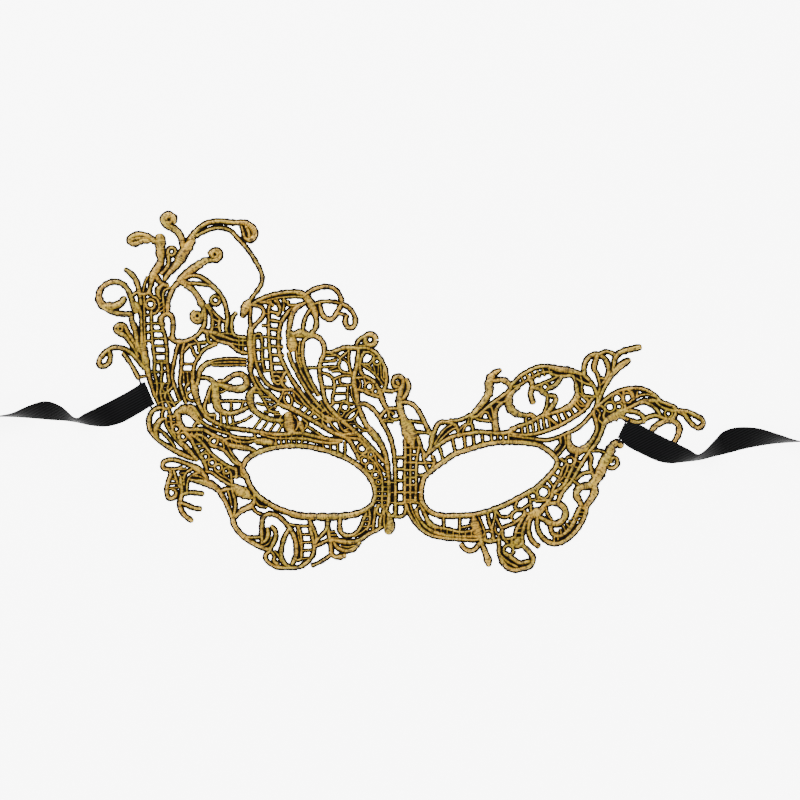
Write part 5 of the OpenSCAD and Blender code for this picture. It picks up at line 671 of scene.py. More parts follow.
# Crest lattice: thin crossing cords that fill the foot of the crest.
embroider("crest_lattice", [
    [1.5, [-94.2,57], [-92.4,55.8], [-90.4,55.2,2], [-88,55.4,1.8], [-85.8,56.2], [-83.6,57.4], [-82,59],
     [-81,60.8]],
    [1.3, [-90.4,54.8], [-91.3,52], [-92.2,48], [-92.9,44.4], [-93.1,41.2], [-92.4,38], [-91.2,34.8],
     [-90,31.8]],
    [1.3, [-88.4,54.4], [-89.2,50.6], [-89.4,46.4], [-89.6,42.4], [-90,39.4], [-89.4,36.2], [-88.4,33.2],
     [-87.6,31]],
    [1.2, [-83,48.6], [-84.2,46], [-84.6,43.4], [-84.6,40.8]],
    [1.2, [-88.4,51.4], [-86.6,53.6], [-84.4,54.6], [-82,54.8], [-79.8,55]],
    [1.1, [-86.4,54.2], [-85,52.4], [-84.4,50.6], [-83.4,49.4]],
    [1.1, [-84.6,56.6], [-83.4,55.4], [-82.4,53.6], [-82.4,51.4]],
    [0.6, 2, [-89.2,46.4], [-89.4,43.2], [-84.2,46.4], [-84.6,43.2]],
    [0.8, 3, [-88.6,42.8], [-85.4,42.8], [-88.4,38.8], [-85.2,39.6]],
    [0.75, [-95.4,46.8], [-97.8,46.9], [-100.2,47.2]],
    [1.1, [-97.4,46.8], [-97.2,43.4], [-97.6,40.2], [-97.4,37.6], [-97.8,34.8], [-97.2,31.8], [-96.6,29]],
    [0.6, [-101.4,43.2], [-98.8,43.2], [-96.4,43.4], [-94.4,44.2]],
    [0.6, [-100.4,38.6], [-98.4,38.8], [-96.4,38.4], [-94.4,38.8]],
    [1.1, [-94.2,39], [-95,36.6], [-94.4,34], [-93.2,31.6], [-92,29.6]],
    [1, [-92.4,38.2], [-93.8,36.4], [-95.6,35], [-97,36.4], [-96.6,38.6]],
    [1.1, [-95.6,35], [-96,33], [-94.8,30.8], [-93.6,28.8]],
    [0.75, [-99,34.4], [-97.4,34.6], [-95.6,34.8]],
    [0.75, [-98.6,30.8], [-96.6,31.4], [-94.6,31.4], [-92.4,30.6], [-90.4,31.4]],
    [1.6, [-86.6,38.6], [-87.8,36.6,1], [-87.4,34.6,1], [-86,35.4,1]],
    [1, [-87.2,34.8], [-87.2,33], [-85.8,31.8], [-84.6,31.6]],
])

# Crest crown: the leaf with a curled tip and the cords that fall from it.
embroider("crest_crown", [
    [1.8, [-76.1,90.2], 1.2],
    [1.6, [-83.1,65.6], 1.2],
    [2.8, [-90.2,79.8,2.4], [-88.4,81.6,2.8], [-86,83.6,3], [-82.8,85.8,3], [-80,87.6,2.4], [-77.6,88,1.7],
     [-75.6,88,1.7], [-74.1,89,1.7], [-73.9,90.8,1.7], [-75.2,91.9,1.7], [-77,91.6,1.7], [-78,90.4,1.7]],
    [1.5, [-87.8,80.8], [-85.4,81.8], [-82.2,81.4], [-79.4,79.7], [-77,77.6], [-74.5,75.1], [-72.7,72.2],
     [-71.6,69], [-71.1,66], [-71,63], [-71.6,60.4]],
    [1.5, [-89,79,2.2], [-86.4,78.6,1.8], [-83.4,78.6,1.2], [-80.4,78.2,1.2], [-78,77.8,1.2]],
    [2, [-87.6,77.8], [-85.2,76.4], [-83.3,74], [-81.8,71.4,2.4], [-80.6,68.8,2], [-80,66,1.6],
     [-80,63.4,1.6], [-80.6,61.2,1.6], [-82,59,1.6]],
    [1.4, [-79.6,69.8], [-78,67.6], [-77,64.8], [-76.9,62], [-77.4,59.8]],
    [1.1, [-78.8,70.2], [-77,67.6], [-75,65.4], [-73,63.8], [-71.2,63.4]],
    [1.3, [-75.8,71.9], 1.7],
    [0.9, [-73.8,73.8], [-72.8,72.4]],
    [1.6, [-84.2,67.6,1], [-85.1,66], [-84.6,64], [-82.9,63.1], [-81.3,64.2], [-81,66], [-80.8,67.8,1]],
    [1.3, [-74.2,63.8], [-74.4,61.6], [-74,59.6]],
    [1.3, [-71.2,63.6], [-71.6,61.4], [-71.2,59]],
    [1.3, [-67.6,66.8], [-69,65], [-69.4,62], [-69.2,59.6], [-68.2,57.8], [-66.2,57.2], [-64,57]],
    [0.75, 2, [-77,61], [-76.6,64.4], [-74.4,61.2], [-74.4,63.2]],
])

# Crest links: the cord bundles that tie the crest to the plume rail.
embroider("crest_link", [
    [2.2, [-81.2,60.2,1.4], [-79.2,59.2], [-76.4,58.8], [-73.4,57.8,1.8], [-70.4,56.6,1.4],
     [-67.4,55.8,1.2], [-63.8,55.8,1]],
    [1.3, [-79,59], [-79,57], [-78.2,55], [-75.4,54.6], [-78.6,53.2], [-80.8,51.8], [-82,50], [-83.2,48]],
    [1.4, [-77.6,57.8], [-75.4,56], [-72.6,55.2], [-70,54.4], [-67.8,52.6], [-65.6,51.2], [-63.6,50.8]],
    [1, [-74.4,58.2], [-71.8,58.6], [-69.4,58.4]],
    [0.9, [-69,54.6], [-66.4,54], [-63.8,53.9]],
    [0.6, 2, [-66.4,57.4], [-64.8,57.4], [-66.4,51.6], [-64.8,51.2]],
    [2, [-82.7,40.6,1.5], [-82.1,43.4], [-80.5,45.6], [-78.2,46.9]],
    [0.9, [-78.4,47.2], [-75,48.1], [-70.6,48.5], [-66.6,48.4], [-63.6,48.2]],
    [0.9, [-78.2,46.6], [-74,47], [-69,47.2], [-63.6,47.1]],
    [0.8, [-77.2,46], [-73,45.9], [-68,46], [-63.6,46]],
])

# Crest scrolls: leaf-like scrolls and the bars between them, over the brow.
embroider("crest_scrolls", [
    [2.8, [-85,39.4,2], [-84.4,37.6], [-84,35], [-83.2,32.4,2.2], [-82.2,30,1.7], [-81,27.6,1.6],
     [-79.6,25.4,1.6]],
    [1.8, [-83.2,38.6,1.8], [-82.6,40.8,1.6]],
    [2.6, [-81.6,41,1], [-79.4,40.9,1.4], [-77.4,39.9,2], [-76.2,38.2,2.8], [-75.8,35.4,3.4],
     [-75.7,32.4,3.4], [-75.1,29.6,3], [-73.6,27.6,2.4], [-71.4,26.7,2.1], [-68.6,26.8,1.9], [-66,27.6,1.8],
     [-63.4,28.9,1.6]],
    [1.3, [-77.6,37.4], [-78.6,34.4], [-79.6,31.6], [-80.2,29.2], [-79.6,27.2], [-78.2,26], [-76,26]],
    [0.6, [-77.8,36.4], [-78.4,33], [-78.2,30.4]],
    [2.4, [-75.4,38.4,1.6], [-72.8,37.7,2.2], [-70.2,36.9,2.6], [-67.2,36.4,2.8], [-64.6,36.9,2.8],
     [-63.2,38.8,2.6], [-63.8,41,2.2], [-65.8,42.3,2], [-68.2,42.1,1.8], [-70.4,40.8,1.8], [-72.4,39.6,1.6],
     [-74.6,39.4,1.4]],
    [1, [-74.6,31.5], [-71,31.6], [-67.4,31.6], [-63.8,31.4]],
    [0.75, 3, [-74.4,31.4], [-64.6,31.4], [-73.4,27.6], [-65.6,28.2]],
    [0.6, [-74.8,35.4], [-73.2,35.2], [-71.4,36.2]],
    [2.4, [-60.4,36.4,2], [-61.8,34.6,2.8], [-62,32,3], [-61.4,29.6,2.4], [-60,27.6,2.2], [-57.6,25.9,2],
     [-55,24.7,2], [-52.4,24,2], [-49.6,23.8,2]],
    [0.75, 4, [-76,26.2], [-69.2,26.4], [-76.2,23.6], [-68.4,21.6]],
    [0.7, [-69.8,22.2], [-66.6,23], [-63.6,24.2], [-61,25.9]],
    [0.6, 4, [-60.6,20.4], [-50.8,19.2], [-57.4,24.6], [-48.8,22.4]],
    [0.6, 2, [-59.6,30.8], [-56.4,27.6], [-56.2,30], [-54.4,26.8]],
])

# Plume rail: the upright swelling rail at the plume's outer edge.
embroider("plume_rail", [
    [2.4, [-61.6,62,1.4], [-61.8,58.6], [-62,55,2.8], [-61.7,51], [-61.5,47.4], [-61.8,44,1.8],
     [-61.3,41.4,1.5], [-60.2,38.8,1.4], [-58.8,36.4,1.4], [-57.2,34.4,1.4]],
    [1.2, [-62,71], [-61.8,68], [-62,64.8], [-61.8,62]],
    [1.4, [-61.4,70.2], [-59.2,69.8], [-57.2,69], [-56.4,66.8], [-57.4,64.6], [-59.2,62.8], [-60.8,61],
     [-61.6,59.2]],
    [1.4, [-60.2,57.6], [-60.4,54], [-60.2,50.4], [-59.6,47.2], [-58.6,44.2], [-57.3,41.4], [-55.6,39],
     [-53.4,37.2], [-50.6,36.2], [-47.8,36], [-45.4,36.2]],
    [1.2, [-59.8,41.2], [-58.4,38.6], [-56.6,36.2], [-54.2,33.8], [-51.6,31.8], [-49,30.2]],
    [1.1, [-60.2,58], [-58,58.4], [-57.2,56], [-57.1,52.4], [-57.1,49], [-56.7,45.8], [-56,43.2]],
    [0.75, 3, [-60.2,56.8], [-59.8,47.4], [-57.2,56.8], [-57,47.4]],
    [1.2, [-60.4,36.4], [-57.6,36.2], [-55,35.4], [-52,32.6], [-49.4,30.2]],
    [1, [-60.6,35.2], [-58.6,35], [-57,33], [-55.6,30.4], [-54.2,28], [-52,26.8]],
    [0.75, 4, [-57.4,33.4], [-54.4,27.6], [-53.6,33], [-50.4,27]],
    [0.75, 2, [-54.6,28.2], [-52.4,26.2], [-51,30.2], [-50,26.2]],
])

# Plume ladders: long falling cords joined by short rungs.
embroider("plume_ladders", [
    [1.3, [-53.8,71.4], [-54.4,68], [-54.5,64], [-54.5,60], [-54.4,56], [-54.1,52], [-53.6,48.2],
     [-53.4,45], [-53,42], [-52.4,39.4]],
    [1.5, [-46.8,67], [-48.2,65.2], [-49.6,62.6], [-50.4,59.6], [-50.6,56], [-50.5,52.6], [-49.9,49.6],
     [-48.8,46.8], [-47.4,44], [-45.8,41], [-43.8,38], [-41.6,35], [-38.8,31.4], [-35.8,28.4], [-32.8,25.8],
     [-30.2,23.6]],
    [1.1, 9, [-54.4,67.4], [-52.6,39.6], [-50.4,66.6], [-47.6,39.8]],
    [1.4, [-51.8,71.6], [-50.2,69.6], [-50,67.4], [-51,65.8]],
    [1.1, [-48.6,72], [-48.4,70], [-48.8,67.8]],
    [0.75, 5, [-57.2,61.8], [-56.4,43.8], [-54.6,61.8], [-53.6,43.8]],
    [1.4, [-57.6,71.2], [-54.8,71], [-52.8,70]],
    [0.6, [-56.4,66.6], [-54.6,66.4]],
    [1.1, [-52.4,39.4], [-50.6,38.2], [-49.6,40], [-51,41.6], [-53,41.2]],
    [1.3, [-47.4,43.6], [-48.8,41.4], [-49.2,38.6], [-47.4,36.6]],
])

# Plume arc: the rounded top cord of the plume, with the satin drop below it.
embroider("plume_arc", [
    [1.6, [-61.4,70.2,1.2], [-59.4,71.4], [-57,72.6], [-54,73.7], [-50.2,74.6], [-46.2,75.1],
     [-42.8,74.9,1.9], [-40.2,73.8,2.6], [-38.5,71.6,3], [-37.1,69.4,3], [-36.1,67.2,3], [-35.6,65,1.8],
     [-35.4,62.6,1.8], [-35.9,60.6,1.8], [-37.2,58.8,1.8]],
    [0.9, [-57.8,71], [-54.4,72], [-51,72.8], [-47.4,73.2], [-43.6,73.4], [-41,73.2]],
    [1.1, [-47,71.6], [-46.4,70], [-44,69.8], [-41.4,70.4], [-39.6,71]],
    [0.75, 3, [-54,71.8], [-48.6,73], [-52.8,69.6], [-47.6,71]],
    [2, [-40.6,70.4,1.3], [-42.8,69.4,2], [-44.4,68,2.2], [-45.4,65.6], [-46,62.8], [-46.4,60.2,1.8],
     [-46.5,57.6,1.8], [-46.4,55.6,1.6]],
    [1.2, [-45.4,68.6], [-46.8,67.4], [-48.2,65.4]],
    [1.3, [-38.2,67.6], [-39.6,65.4], [-40.5,62.8], [-40.8,60.2]],
    [3.2, [-46.2,58.8,1.8], [-44.4,58.2,2.6], [-41.6,58.6,3.4], [-38.8,58,2.6], [-36,57.8,1.8]],
    [0.75, [-47.2,57.8], [-46,57], [-44,57.2], [-42.6,57.6]],
    [4.2, [-45.1,55.2], [-45,53.2]],
])

# Plume loop: the cord that falls from the plume to the nose, and its companions.
embroider("plume_loop", [
    [1.6, [-36.4,57.8], [-34.2,56.7], [-32.7,54.6], [-32.2,52], [-32.5,49.8], [-33.6,47.6], [-34.1,44.8],
     [-34,41.6], [-33.4,38.6], [-32.8,35.8], [-32.3,33], [-31.2,30.4,1.8], [-29.2,27.8,1.9],
     [-27.2,25.6,1.9], [-25,23.6,1.9], [-22.4,21.4,1.8], [-19.8,19.2,1.8], [-17.2,16.8,1.7],
     [-14.6,14.2,1.6], [-12.2,11.6,1.5], [-10.2,9.4,1.5], [-8.6,7.6,1.5]],
    [1.4, [-38.6,57.4], [-40.4,55.8], [-41,53.4], [-41.1,50.4], [-40.7,47.4], [-39.9,44.6], [-38.8,42],
     [-37.5,39.2], [-36,36.4], [-34.6,34]],
    [0.8, [-39.6,44.7], [-37,44.9], [-34.2,44.8]],
    [1.4, [-46.4,50.8], [-45.8,48.4], [-44.7,46], [-43.4,43.4], [-42,40.7], [-40.4,37.9], [-38.6,35],
     [-36.6,32.2], [-34.6,29.8], [-32.6,27.8]],
    [0.9, [-43.4,51.4], [-43.2,48.4], [-42.2,45.4], [-41.6,43.2]],
    [0.9, [-42,55.6], [-42.4,52], [-42.2,48.4], [-41.2,45]],
    [0.6, 4, [-43.4,50.6], [-42.4,45.4], [-41.4,50.6], [-40.6,45.4]],
    [1.2, [-41.6,43.2], [-40,40.4], [-38.2,37.4], [-36.6,35.2]],
    [1, [-33.8,31.6], [-32.2,28.8], [-30.4,26.6], [-28.6,25.4]],
])

# Plume curls: the outer curl and the small inner curl at the plume's top.
embroider("plume_curls", [
    [1.5, [-39,74.6], [-37.2,75.9], [-34.6,76.9], [-31.6,77.4], [-28.8,76.8], [-26.7,75], [-25.6,72.6],
     [-25.1,70.5], [-23.2,69.4], [-21.3,67.6], [-20.1,65.2], [-19.9,62.8,1.7], [-21,61.1,1.7],
     [-22.8,61.2,1.7], [-23.8,62.8,1.7], [-23.7,64.8,1.5], [-23,65.8,1.2]],
    [1.1, [-36,70.4], [-34.2,71.1], [-31.4,71.4], [-28.6,71.3], [-25.8,70.6]],
    [1.7, [-34.2,70.6,1.4], [-33.7,68], [-32.9,65.9], [-31.4,64.6], [-29.8,64.3], [-28.5,65], [-27.4,66.6],
     [-26.4,68.4], [-25.6,70.2]],
    [1.2, [-27.2,66.8], [-25.4,66.4], [-23.6,65.8]],
])

# Fan mesh: the open net between the plume loop and the nose cords.
embroider("fan_mesh", [
    [1.6, [-32,51.2,1.2], [-29.4,51.2,1.2], [-27,51.9], [-24.4,52.8,1.8], [-21.6,52.8,2], [-19,52.8,1.6]],
    [1.8, [-18.6,52.6,1.4], [-18.7,49.8], [-19.1,47], [-19.5,44.4], [-20.4,42,2], [-20.4,39,2.2],
     [-19.8,36,2.2], [-19.3,33,2.2], [-18.8,30,1.9], [-17.8,27.2], [-16.8,24.6], [-15.6,22.2], [-14,20,2.4],
     [-11.8,17.4,2.6], [-9.6,14.2,2.2], [-8,10.4], [-7.2,6.4,2], [-6.7,2.4], [-6.4,-2], [-6.4,-6],
     [-6.7,-10]],
    [1, [-22.4,51.6], [-22.6,48.6], [-22.2,45.4], [-21.4,42]],
    [0.7, 3, [-33.4,49.6], [-33.8,45.2], [-28,49.8], [-27.6,45.4]],
    [1, [-29.6,50.6], [-27.2,49.8], [-25.8,48.2], [-26.6,46.2], [-26,44.2], [-24.4,43], [-21.8,42.8]],
    [1, [-26.2,48.4], [-24.4,50], [-22.6,51.6]],
    [0.7, [-24.6,48.4], [-23.2,47.2], [-22.2,45.6]],
    [0.7, 3, [-28,51], [-26.6,45.6], [-30.8,50.8], [-30.6,44]],
    [1.1, [-34,42.8], [-31.4,42.4], [-29.4,41.2], [-28.4,39.4], [-28.6,37.2], [-31,37], [-33,37.2]],
    [1, [-29.2,43.4], [-27.2,43.8], [-25.4,43.4]],
    [1, [-28.4,40.2], [-26.4,41.2], [-24,41.8], [-21.4,41.6]],
    [0.9, [-26.2,40.4], [-25.8,38.6], [-23.6,38], [-20.8,38.2]],
    [1.1, [-28,38.2], [-28.4,35.4], [-29,32.6], [-28.8,30.6], [-30.4,29.4]],
    [0.7, 2, [-28.2,37.6], [-28.6,34.6], [-23,37.8], [-23,34.6]],
    [0.9, [-22.8,38], [-23,34.6], [-23,31.4]],
    [0.9, [-29,31], [-26.4,31], [-24.2,31.6], [-22.4,30.8], [-20.6,30.2]],
    [0.9, [-24,29.1], 1.8],
    [0.6, [-21.4,36.6], [-21.2,33.6], [-20,31]],
    [0.8, [-26,28.8], [-26.6,27.2], [-25.4,25.4], [-24,27.2]],
    [1, [-19.8,28.4], [-22,27], [-23.8,25]],
    [1, [-24.4,23.8], [-21.6,24], [-19.6,25.8], [-18.8,27.6]],
    [0.9, [-20.6,24.8], [-19.4,22.2], [-17.4,20.6], [-15.4,19.8]],
    [0.6, 3, [-22,22.6], [-18,19.4], [-19.6,22.6], [-16.4,19.6]],
])

# Mesh bands: the sloping double cords between the plume and the brow.
embroider("mesh_bands", [
    [1.8, [-50.6,30.6,1.4], [-48.4,29.6], [-46,28.8,2], [-43,27.3,2.2], [-40,25.6,1.9], [-37,23.9],
     [-33.6,21.9], [-30.2,19.9], [-27.2,18.4], [-24.6,17.6,2.2], [-22.6,16.2,2], [-21,13.8,1.6],
     [-19.6,11.2,1.5], [-18.4,8.4,1.5]],
    [1, [-46.6,34.6], [-45.2,32.4], [-45.6,30], [-47.4,30.4], [-48.4,32.6], [-47.8,34.8], [-46.6,34.6]],
    [1.1, [-48.6,36], [-49.4,33.4], [-50.8,31.2]],
    [1.2, [-45.4,36], [-43.8,35], [-42,33], [-40.4,30.8], [-38,28.6], [-35.4,26.4], [-33,24.4],
     [-31,23.2]],
    [1, [-44.6,34.4], [-43.6,31.8], [-41.6,30.4]],
    [0.6, 4, [-40.2,30.6], [-33.6,24.8], [-42.4,28], [-36,24]],
    [0.75, 4, [-36.6,31], [-31.4,25.4], [-35.2,32], [-30,26.4]],
    [0.9, [-37,29.6], [-36.8,27.2], [-38.2,25.4]],
    [1.1, [-32.6,25.6], [-33,23], [-31.6,21.4]],
    [1.6, [-31.6,25.2], [-29.4,24.4,2.2], [-27,24.2,2.2]],
    [0.9, [-30.2,23.4], [-28.8,21.4], [-26.8,19.4], [-25.2,18.6]],
    [1.1, [-26.8,23.8], [-25.8,21.4], [-24.4,19.6], [-22.6,19.4]],
    [1.4, [-24.8,18], [-22.2,18.4,1.8], [-20,18.4,1.8]],
    [0.75, [-24.6,19.8], [-23,20.4], [-22,21.2]],
    [1.1, [-39.4,21.8], [-36.8,20], [-34.2,18.2], [-32,16.8]],
    [1, [-41,24.4], [-39,22.6], [-40,20.6]],
])

# Left brow bands: three cords over the left eye, with satin leaves between them.
embroider("brow_bands", [
    [1.7, [-79.8,25.6], [-77.2,23.8], [-74,22.2], [-70.6,21.1], [-66.6,20.4], [-62.6,19.9], [-58.8,19.3],
     [-55,18.6], [-51.4,18.2], [-47.6,18.3], [-44,18.7], [-40.4,18.5], [-36.6,17.6], [-32.8,16.7], [-29,16],
     [-25.6,15.8,1.8]],
    [1.2, [-81.8,23.6], [-79.4,21.8], [-76.4,20.4], [-73.4,19.4], [-70.8,18.6], [-68.6,17.4], [-65.4,16.8],
     [-62,16.6], [-60,16.8]],
    [0.6, 3, [-77,22.4], [-72,20.6], [-76,21.4], [-71.2,19.6]],
    [1.7, [-83.2,20.2], [-80.4,20], [-77.8,18.6], [-75,17.2], [-72.6,16], [-70.8,14.4,1.8],
     [-68.4,13.6,2.2], [-65.4,13.2,2.2], [-62.4,12.6,2], [-60,11.6,1.4]],
    [1.2, [-72.4,16], [-70,16.6], [-67.6,15.6], [-65,15.2], [-62.4,15.2], [-60.4,15.8]],
    [0.6, 3, [-70,17.8], [-66,16], [-69.2,15.2], [-65.6,13.8]],
    [3, [-59.2,15.6,2.4], [-56.4,15.4], [-53.6,15,2.6], [-51.8,14.4,1.6]],
    [0.9, [-60.4,19.2], [-60,17.6], [-59.6,16.4]],
    [0.9, [-57.4,18.2], [-53.4,17], [-49.2,16.6], [-45.4,16.8]],
    [1.5, [-46,16.6], [-42.6,16.7], [-39,16.3], [-35.8,15.6], [-32.4,15], [-29.4,14.8], [-26.6,15]],
    [0.6, 6, [-52,17.4], [-41,17.4], [-51.4,14.4], [-41.4,14.4]],
    [0.8, 4, [-33,15.4], [-24,15.2], [-32.6,12.8], [-24,9.6]],
    [3.6, [-46.6,25.6], [-46.4,23.4,4.6], [-46.1,21,4.4], [-45.6,19.6,3.6]],
    [2.2, [-41.8,22.6], [-41.2,20.8], [-40.8,19.4,1.6]],
    [0.8, [-49.4,25.8], [-50.2,23.6], [-49,21.4]],
    [1, [-44.2,25.6], [-43,23.8], [-42.8,21.6], [-43.8,19.8]],
])

# Left eye rim: the closed cord around the left eye opening.
embroider("left_eye_rim", [
    [1.9, [-30,11.4], [-25.8,9.9], [-22.2,8.1], [-19,6], [-16.2,3.7], [-13.9,0.9], [-12.4,-2], [-11.8,-5],
     [-12.2,-8], [-13.6,-10.4], [-16.2,-12.2], [-19.8,-13.6,2.2], [-24.4,-14.4,2.4], [-30,-14.7,2.5],
     [-37.4,-14.7,2.5], [-42.8,-14.2,2.4], [-47,-12.9,2.2], [-51,-11.4], [-55,-9.2], [-58.4,-6.8],
     [-60.8,-4.2], [-62.4,-1.4], [-63.5,1.6], [-64.9,4.4], [-63.9,7.4], [-61.6,9.6], [-58,11.4], [-54,12.7],
     [-49.6,13.5], [-45,13.8], [-40,13.6], [-35,12.7], [-30,11.4]],
])

# Temple loops: looped cords and small rings at the left temple.
embroider("temple_loops", [
    [1.6, [-95.6,28.4,1.2], [-98,28.9], [-100.4,28], [-101.9,26], [-102.4,23.2,1.9], [-101.9,20.4,1.7],
     [-100.4,17.8,1.4], [-98.2,15.7,1.4], [-95.4,13.8], [-92.6,12.2,1.8], [-89.6,10.6,1.9], [-86.8,9.3,1.7],
     [-84.6,8.4,1.4]],
    [2.2, [-96,24.6,1.2], [-97.8,23.8,1.8], [-99.2,21.8,2.6], [-99.8,19.4,2], [-99,17.2,1.4]],
    [1.1, [-97.2,25.2], [-97,27.2], [-96,28.6]],
    [1.1, [-98.6,20.2], [-96.8,19], [-95.2,17.4], [-93.6,15.4], [-92.2,13.4]],
    [1.2, [-95.6,24.4], [-95.2,21.8], [-93.9,19.4], [-92.2,17], [-90.2,14.8], [-88,12.8], [-86,10.8]],
    [1.3, [-94.6,28.6], [-93.8,25.6], [-93.4,22.4], [-92.8,19.8], [-91.8,17.8]],
    [0.75, 4, [-95.2,25.6], [-93.6,18.8], [-92.6,25.6], [-91.6,18.8]],
    [1.2, [-91.6,20.5], 1.7],
    [2.6, [-92.4,25.4,1.4], [-90.4,27.4], [-87.6,28.2,3.6], [-85,26.8,3.4], [-83.4,24.6,2.2],
     [-82.2,22.6,1.4]],
    [2.4, [-91,27], [-90.6,24.2], [-89.8,21.8], [-88.4,20.4,2], [-86,20.1,1.7], [-83,20.4,1.6]],
    [1.4, [-86.4,29.6], [-84.6,29], [-83,26.8], [-81.4,24.6]],
    [1.2, [-84.4,21.4], [-83.6,22.6], [-82,23.6]],
    [1.2, [-88.7,17.4], 1.6],
    [1.6, [-90.6,18.2], [-90.2,16], [-88.4,14.2], [-86.4,12.2], [-84.8,10], [-83.2,8.2]],
    [2, [-88,19.2], [-86.4,17.6], [-85,15.4,1.8], [-83.8,13,1.6], [-82.4,10.6,1.6], [-81,8.4,1.6],
     [-79.8,6.2,1.6], [-79.2,3.8,1.4]],
    [1.5, [-85.6,18.2,1.2], [-83,16.6], [-81.2,15], [-79.6,13], [-77.8,10.8], [-75.6,8.8], [-73.2,7],
     [-70.6,5.4], [-67.8,4.4]],
    [1.4, [-83.6,18.2], [-81.2,17.8], [-79,16], [-77.4,13.8], [-74.6,13], [-72,11.7], [-70.2,9.6],
     [-68.2,7.2], [-65.8,6]],
    [0.6, 3, [-85.4,19.2], [-81,18.8], [-84.6,17.4], [-81,16.2]],
    [1.1, [-76.5,15.5], 1.6],
    [1, [-74.6,16.2], [-72.8,15], [-72.4,13]],
    [0.75, 3, [-84.2,14.2], [-81.4,10.4], [-81,14.6], [-79,12.2]],
    [1.1, [-79.8,9.3], 1.5],
    [1.1, [-77.1,6.9], 1.5],
    [1.1, [-74.6,4.9], 1.5],
    [1, [-71.4,3.7], 1.2],
    [1.3, [-79.2,3.4], [-77,2.8], [-74.6,1], [-72.2,-0.6], [-70,-1.8], [-67.8,-2.2]],
    [1, [-75.2,3.2], [-73.4,1.8], [-71.4,0.8], [-69.6,-0.4]],
    [0.8, [-72.8,3], [-72,1.2]],
    [1.2, [-70.8,4.8], [-69.6,2.6], [-69.4,0.2], [-69.2,-2]],
    [1.4, [-67.8,4.6], [-67.4,2.6], [-67.6,1]],
    [1.1, [-70.8,13.4], [-69.4,10.8], [-67.6,8], [-65.8,6.4]],
    [1.2, [-65.6,5], [-65.4,2.4], [-63.8,1]],
    [0.75, [-69.2,1.2], [-67,1.6], [-64.8,1.4]],
])

# Temple comb: the prongs and hooks below the temple loops.
embroider("temple_comb", [
    [1.5, [-89.4,5], [-91.6,4.4,1], [-94.8,4.3], [-96.6,5], [-96.7,6.9], [-94.6,8], [-91.6,8], [-88.6,7],
     [-85.6,5.8,2], [-82.8,4.2,2.6], [-80.6,2.4,2.2], [-79.2,0.6,1.6]],
    [1.6, [-93.8,3.6], [-93.6,2], [-94.4,0], [-95,-2.4], [-95.2,-5], [-94.5,-7], [-92.8,-7.2], [-91.5,-5.8],
     [-91.8,-4.2,1.2], [-93,-3.8,1]],
    [1.3, [-92.4,3.4], [-91.8,1.2], [-91,-1], [-90,-3]],
    [0.6, 3, [-94.2,0.6], [-94.2,-3.4], [-91.4,0.2], [-91.2,-3]],
    [1.7, [-89.8,1.4,1.2], [-89.6,-1.4], [-89.2,-4.2], [-89.6,-7], [-90.1,-9.6], [-89.4,-12.2], [-88,-14.2],
     [-86.2,-15.6], [-85.3,-16.3,1.4]],
    [1.5, [-89,-5.6], [-86,-5], [-83.2,-5.2], [-80.9,-5.5]],
    [1.5, [-89.4,-9.2], [-87,-10.1], [-84.4,-11.2], [-81.8,-11.5]],
    [1, [-87.2,-4.6], [-87.2,-2.4], [-86.6,0.2], [-85,2], [-82.8,2.8,1.4]],
    [1.2, [-88.4,-1.6], [-88.4,1], [-87.4,3], [-85.6,4.2]],
    [0.75, 4, [-90.4,4.2], [-90.2,-0.4], [-87.6,4.4], [-88.4,-0.4]],
    [2.6, [-86,0.2,1], [-83.4,-0.3,1.8], [-80.4,-0.8], [-77.4,-1.9,2.8], [-75.2,-3.4,2.2], [-73.6,-5.4,1.8],
     [-72.2,-7.8,1.7], [-70.9,-10.4,1.7], [-69.8,-13,1.6], [-68.8,-15.8,1.7]],
    [1, [-84.8,1.8], [-82.2,1.4], [-80,0.2]],
])

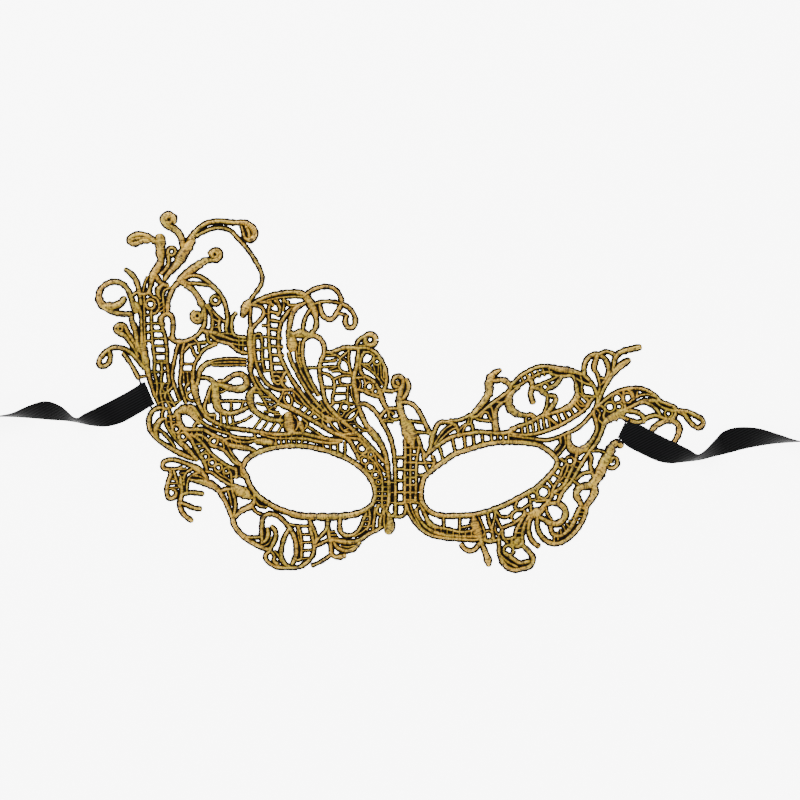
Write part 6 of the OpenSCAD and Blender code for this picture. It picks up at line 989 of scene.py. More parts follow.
# Left cheek: the hanging scrolls and cords below the left eye.
embroider("left_cheek", [
    [1.9, [-68.9,-15.4,1.7], [-68.3,-17.8], [-66.9,-20.1], [-64.9,-22.2], [-62.4,-24.1], [-59.8,-25.6],
     [-57,-26.9], [-54.2,-28,1.7]],
    [2, [-68.4,-15.4,1.4], [-66.4,-13,1.8], [-64,-11.5,2.2], [-61.6,-10.4,2.2], [-60.3,-8.6,1.8],
     [-60.2,-6.2,1.6]],
    [1.2, [-66,-21], [-63.2,-22.8], [-60.2,-23], [-57.8,-22.8]],
    [1.6, [-57.2,-24.4], [-57.3,-21], [-57.2,-17.8], [-56.9,-15.4], [-55.6,-13.9], [-53.4,-13.5],
     [-51,-14.3], [-48.9,-15.9], [-47,-18], [-45.8,-19.8]],
    [1.4, [-69.2,-2.6], [-68.8,-5.4], [-68,-8], [-67.9,-11], [-68.4,-14]],
    [1.6, [-74,-4.6], [-71.6,-3.8,1.8], [-69.4,-3.6,1.6]],
    [1, [-70.8,-4.4], [-70,-7], [-69.4,-10]],
    [3.6, [-67.4,-3.2,2.8], [-65.2,-4.6], [-62.8,-6,2.6], [-61.2,-7,1.4]],
    [1.1, [-63.8,-3.2], [-62.4,-4.8]],
    [1.6, [-55,-19.4,1.4], [-54.8,-21.8,1.9], [-55.6,-24], [-57.2,-25.2,1.2]],
    [1.7, [-53.4,-18.6,1.4], [-51.9,-20.4], [-51.8,-23], [-52.8,-25.4], [-54,-27.6]],
    [0.75, [-56.4,-26.4], [-54.4,-25.2], [-53.4,-22.8]],
    [1.4, [-53.8,-28.4], [-55.6,-29.8], [-55.5,-31.8], [-53.9,-33.4], [-51.4,-34.7], [-48.6,-35],
     [-45.4,-35], [-42.4,-34.8], [-40,-33.6], [-38.2,-32]],
    [1.2, [-53.4,-28.6], [-52.2,-30.4], [-52.4,-32.4,1.6], [-50.8,-33.8,1.6]],
    [0.9, [-52.2,-28.4], [-50.6,-30.2], [-49.6,-32.2], [-48,-34]],
    [1.6, [-46.2,-19.6], [-48,-22.4], [-49,-25.4], [-49.6,-28.4], [-49.4,-31], [-48.2,-33.4],
     [-46.4,-34.6]],
    [1.8, [-45.8,-19.6], [-44.5,-22.2], [-43.6,-25], [-43.4,-28], [-43.8,-31], [-45,-33.4,1.5]],
    [1.2, [-42.6,-18.6], [-41.7,-21.8], [-41.4,-25], [-41.4,-28.4], [-41.6,-31.4], [-43,-32]],
    [1.5, [-37.9,-16], [-37.9,-19], [-37.2,-22], [-36.5,-25], [-36.4,-28], [-37.2,-30.6], [-39,-32.6],
     [-41,-34]],
    [0.6, 4, [-41.6,-21.8], [-41.4,-31.6], [-37.4,-21.8], [-36.8,-31]],
    [0.8, [-46,-17.8], [-42.6,-18.4], [-38.4,-18.4]],
    [0.75, [-43,-18.4], [-42.6,-22.4], [-41.8,-26]],
    [1, [-59.8,-8.2], [-58.6,-10], [-57,-10.6], [-55.4,-10.8]],
    [1, [-61,-10.8], [-59.4,-12.8], [-57.2,-13.8]],
])

# Left cheek point: the loops that lead from the cheek to the nose.
embroider("left_cheek_point", [
    [3.2, [-69.2,-3.2,1.4], [-66.4,-4.4,4], [-63.8,-5.6,3.6], [-62,-6.8,2]],
    [1.4, [-38,-16.2], [-37,-18.8], [-35.9,-21.2], [-35.4,-23.4], [-36.2,-25.6]],
    [1.8, [-30.9,-15.6], [-31,-18], [-31.4,-19.8,1.5], [-33,-21.8,1.3], [-34.8,-23.6,1.3],
     [-36,-25.6,1.3]],
    [1.6, [-30.8,-19], [-30.4,-21.6], [-30,-24,1.8], [-29.6,-26.6], [-29.4,-29]],
    [1.4, [-35.8,-26.4], [-33.6,-25.4], [-31.6,-24.4], [-29.8,-23.6]],
    [1.8, [-29.8,-29.2,1.6], [-28,-30.6,1.4], [-26,-30.6], [-24.3,-30.2]],
    [1.1, [-29.6,-29.8], [-31.6,-31.3], [-34,-32.8], [-37.2,-34.2]],
    [1.6, [-26,-15.6], [-26.2,-18.6], [-25.6,-21], [-23.6,-22.2], [-21,-22,1.4], [-18.9,-20.6,1.4],
     [-17.5,-18.4,1.4], [-16.6,-16,1.3], [-15.6,-13.6,1.3]],
    [2, [-29.4,-24,1.6], [-26.4,-24.4], [-22.8,-24.9,2.2], [-19.6,-24.6,1.9], [-17,-23.2,1.6],
     [-14.4,-21.4,1.5], [-11.4,-20,1.4], [-9.4,-18.8,1.3]],
    [1.7, [-28.4,-25,1.2], [-27,-27], [-24.6,-28.1], [-22,-28.1], [-19.9,-26.9], [-18.2,-24.8,1.4]],
    [0.8, [-25.4,-26.4], [-22.8,-26.8], [-20.4,-26.2]],
    [0.75, 3, [-28,-20.6], [-26.6,-23.2], [-30,-20.8], [-29.4,-23.2]],
    [0.8, [-20.4,-22.6], [-17.4,-21], [-14.6,-18.8], [-12.6,-18]],
    [1.2, [-14.4,-11.6], [-14,-14.4], [-14.2,-17.2], [-15.2,-19.6]],
    [1.3, [-12,-11.4], [-12.2,-14.4], [-12.6,-17.2], [-12.8,-19.6]],
    [0.75, 3, [-16.8,-14.6], [-17.2,-18.6], [-14.2,-14.6], [-14.8,-18.6]],
    [1.4, [-8.4,-10.8], [-9,-13.6,1.2], [-9.9,-16], [-10,-19]],
    [1.2, [-10.6,-10.4], [-11.4,-12.2], [-10.4,-13.8], [-8.8,-13.8], [-8,-12.4]],
    [3.4, [-6.4,-14,1.8], [-6.1,-16.4,3], [-6,-18.6,3.8], [-6.6,-20.4,3]],
    [1.2, [-8.2,-14], [-8.4,-16.6], [-8,-19.2]],
])

# Nose lattice: the rings and rails at the left of the nose.
embroider("nose_lattice", [
    [1.4, [-22.8,17], [-20.4,16.6], [-18.2,16.2,1.7], [-16,14,1.6], [-13.8,12,1.6]],
    [1, [-17.1,12.6], 1.9],
    [1, [-18.2,9.4], [-16.2,10.6], [-14,11.8]],
    [1.2, [-16.8,9.9], [-14.8,9.3], [-13,7.9], [-11.4,6], [-10.2,3.6], [-9.3,1], [-9,-1.8], [-9,-4.6],
     [-9.2,-7.8], [-9.2,-10.6]],
    [0.9, [-16,7.8], 1.5],
    [0.9, [-13.9,5.2], 1.8],
    [0.9, [-11.8,2.2], 1.4],
    [0.8, [-10.6,-0.8], 1],
    [0.9, [-13.6,10.2], 1.1],
    [1, [-11.9,9.6], [-11.4,7.4], [-9.8,5.4], [-8.4,3.6]],
    [0.75, 5, [-11.2,-2.8], [-11.2,-10], [-7.2,-2.8], [-7.4,-10]],
    [0.75, 3, [-8.4,3.4], [-8,-0.8], [-7.2,3.4], [-7,-0.8]],
    [1.5, [-18.8,30.4,1.8], [-16,30.4], [-13.6,29], [-11.4,26.8], [-9.4,23.8], [-7.6,20.6], [-6,17.2],
     [-4.9,13.4], [-4.2,9], [-3.9,4], [-3.8,-2], [-3.9,-7], [-3.8,-11], [-3.7,-14.4]],
    [0.6, 3, [-6.6,-1], [-6.6,-9], [-4,-1], [-4,-9]],
    [1.4, [-6.8,-10], [-7.4,-12], [-6.6,-13.8], [-4.8,-14.4], [-3.8,-13]],
])

# Nose curls: the knob and curled cords above the nose.
embroider("nose_curls", [
    [1.5, [-19,52.6], [-17,52.9], [-14.6,52.6], [-12.2,51.2], [-10.2,49], [-8.7,46.2], [-7.7,43.2],
     [-7.4,40.2], [-7.8,37.6], [-8.6,35.6]],
    [2.1, [-13.9,56.1], 2.1],
    [1.4, [-19.4,53.4], [-19.1,55], [-17.8,56.5], [-15.8,57.6]],
    [1.1, [-18.8,53.6], [-17,53.7], [-15.4,53.6]],
    [1.5, [-16.4,51], [-17.6,48.8], [-18.1,46.2], [-17.8,43.6], [-16.6,41.8], [-14.4,40.6], [-12.3,39.2],
     [-10.9,37.2], [-9.9,35,1.9], [-9.2,32.6,2.1], [-8.4,30.4,1.8], [-7.2,28.6], [-6,27.4]],
    [1.2, [-16.6,51], [-14.6,51.2], [-12.6,50]],
    [1.1, [-17,46.4], [-15,46.2], [-13.2,47.4], [-12.4,49.4]],
    [1.1, [-11.2,47.4], 1.4],
    [1.1, [-16.6,45.8], [-14.4,44.4], [-12.1,42.5], [-10.4,40.2], [-9,38.2]],
    [0.7, 3, [-14.6,46], [-10.6,45.4], [-13,44], [-10.8,42]],
    [0.8, [-9.8,46.2], [-9.6,43.6], [-9.4,41], [-8.4,39.6]],
    [0.8, [-8.4,46], [-8.6,43.4], [-8.4,41]],
    [1.4, [-19.6,36.2], [-16.6,35.7], [-14,34.4], [-11.4,33.5], [-9.4,33.2]],
    [1.1, [-19.8,40.8], [-17.6,41], [-15.6,40.8]],
    [0.8, [-18.6,40.6], [-17.8,38.4], [-18.4,36.4]],
    [1, [-14.3,37.4], 1.7],
    [1, [-11.8,35.5], 1.3],
    [0.8, [-16.4,40.4], [-15.8,38.6], [-16.2,36.2]],
    [1.3, [-8.6,36], [-6.4,35.6], [-4.9,35.4]],
    [1.2, [-6.2,27.6], [-5,26.8], [-4.6,26.2]],
    [1.1, [-8.6,24], [-6.8,24.6], [-6.4,26.8]],
    [1.1, [-7.8,23.4], [-6.2,23.6], [-4.8,23.4]],
])

# Nose bridge: three upright rails with dark thread rungs.
embroider("nose_bridge", [
    [1.4, [0,16], [0.2,12], [0.1,8.4], [-0.1,4], [-0.1,0], [-0.1,-4.5], [-0.1,-9]],
    [1.3, [5.2,16.1], [5.6,13.8], [5,10], [4.5,6], [4.4,0], [4.3,-5], [4,-9]],
    [1.2, 8, [0,13], [0,-8], [4.6,13], [4.3,-8]],
    [1.2, [2.2,13], [2.2,8], [2.1,2], [2.1,-4], [2.2,-9]],
    [1.1, 5, [-3.9,9], [-3.8,-9.5], [0,9], [0,-9.5]],
    [1.2, [-3.9,-9.4], [0,-9], [3,-8.8], [5.4,-9.2], [6.8,-11]],
    [1.3, [-3.8,-14.4], [-2,-14.6], [-0.4,-13.8], [0.3,-11.8], [0.1,-9.5]],
    [1.2, [4.5,6.8], [6.5,6.8], [8.6,6.6]],
    [1.2, [4.5,1.8], [6.5,1.8], [8.8,2.2]],
    [1.2, [7.4,10.4], [7.6,8.2], [8.3,5.9], [9.2,3.6], [9.4,2.4]],
    [1.4, [11,9.4], [11.7,7.3], [11,5]],
    [1, [8,7.4], [10,6.8], [11.6,6.8]],
])

# Centre leaf: the satin leaf over the nose, its stem and its two small curls.
embroider("centre_leaf", [
    [2.6, [-0.6,24.4,2.6], [0.4,21.6,4.2], [1.4,18.6,4.6], [2.4,15.6,3.4], [3.4,12.8,1.4]],
    [1.4, [-9.6,25.6], [-8,27.6], [-6,28.5], [-3.6,28.6], [-1.8,28.4]],
    [1.1, [-6.8,27.6], [-6.2,25.4], [-4.6,24.2], [-2.4,24.6], [-1.2,25.6]],
    [1.1, [-9.8,36.2], [-7,35.6], [-4.4,35.8], [-2,36.2]],
    [1.6, [-3,39], [-2.7,38.6]],
    [1.6, [-2.4,37], [-4.2,37.6], [-4.8,39.4], [-4,41], [-2.4,41.4,2], [-1,40.4,2], [-0.8,38.4,2],
     [-1.6,36,2.4], [-2.1,33.4,2.6], [-2.2,30.6,2.6], [-1.8,27.6,2.6], [-1.2,25.6,2.4]],
    [1.8, [0.6,40], [1.3,37.9], [0.9,35.4], [-0.4,33]],
    [1.6, [-1.4,31.1], [1.1,31], [3.4,30], [5.6,27.3], [7.4,23.8], [8.8,21], [10,18.6]],
    [2.2, [-1,26], [-0.3,24,3], [0.8,22,4.2], [1.8,19.8,5.2], [2.3,18,5.4], [2.3,16.4,4.4]],
    [1, [1.5,23.6], [4.2,23.4], [7,22.9]],
    [1.1, [5,19.2], [7.6,19], [11.1,19]],
    [1.4, [5.2,17], [6.1,13.8], [7.6,10.6], [8.4,9.4]],
    [1.4, [11.2,19], [10.4,16.1], [10.4,13.6], [9.4,11.6]],
])

# Right brow ladder: the cord over the right eye and the bars below it.
embroider("right_brow_ladder", [
    [1.7, [7.6,9.2], [10.2,11.5], [12.9,13.7], [16.1,15.9], [19.3,17.4], [22.5,18.1], [25.6,18.6],
     [29.3,19.2], [33,18.9], [37.5,18.6], [41,19], [44,20.4]],
    [1, [13.6,13.6], [14.4,11.2], [15.3,7.8]],
    [1, [19,16.8], [19.4,14.4], [20.2,11]],
    [1, 4, [23.6,18], [34.4,18.4], [24.2,12.6], [34.8,15]],
    [0.8, 3, [37,18.2], [41.4,18.4], [37.2,15.6], [41.4,15.8]],
    [1.6, [10.6,14.6], [11.6,18.6], [12.6,21.4], [14,22.9], [16.4,23.1], [18.8,22.7], [20.4,21.5],
     [21.3,19.6], [21.8,18.2]],
    [1, [11.8,14.4], [14.2,18.2], [16.3,20.6], [18.6,22]],
    [1, [12.4,14], [15.6,17.6], [18.8,20.2], [21,20.8]],
    [1.4, [18,23.6], [21.1,23.8], [23.8,24.7], [26.2,26.1]],
    [1, [21.4,19.6], [23.8,22], [26,22.4], [26.6,24.4]],
    [1, [25.6,24.6], [25,22.6], [23.6,20.6], [23,18.6]],
    [1.2, [26.2,23.2], [27,21], [27.2,18.8]],
    [1.1, [27.2,25.4], [29.2,24.2], [32,23.8], [35.4,23.6]],
])

# Right horn: the upswept leaf tip and hook over the right brow.
embroider("right_horn", [
    [1.6, [26.4,25.6], [28.4,27.7,2], [30.6,30.2,2.4], [32.6,32.9,2.6], [33.7,35.6,3], [33.6,38.4,3.2],
     [34.4,41,3], [36,42.8,2.2], [38.2,44,1.2]],
    [1.5, [27,25], [29.2,25.8], [31.4,27.8], [34.4,30.3], [37,32.1], [39.4,33.9], [41.4,35.4],
     [42.2,37.2,1.8], [41,39,2], [38.8,40.1,2], [36.6,39.9,1.8], [35,39.6,1.4]],
    [1.2, [30.2,25.2], [31.4,27], [33,27], [33.8,25.4], [34.6,23.8]],
    [1.2, [32.6,28.6], [34.2,29.4], [35,27.6], [35.4,25.4]],
    [1.6, [38.6,30.8], [36.6,28.6], [36,25.6,2.2], [36,22.9,2.4], [36.4,20,2.6]],
    [1.2, [33.4,29.4], [36,31.2], [38.4,31], [40.4,31.6]],
])

# Right brow scroll: the large oval scroll with curled cords inside.
embroider("right_brow_scroll", [
    [1.6, [45.4,37.4], [43.4,35.6], [41.8,33.8,2.6], [41.3,31.4,3.4], [42.2,28.6,3], [44.8,26.5,2.4],
     [48.4,25.8], [50.8,25.9], [52.2,24.6,1.4]],
    [1.1, [49.8,24.2], 1.5],
    [1.5, [42.4,38], [44.2,39.6], [46.4,41.7], [49.4,43.5], [52.6,45], [56,45.4], [58.6,44.9,2],
     [61.8,44.2,2.6], [65.5,43.7,2.4], [69.1,42.8,1.8], [71.8,41.6,1.6], [74.1,39.3], [75.9,36.6],
     [76.8,34], [77,31.4], [76.4,29.1]],
    [1.2, [43.6,37.4], [46,38.2], [48.4,39.6], [51.4,41.3], [55,43], [58.4,43.2]],
    [0.8, 6, [46.4,41.4], [57.4,45], [47.6,39], [58,42.4]],
    [1.4, [58.6,42.4], [60.8,41.7], [63.6,41.6], [66.8,41.8], [68.2,39.5], [68.8,36.4,1.8], [68.8,33.6,2.2],
     [67.3,30.9,2.4], [65.2,29,2.4], [62,27.7,1.8], [58.2,26.6,1.6], [54.5,25.5,1.6], [51.8,24.1,1.6],
     [48.6,22.5,1.6], [45,21.3,1.6], [42.4,20.2,1.6]],
    [1.5, [42,18.6], [45,18.1], [48.4,18], [51.6,18.4], [55,19.3], [58.2,20.4], [61.4,21.7], [64.5,23.4],
     [67.7,25.4], [70.5,27.2], [72.7,29.2], [74.3,31.8], [75.6,33.4]],
    [0.9, 6, [46.6,22], [57.2,26.4], [47,18.2], [58.2,20.6]],
    [1, 4, [60.6,27.2], [67.6,30.6], [62.6,22.4], [70.4,27.2]],
    [1.4, [56.4,25.6], [58.6,23.9], [60.4,22.4], [61.2,21.6]],
    [1.1, [70,42], [70.8,39], [70.6,36.4], [71.2,34.2], [73.4,33.4], [76,33.4]],
    [1.2, [68.4,40.6], [71.8,38.8], [74.6,38]],
    [1, [71.1,31.6], 2.1],
    [1.1, 3, [67.4,31], [69.4,35], [70,28.2], [73.6,31.4]],
    [1.8, [49.8,41], [50.8,38.4], [50.7,36.4], [50.2,34.4], [50.7,32.4], [51.2,31]],
    [1.6, [50.8,36.8], [53.6,36.6,2], [55.4,35,2], [57.2,33.8], [59.6,33.5], [60.2,31.8], [58.8,29.4,2.2],
     [56.6,26.8,2]],
    [1.2, [57,33.4], [56.8,30], [55.4,26.4]],
    [1.2, [52,37.4], [55,38.6], [57.7,39.7], [60.6,41.2]],
    [1, [56,37.2], 1.5],
    [1.8, [57.4,36.8], [59.8,37.8], [61.4,39.6], [62.4,41.4]],
])

# Right fronds: the loop and two tips that rise beside the oval scroll.
embroider("right_tip_fronds", [
    [1.8, [71.6,42.4], [71.6,44.8], [72.4,47.6], [74.2,49.6], [76.6,50.2], [79,49.4], [80.6,47.4],
     [81.4,44.8], [81.4,42.4], [80.4,40.4], [79,38.6,1.4]],
    [2, [76.8,49.8], [76.2,47.6], [75.6,45.6], [75.7,43.8,1.4]],
    [1.3, [75.8,44], [76.9,42.4], [77.6,40], [78,37.3], [77.4,34.6], [77,32.4]],
    [1.4, [77.6,50.3], [80.4,51.3], [83,50.6], [84.4,49.4]],
    [2, [83.2,43.8,1.4], [83.6,46.6,1.6], [84.2,49], [85.8,50.8], [88.2,51.8], [91,52.5], [93.8,53.1]],
    [2, [89.4,47.9], [87.4,46.6,2.4], [85,44.8,2.6], [83,42.6,2.2], [81.2,39.8,1.8], [79.4,36.4,1.5],
     [78,33.2,1.5], [77.2,30.6,1.5]],
    [1, [81.2,42.6], [80,40.6], [78.2,40.8]],
])

# Right wing: the outer wing of the temple, with its rings and satin leaf.
embroider("right_wing", [
    [1.5, [77.4,29.6], [79,31.2], [81.2,33], [84,34.8], [87,36], [89.6,36.5], [92.5,36.7], [95.6,36.2],
     [98.4,34.9], [100.6,33.1], [102.2,31.4], [104.7,30.4], [107.4,29.2], [108.8,27.7]],
    [2.2, [79,20.8,1.6], [79.8,23], [81.4,24.4,2.8], [83.8,25.6,3.6], [86.4,26.9,3.6], [88.2,28.4,2]],
    [1.3, [78.4,29.8], [80,28], [79.4,25.8], [80,23.6]],
    [1, [84.8,32.6], 2],
    [1, [81.9,29.2], 2],
    [1, [85.5,29.4], 1.5],
    [1, [88.9,32.8], 2],
    [1.4, [87.4,35.8], [87.2,32.7], [87.8,30], [88.2,28.2]],
    [1.6, [89.3,36.2], [90.7,34.8], [91.5,32.7]],
    [1.1, [91,32], [93.8,33.8], [97,34.2], [100,33.4]],
    [0.9, [93,35.2], [92.6,33.6]],
    [1.6, [88.6,28.4], [90.2,29.2], [92.5,30.4], [95.2,31.4,2], [97.9,31.7,2], [100.6,31.8], [102.4,31.2]],
    [1.7, [88.6,27.6], [90.8,27.5], [93,27], [94.9,25.7], [95.8,24.4], [97.9,25.4], [100.2,25.8],
     [102.4,25.2]],
    [1.6, [85.8,26], [87.4,25], [89.3,24.1], [92.5,23.2], [95.6,23.6]],
    [1.4, [96.4,31], [98.8,29.8], [101.1,27.7], [102.2,25.4]],
    [1.1, [100.4,31.2], [102.4,29.4], [105.2,28.2,1.6], [108.4,27.6,1.6]],
    [1, [105.4,26.6], 1.5],
    [1.6, [102.2,25.2], [104.3,24.5], [106.8,24.4,2.2], [108,26], [108.6,27.6]],
])

# Right wing tip: the end loop of the wing and the arch below it.
embroider("right_wing_tip", [
    [1.7, [107.4,27.7], [110.2,27.5], [113,27.2], [116.1,25.8], [118.6,24.3], [119.2,22.5], [117.4,20.9],
     [115,22.2], [113.2,24.3], [111.8,26.2], [109.8,27.2]],
    [2, [98.8,20], [100.2,21.6], [102.5,23], [105.2,23.9], [107.9,23.4], [109.6,21.4], [109.3,18.2],
     [107.6,15,1.6]],
])

# Right temple: the cords and cup-shaped leaf beside the right eye.
embroider("right_temple", [
    [1.6, [76.4,29.1], [75.4,26.8], [76.4,23.6], [76.8,20.5], [75.9,17.6], [74.1,14.7], [72.3,12,2]],
    [1.3, [77.2,30.4], [75.7,28], [73.6,25.3], [71.2,22.6], [68.2,20.3], [64.5,18.5], [60.9,17], [57.3,16],
     [54.4,16], [50.6,16.6], [46,17.2], [42,17.8]],
    [1.1, [76.6,28.6], [78,26.6], [77.4,24.4], [79,22.6]],
    [1.2, [62,17.2], [62.2,14.4], [60.2,11.8]],
    [1.1, [63.8,18], [64.2,14.4], [62.6,11.6], [60.8,9.8]],
    [1.8, [65.4,18.8], [65.4,15.6,2], [66.4,12.8,3], [68.8,11.5,3.4], [71.4,12.4,2.6], [73.8,14.6,1.8],
     [75.6,17]],
    [1.6, [79.2,21.4], [77.8,17.4], [76,14.2], [73.7,11.4], [71.8,8.4], [70,5.5], [68.2,2.3], [66.2,-0.9],
     [63.8,-3.6], [62.3,-5.9], [61.2,-8.8]],
    [1.6, [68.6,10.4], [67.7,6.4], [66,2.9], [64.4,-0.5], [62.5,-3.1], [59.6,-5], [58,-7.6], [56.6,-9.2]],
    [0.8, 7, [67.8,7.8], [60,-5.4], [70.8,7], [62.6,-6]],
    [1.3, [62.4,8.4], [64.4,6.6], [63,4.4], [62.2,1.8], [60.8,-0.9], [59.4,-3.2], [58.6,-5.6]],
    [1, [66,7.6], 1.7],
    [1.1, [65.2,6], [64.6,3.8], [63.4,1.4], [61.6,-0.8]],
    [1, [60.6,5.6], [62.4,4.6]],
    [1, [59,2.6], [61,1.4], [62.2,1.6]],
    [1, [57,0.6], [58.4,-1.4], [59.6,-3]],
    [1.1, [55.3,-4.9], 2.5],
    [1, [51.1,-6.3], 1.7],
    [1.2, [51,-4.6], [53,-5.6], [53.4,-7.6]],
    [1.3, [52.4,-8.4], [55,-8.2], [58,-7.8]],
])

# Right temple scroll: the broad satin band that ends in a loop.
embroider("right_c_scroll", [
    [2.2, [86.4,13.8], [84.8,14.8,2.6], [82.8,13.4,3], [81.8,10.9,3.6], [80.4,8.4,4], [79.1,5.8,4],
     [77.6,2.4,4], [75.8,-0.6,3.4], [73.8,-2.2,3], [71.4,-2.5,2.6], [69.2,-3.7,2.6], [68.5,-6,2.4],
     [69.8,-8.5,2], [70.8,-10.8,1.8]],
    [2.6, [75.4,-1.6], [75.8,-4.4,2.8], [74.8,-7,2.6], [73.2,-9.2,2.2], [71.8,-11.2,1.8]],
    [1.4, [81.6,5], [83.4,4.9], [84.9,6.4], [84.6,8.4], [83,8.8], [82.4,7.2]],
    [1.5, [73.2,11.2], [74.4,9], [74.1,6], [74.8,3.4], [75.6,1]],
    [1.1, [75.2,11.6], [77.6,11.8], [80.4,10.8]],
    [1.4, [68.6,0.6], [71.2,2.6], [74.6,3.2]],
    [1.3, [67.4,-0.4], [69,-1.6], [70.4,-2.6]],
])

# Right cheek ring: the satin knot, ring and curved double cord below the eye.
embroider("right_cheek_ring", [
    [1.8, [54.6,-11.6], [56,-10], [58.6,-9.2], [61.4,-9.5,2], [63.6,-11.2,2.2], [64.2,-13.6,2.4],
     [63.2,-16,2.4], [60.9,-17.5,2.4], [58.2,-17.2,2.4], [55.8,-15.9,1.8], [54,-15,1.6]],
    [1, [56.4,-11.2], [57,-13.6], [58.6,-15.8]],
    [2.2, [49.9,-13.6], [51.4,-13.6,4], [53.2,-12.8,4], [55,-11.8,2]],
    [1.7, [53,-15], [52.9,-18.8], [54.4,-22.2], [56.8,-24.4], [59.7,-25.4], [62.7,-24.8], [65.8,-22.8],
     [68.5,-20], [70.7,-16.7], [72.1,-13.2], [72.5,-11]],
    [1.8, [58.4,-17.8], [58.4,-20], [59.6,-21.8], [61.8,-22.4,1.6], [64.1,-21.2,1.6], [66.2,-19,2],
     [67.9,-15.9], [69,-13], [70.4,-10.8]],
    [0.9, 9, [59.8,-22], [69.2,-12.8], [59.6,-25.2], [72.2,-13]],
    [1.7, [50.8,-14.4], [49.6,-17.2], [49.4,-20.2], [50.2,-23.2], [51.8,-25.3], [53.4,-26.4]],
    [1.3, [50,-7.4], [50.2,-9.6], [50.4,-12]],
])

# Right cheek loops: the hanging loop and its knot.
embroider("right_cheek_loops", [
    [1.6, [50,-14], [48.2,-17], [47.2,-20], [46.8,-23], [46.8,-25.4], [45,-26.6], [43,-25.8],
     [42.7,-23.6]],
    [1.4, [48.6,-13], [46.2,-16.8], [44.6,-20], [44,-23]],
    [0.9, 4, [45.6,-17.4], [44,-23], [48.2,-17.4], [46.8,-23]],
    [3, [44.8,-24.6], [45,-24.4]],
    [1.8, [46.6,-25.8], [49,-28], [50.8,-30.4], [51,-32.8], [49.4,-34.7], [46.8,-35.4], [44,-35.9],
     [41.2,-35], [39,-32.6], [37.8,-29.4,1.5], [37.6,-26,1.4], [37.4,-23,1.4]],
    [1.7, [40.4,-29.6], [43.4,-31.7], [45.9,-33.2], [49.4,-32.6]],
    [1.2, [41.4,-28.1], 2],
    [1.3, [38.4,-30.4], [41.2,-32.8], [44.6,-34.6]],
    [1.3, [38.8,-20], [39.2,-22.8], [41,-25], [42.6,-26.4]],
    [1.2, [39.4,-23.4], [41.4,-23.6], [43.4,-23]],
    [1.2, [42.6,-16], [42.8,-13.6], [45,-12], [47.6,-12], [47.2,-14.2], [44.4,-16.4], [42.6,-16]],
    [1.3, [38.7,-19.2], [41,-18.3], [43.6,-17.3], [46,-15.6]],
    [1.2, [44.8,-8.6], [44,-11], [46,-12], [48.6,-10.6], [50,-9.6]],
    [1.1, [36.4,-12.4], [38.4,-14.6], [41.4,-14.6], [43.2,-13]],
    [1.1, [35.8,-13], [36.8,-16], [38.6,-19.4]],
])

# Right cheek band: the three cords under the right eye.
embroider("right_cheek_band", [
    [1.6, [7,-11.4], [8.4,-14.6], [9.6,-17.2,2.2], [11.6,-18.6,1.8], [15.1,-19.3,1.3], [18.7,-20.1,1.3],
     [21.9,-20.8,1.3], [25.4,-20.6,1.3], [27.6,-20]],
    [1.5, [4.4,-12.2,2], [5.1,-14.5], [6.9,-17.2], [9.2,-19.4], [11.8,-20.8,1.8], [15,-21.7,1.8],
     [18.8,-22.3,1.8], [23.3,-22.6,1.6], [28.6,-22.6,1.6]],
    [1.4, [0.4,-9.6], [1.6,-13], [3.3,-15.8], [5.4,-18.4], [8,-20.6], [11.2,-22.2], [15.6,-23.1],
     [20,-23.5], [24,-23.8], [27.4,-24], [29.8,-23.6]],
    [1, [2,-9.4], [3,-12.6], [4.4,-15.4], [6,-18.4]],
    [1, [4.6,-12], [5.8,-10.4], [7,-11]],
    [1, [15.4,-14.6], [15.5,-18.8]],
    [1, [21.9,-14.8], [21.9,-20.6]],
    [0.9, [22.4,-19], [25.6,-18.4], [27.2,-17.6]],
    [0.7, 7, [12,-19], [26.6,-20.8], [12,-21], [26.6,-22.6]],
])

# Right cheek leaf: the satin leaf under the eye, its tail and hook.
embroider("right_cheek_leaf", [
    [1.6, [27.4,-14.6], [27.9,-17.2,3.6], [28.7,-20,4.4], [29.8,-22.3,3.2], [30.4,-24.4,1.8]],
    [1.8, [30.4,-24.4], [31.6,-27.6], [32.5,-30,2.2], [33.2,-32.2,2.4], [33.5,-34.2,1.2]],
    [1.7, [30,-25.2], [28,-27.6], [26,-28.3], [24,-27.5], [22.6,-25.9]],
    [0.9, [29.6,-15], [31,-18.2], [31.9,-21.4], [32.2,-24]],
    [1.4, [33,-12.8], [33.7,-16.8], [34.8,-19.8], [35.4,-23.6]],
    [1.1, [36.4,-12.4], [35.6,-16.2], [34.8,-19.4]],
    [1, [33.3,-22.2], 1.9],
    [1.4, [30.8,-23.8], [34,-24.6], [37.6,-23.8]],
    [1, [36.2,-18], [36.2,-20.4], [37.6,-21.8], [38.8,-20]],
])

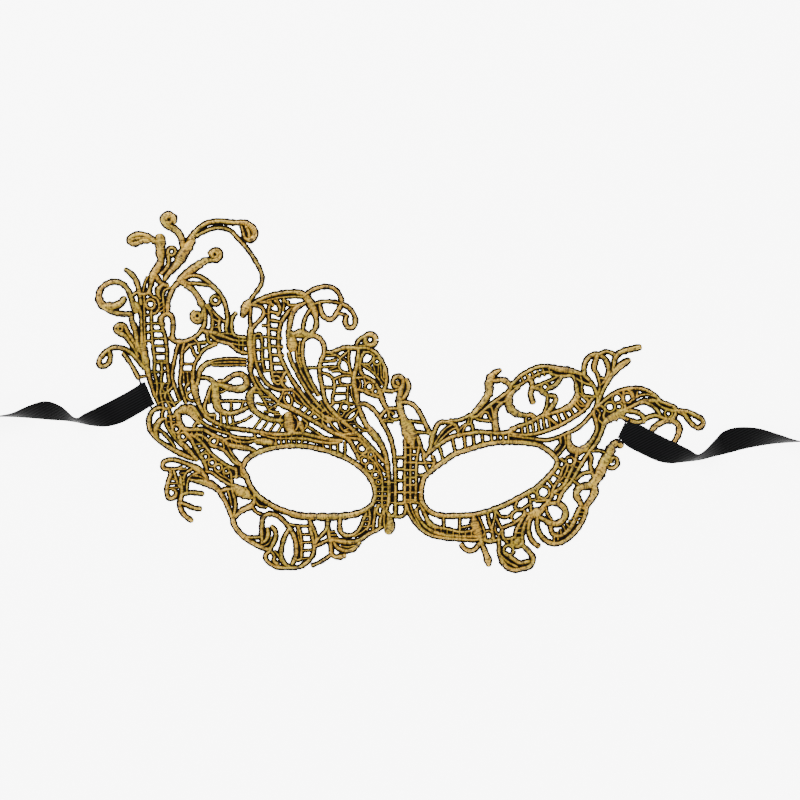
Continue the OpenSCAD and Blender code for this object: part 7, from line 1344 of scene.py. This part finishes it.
# Right eye rim: the closed cord around the right eye opening.
embroider("right_eye_rim", [
    [1.9, [6.3,-5], [6.8,-1.5], [8,1.5], [12,5], [16,7.8], [20,10.5], [25,12.2], [30,13.8], [36,15],
     [42,15.3], [48,15], [53,14.2], [57,12], [60,9.3], [61,7], [60.3,5], [58,2], [55,-1], [52,-3.5],
     [48,-5.8], [43,-8.5], [38,-10.8], [33,-12.6], [27,-14], [21,-14.3], [15,-14.3], [11,-13.2], [8.2,-11],
     [6.5,-8], [6.3,-5]],
])


# ---------------------------------------------------------------- table and light
# A plain white light table, wide enough to be the whole background and brighter than the lace.
# Two large soft lamps stand either side of the camera, and the surround fills in the shadows.
table_mesh = bpy.data.meshes.new("table_top")
table_half = 2.5
table_drop = -0.05 * MM
table_glow = 7
table_mesh.from_pydata(
    [(x * table_half, y * table_half, table_drop) for x, y in ((-1, -1), (1, -1), (1, 1), (-1, 1))],
    [],
    [(0, 1, 2, 3)],
)
table = bpy.data.objects.new("table_top", table_mesh)
bpy.context.collection.objects.link(table)
paper = bpy.data.materials.new("white_paper_table")
paper.use_nodes = True
paper_finish = paper.node_tree.nodes["Principled BSDF"]
paper_finish.inputs["Base Color"].default_value = linear("FFFFFF")
paper_finish.inputs["Roughness"].default_value = 0.9
paper_finish.inputs["Emission Color"].default_value = (1, 1, 1, 1)
paper_finish.inputs["Emission Strength"].default_value = table_glow
table_mesh.materials.append(paper)

for lamp_name, place, power, size in (
    ("key_softbox", (-0.7, 0.9, 1.3), 36, 0.9),
    ("fill_softbox", (0.9, -0.6, 1.2), 9, 1.2),
):
    lamp = bpy.data.lights.new(lamp_name, "AREA")
    lamp.energy = power
    lamp.size = size
    stand = bpy.data.objects.new(lamp_name, lamp)
    stand.location = place
    aim = Vector((0, 0.03, 0)) - Vector(place)
    stand.rotation_euler = aim.to_track_quat("-Z", "Y").to_euler()
    bpy.context.collection.objects.link(stand)
surround_light = 0.55
surround = bpy.data.worlds.new("white_surround")
surround.use_nodes = True
surround.node_tree.nodes["Background"].inputs["Color"].default_value = (1, 1, 1, 1)
surround.node_tree.nodes["Background"].inputs["Strength"].default_value = surround_light
bpy.context.scene.world = surround
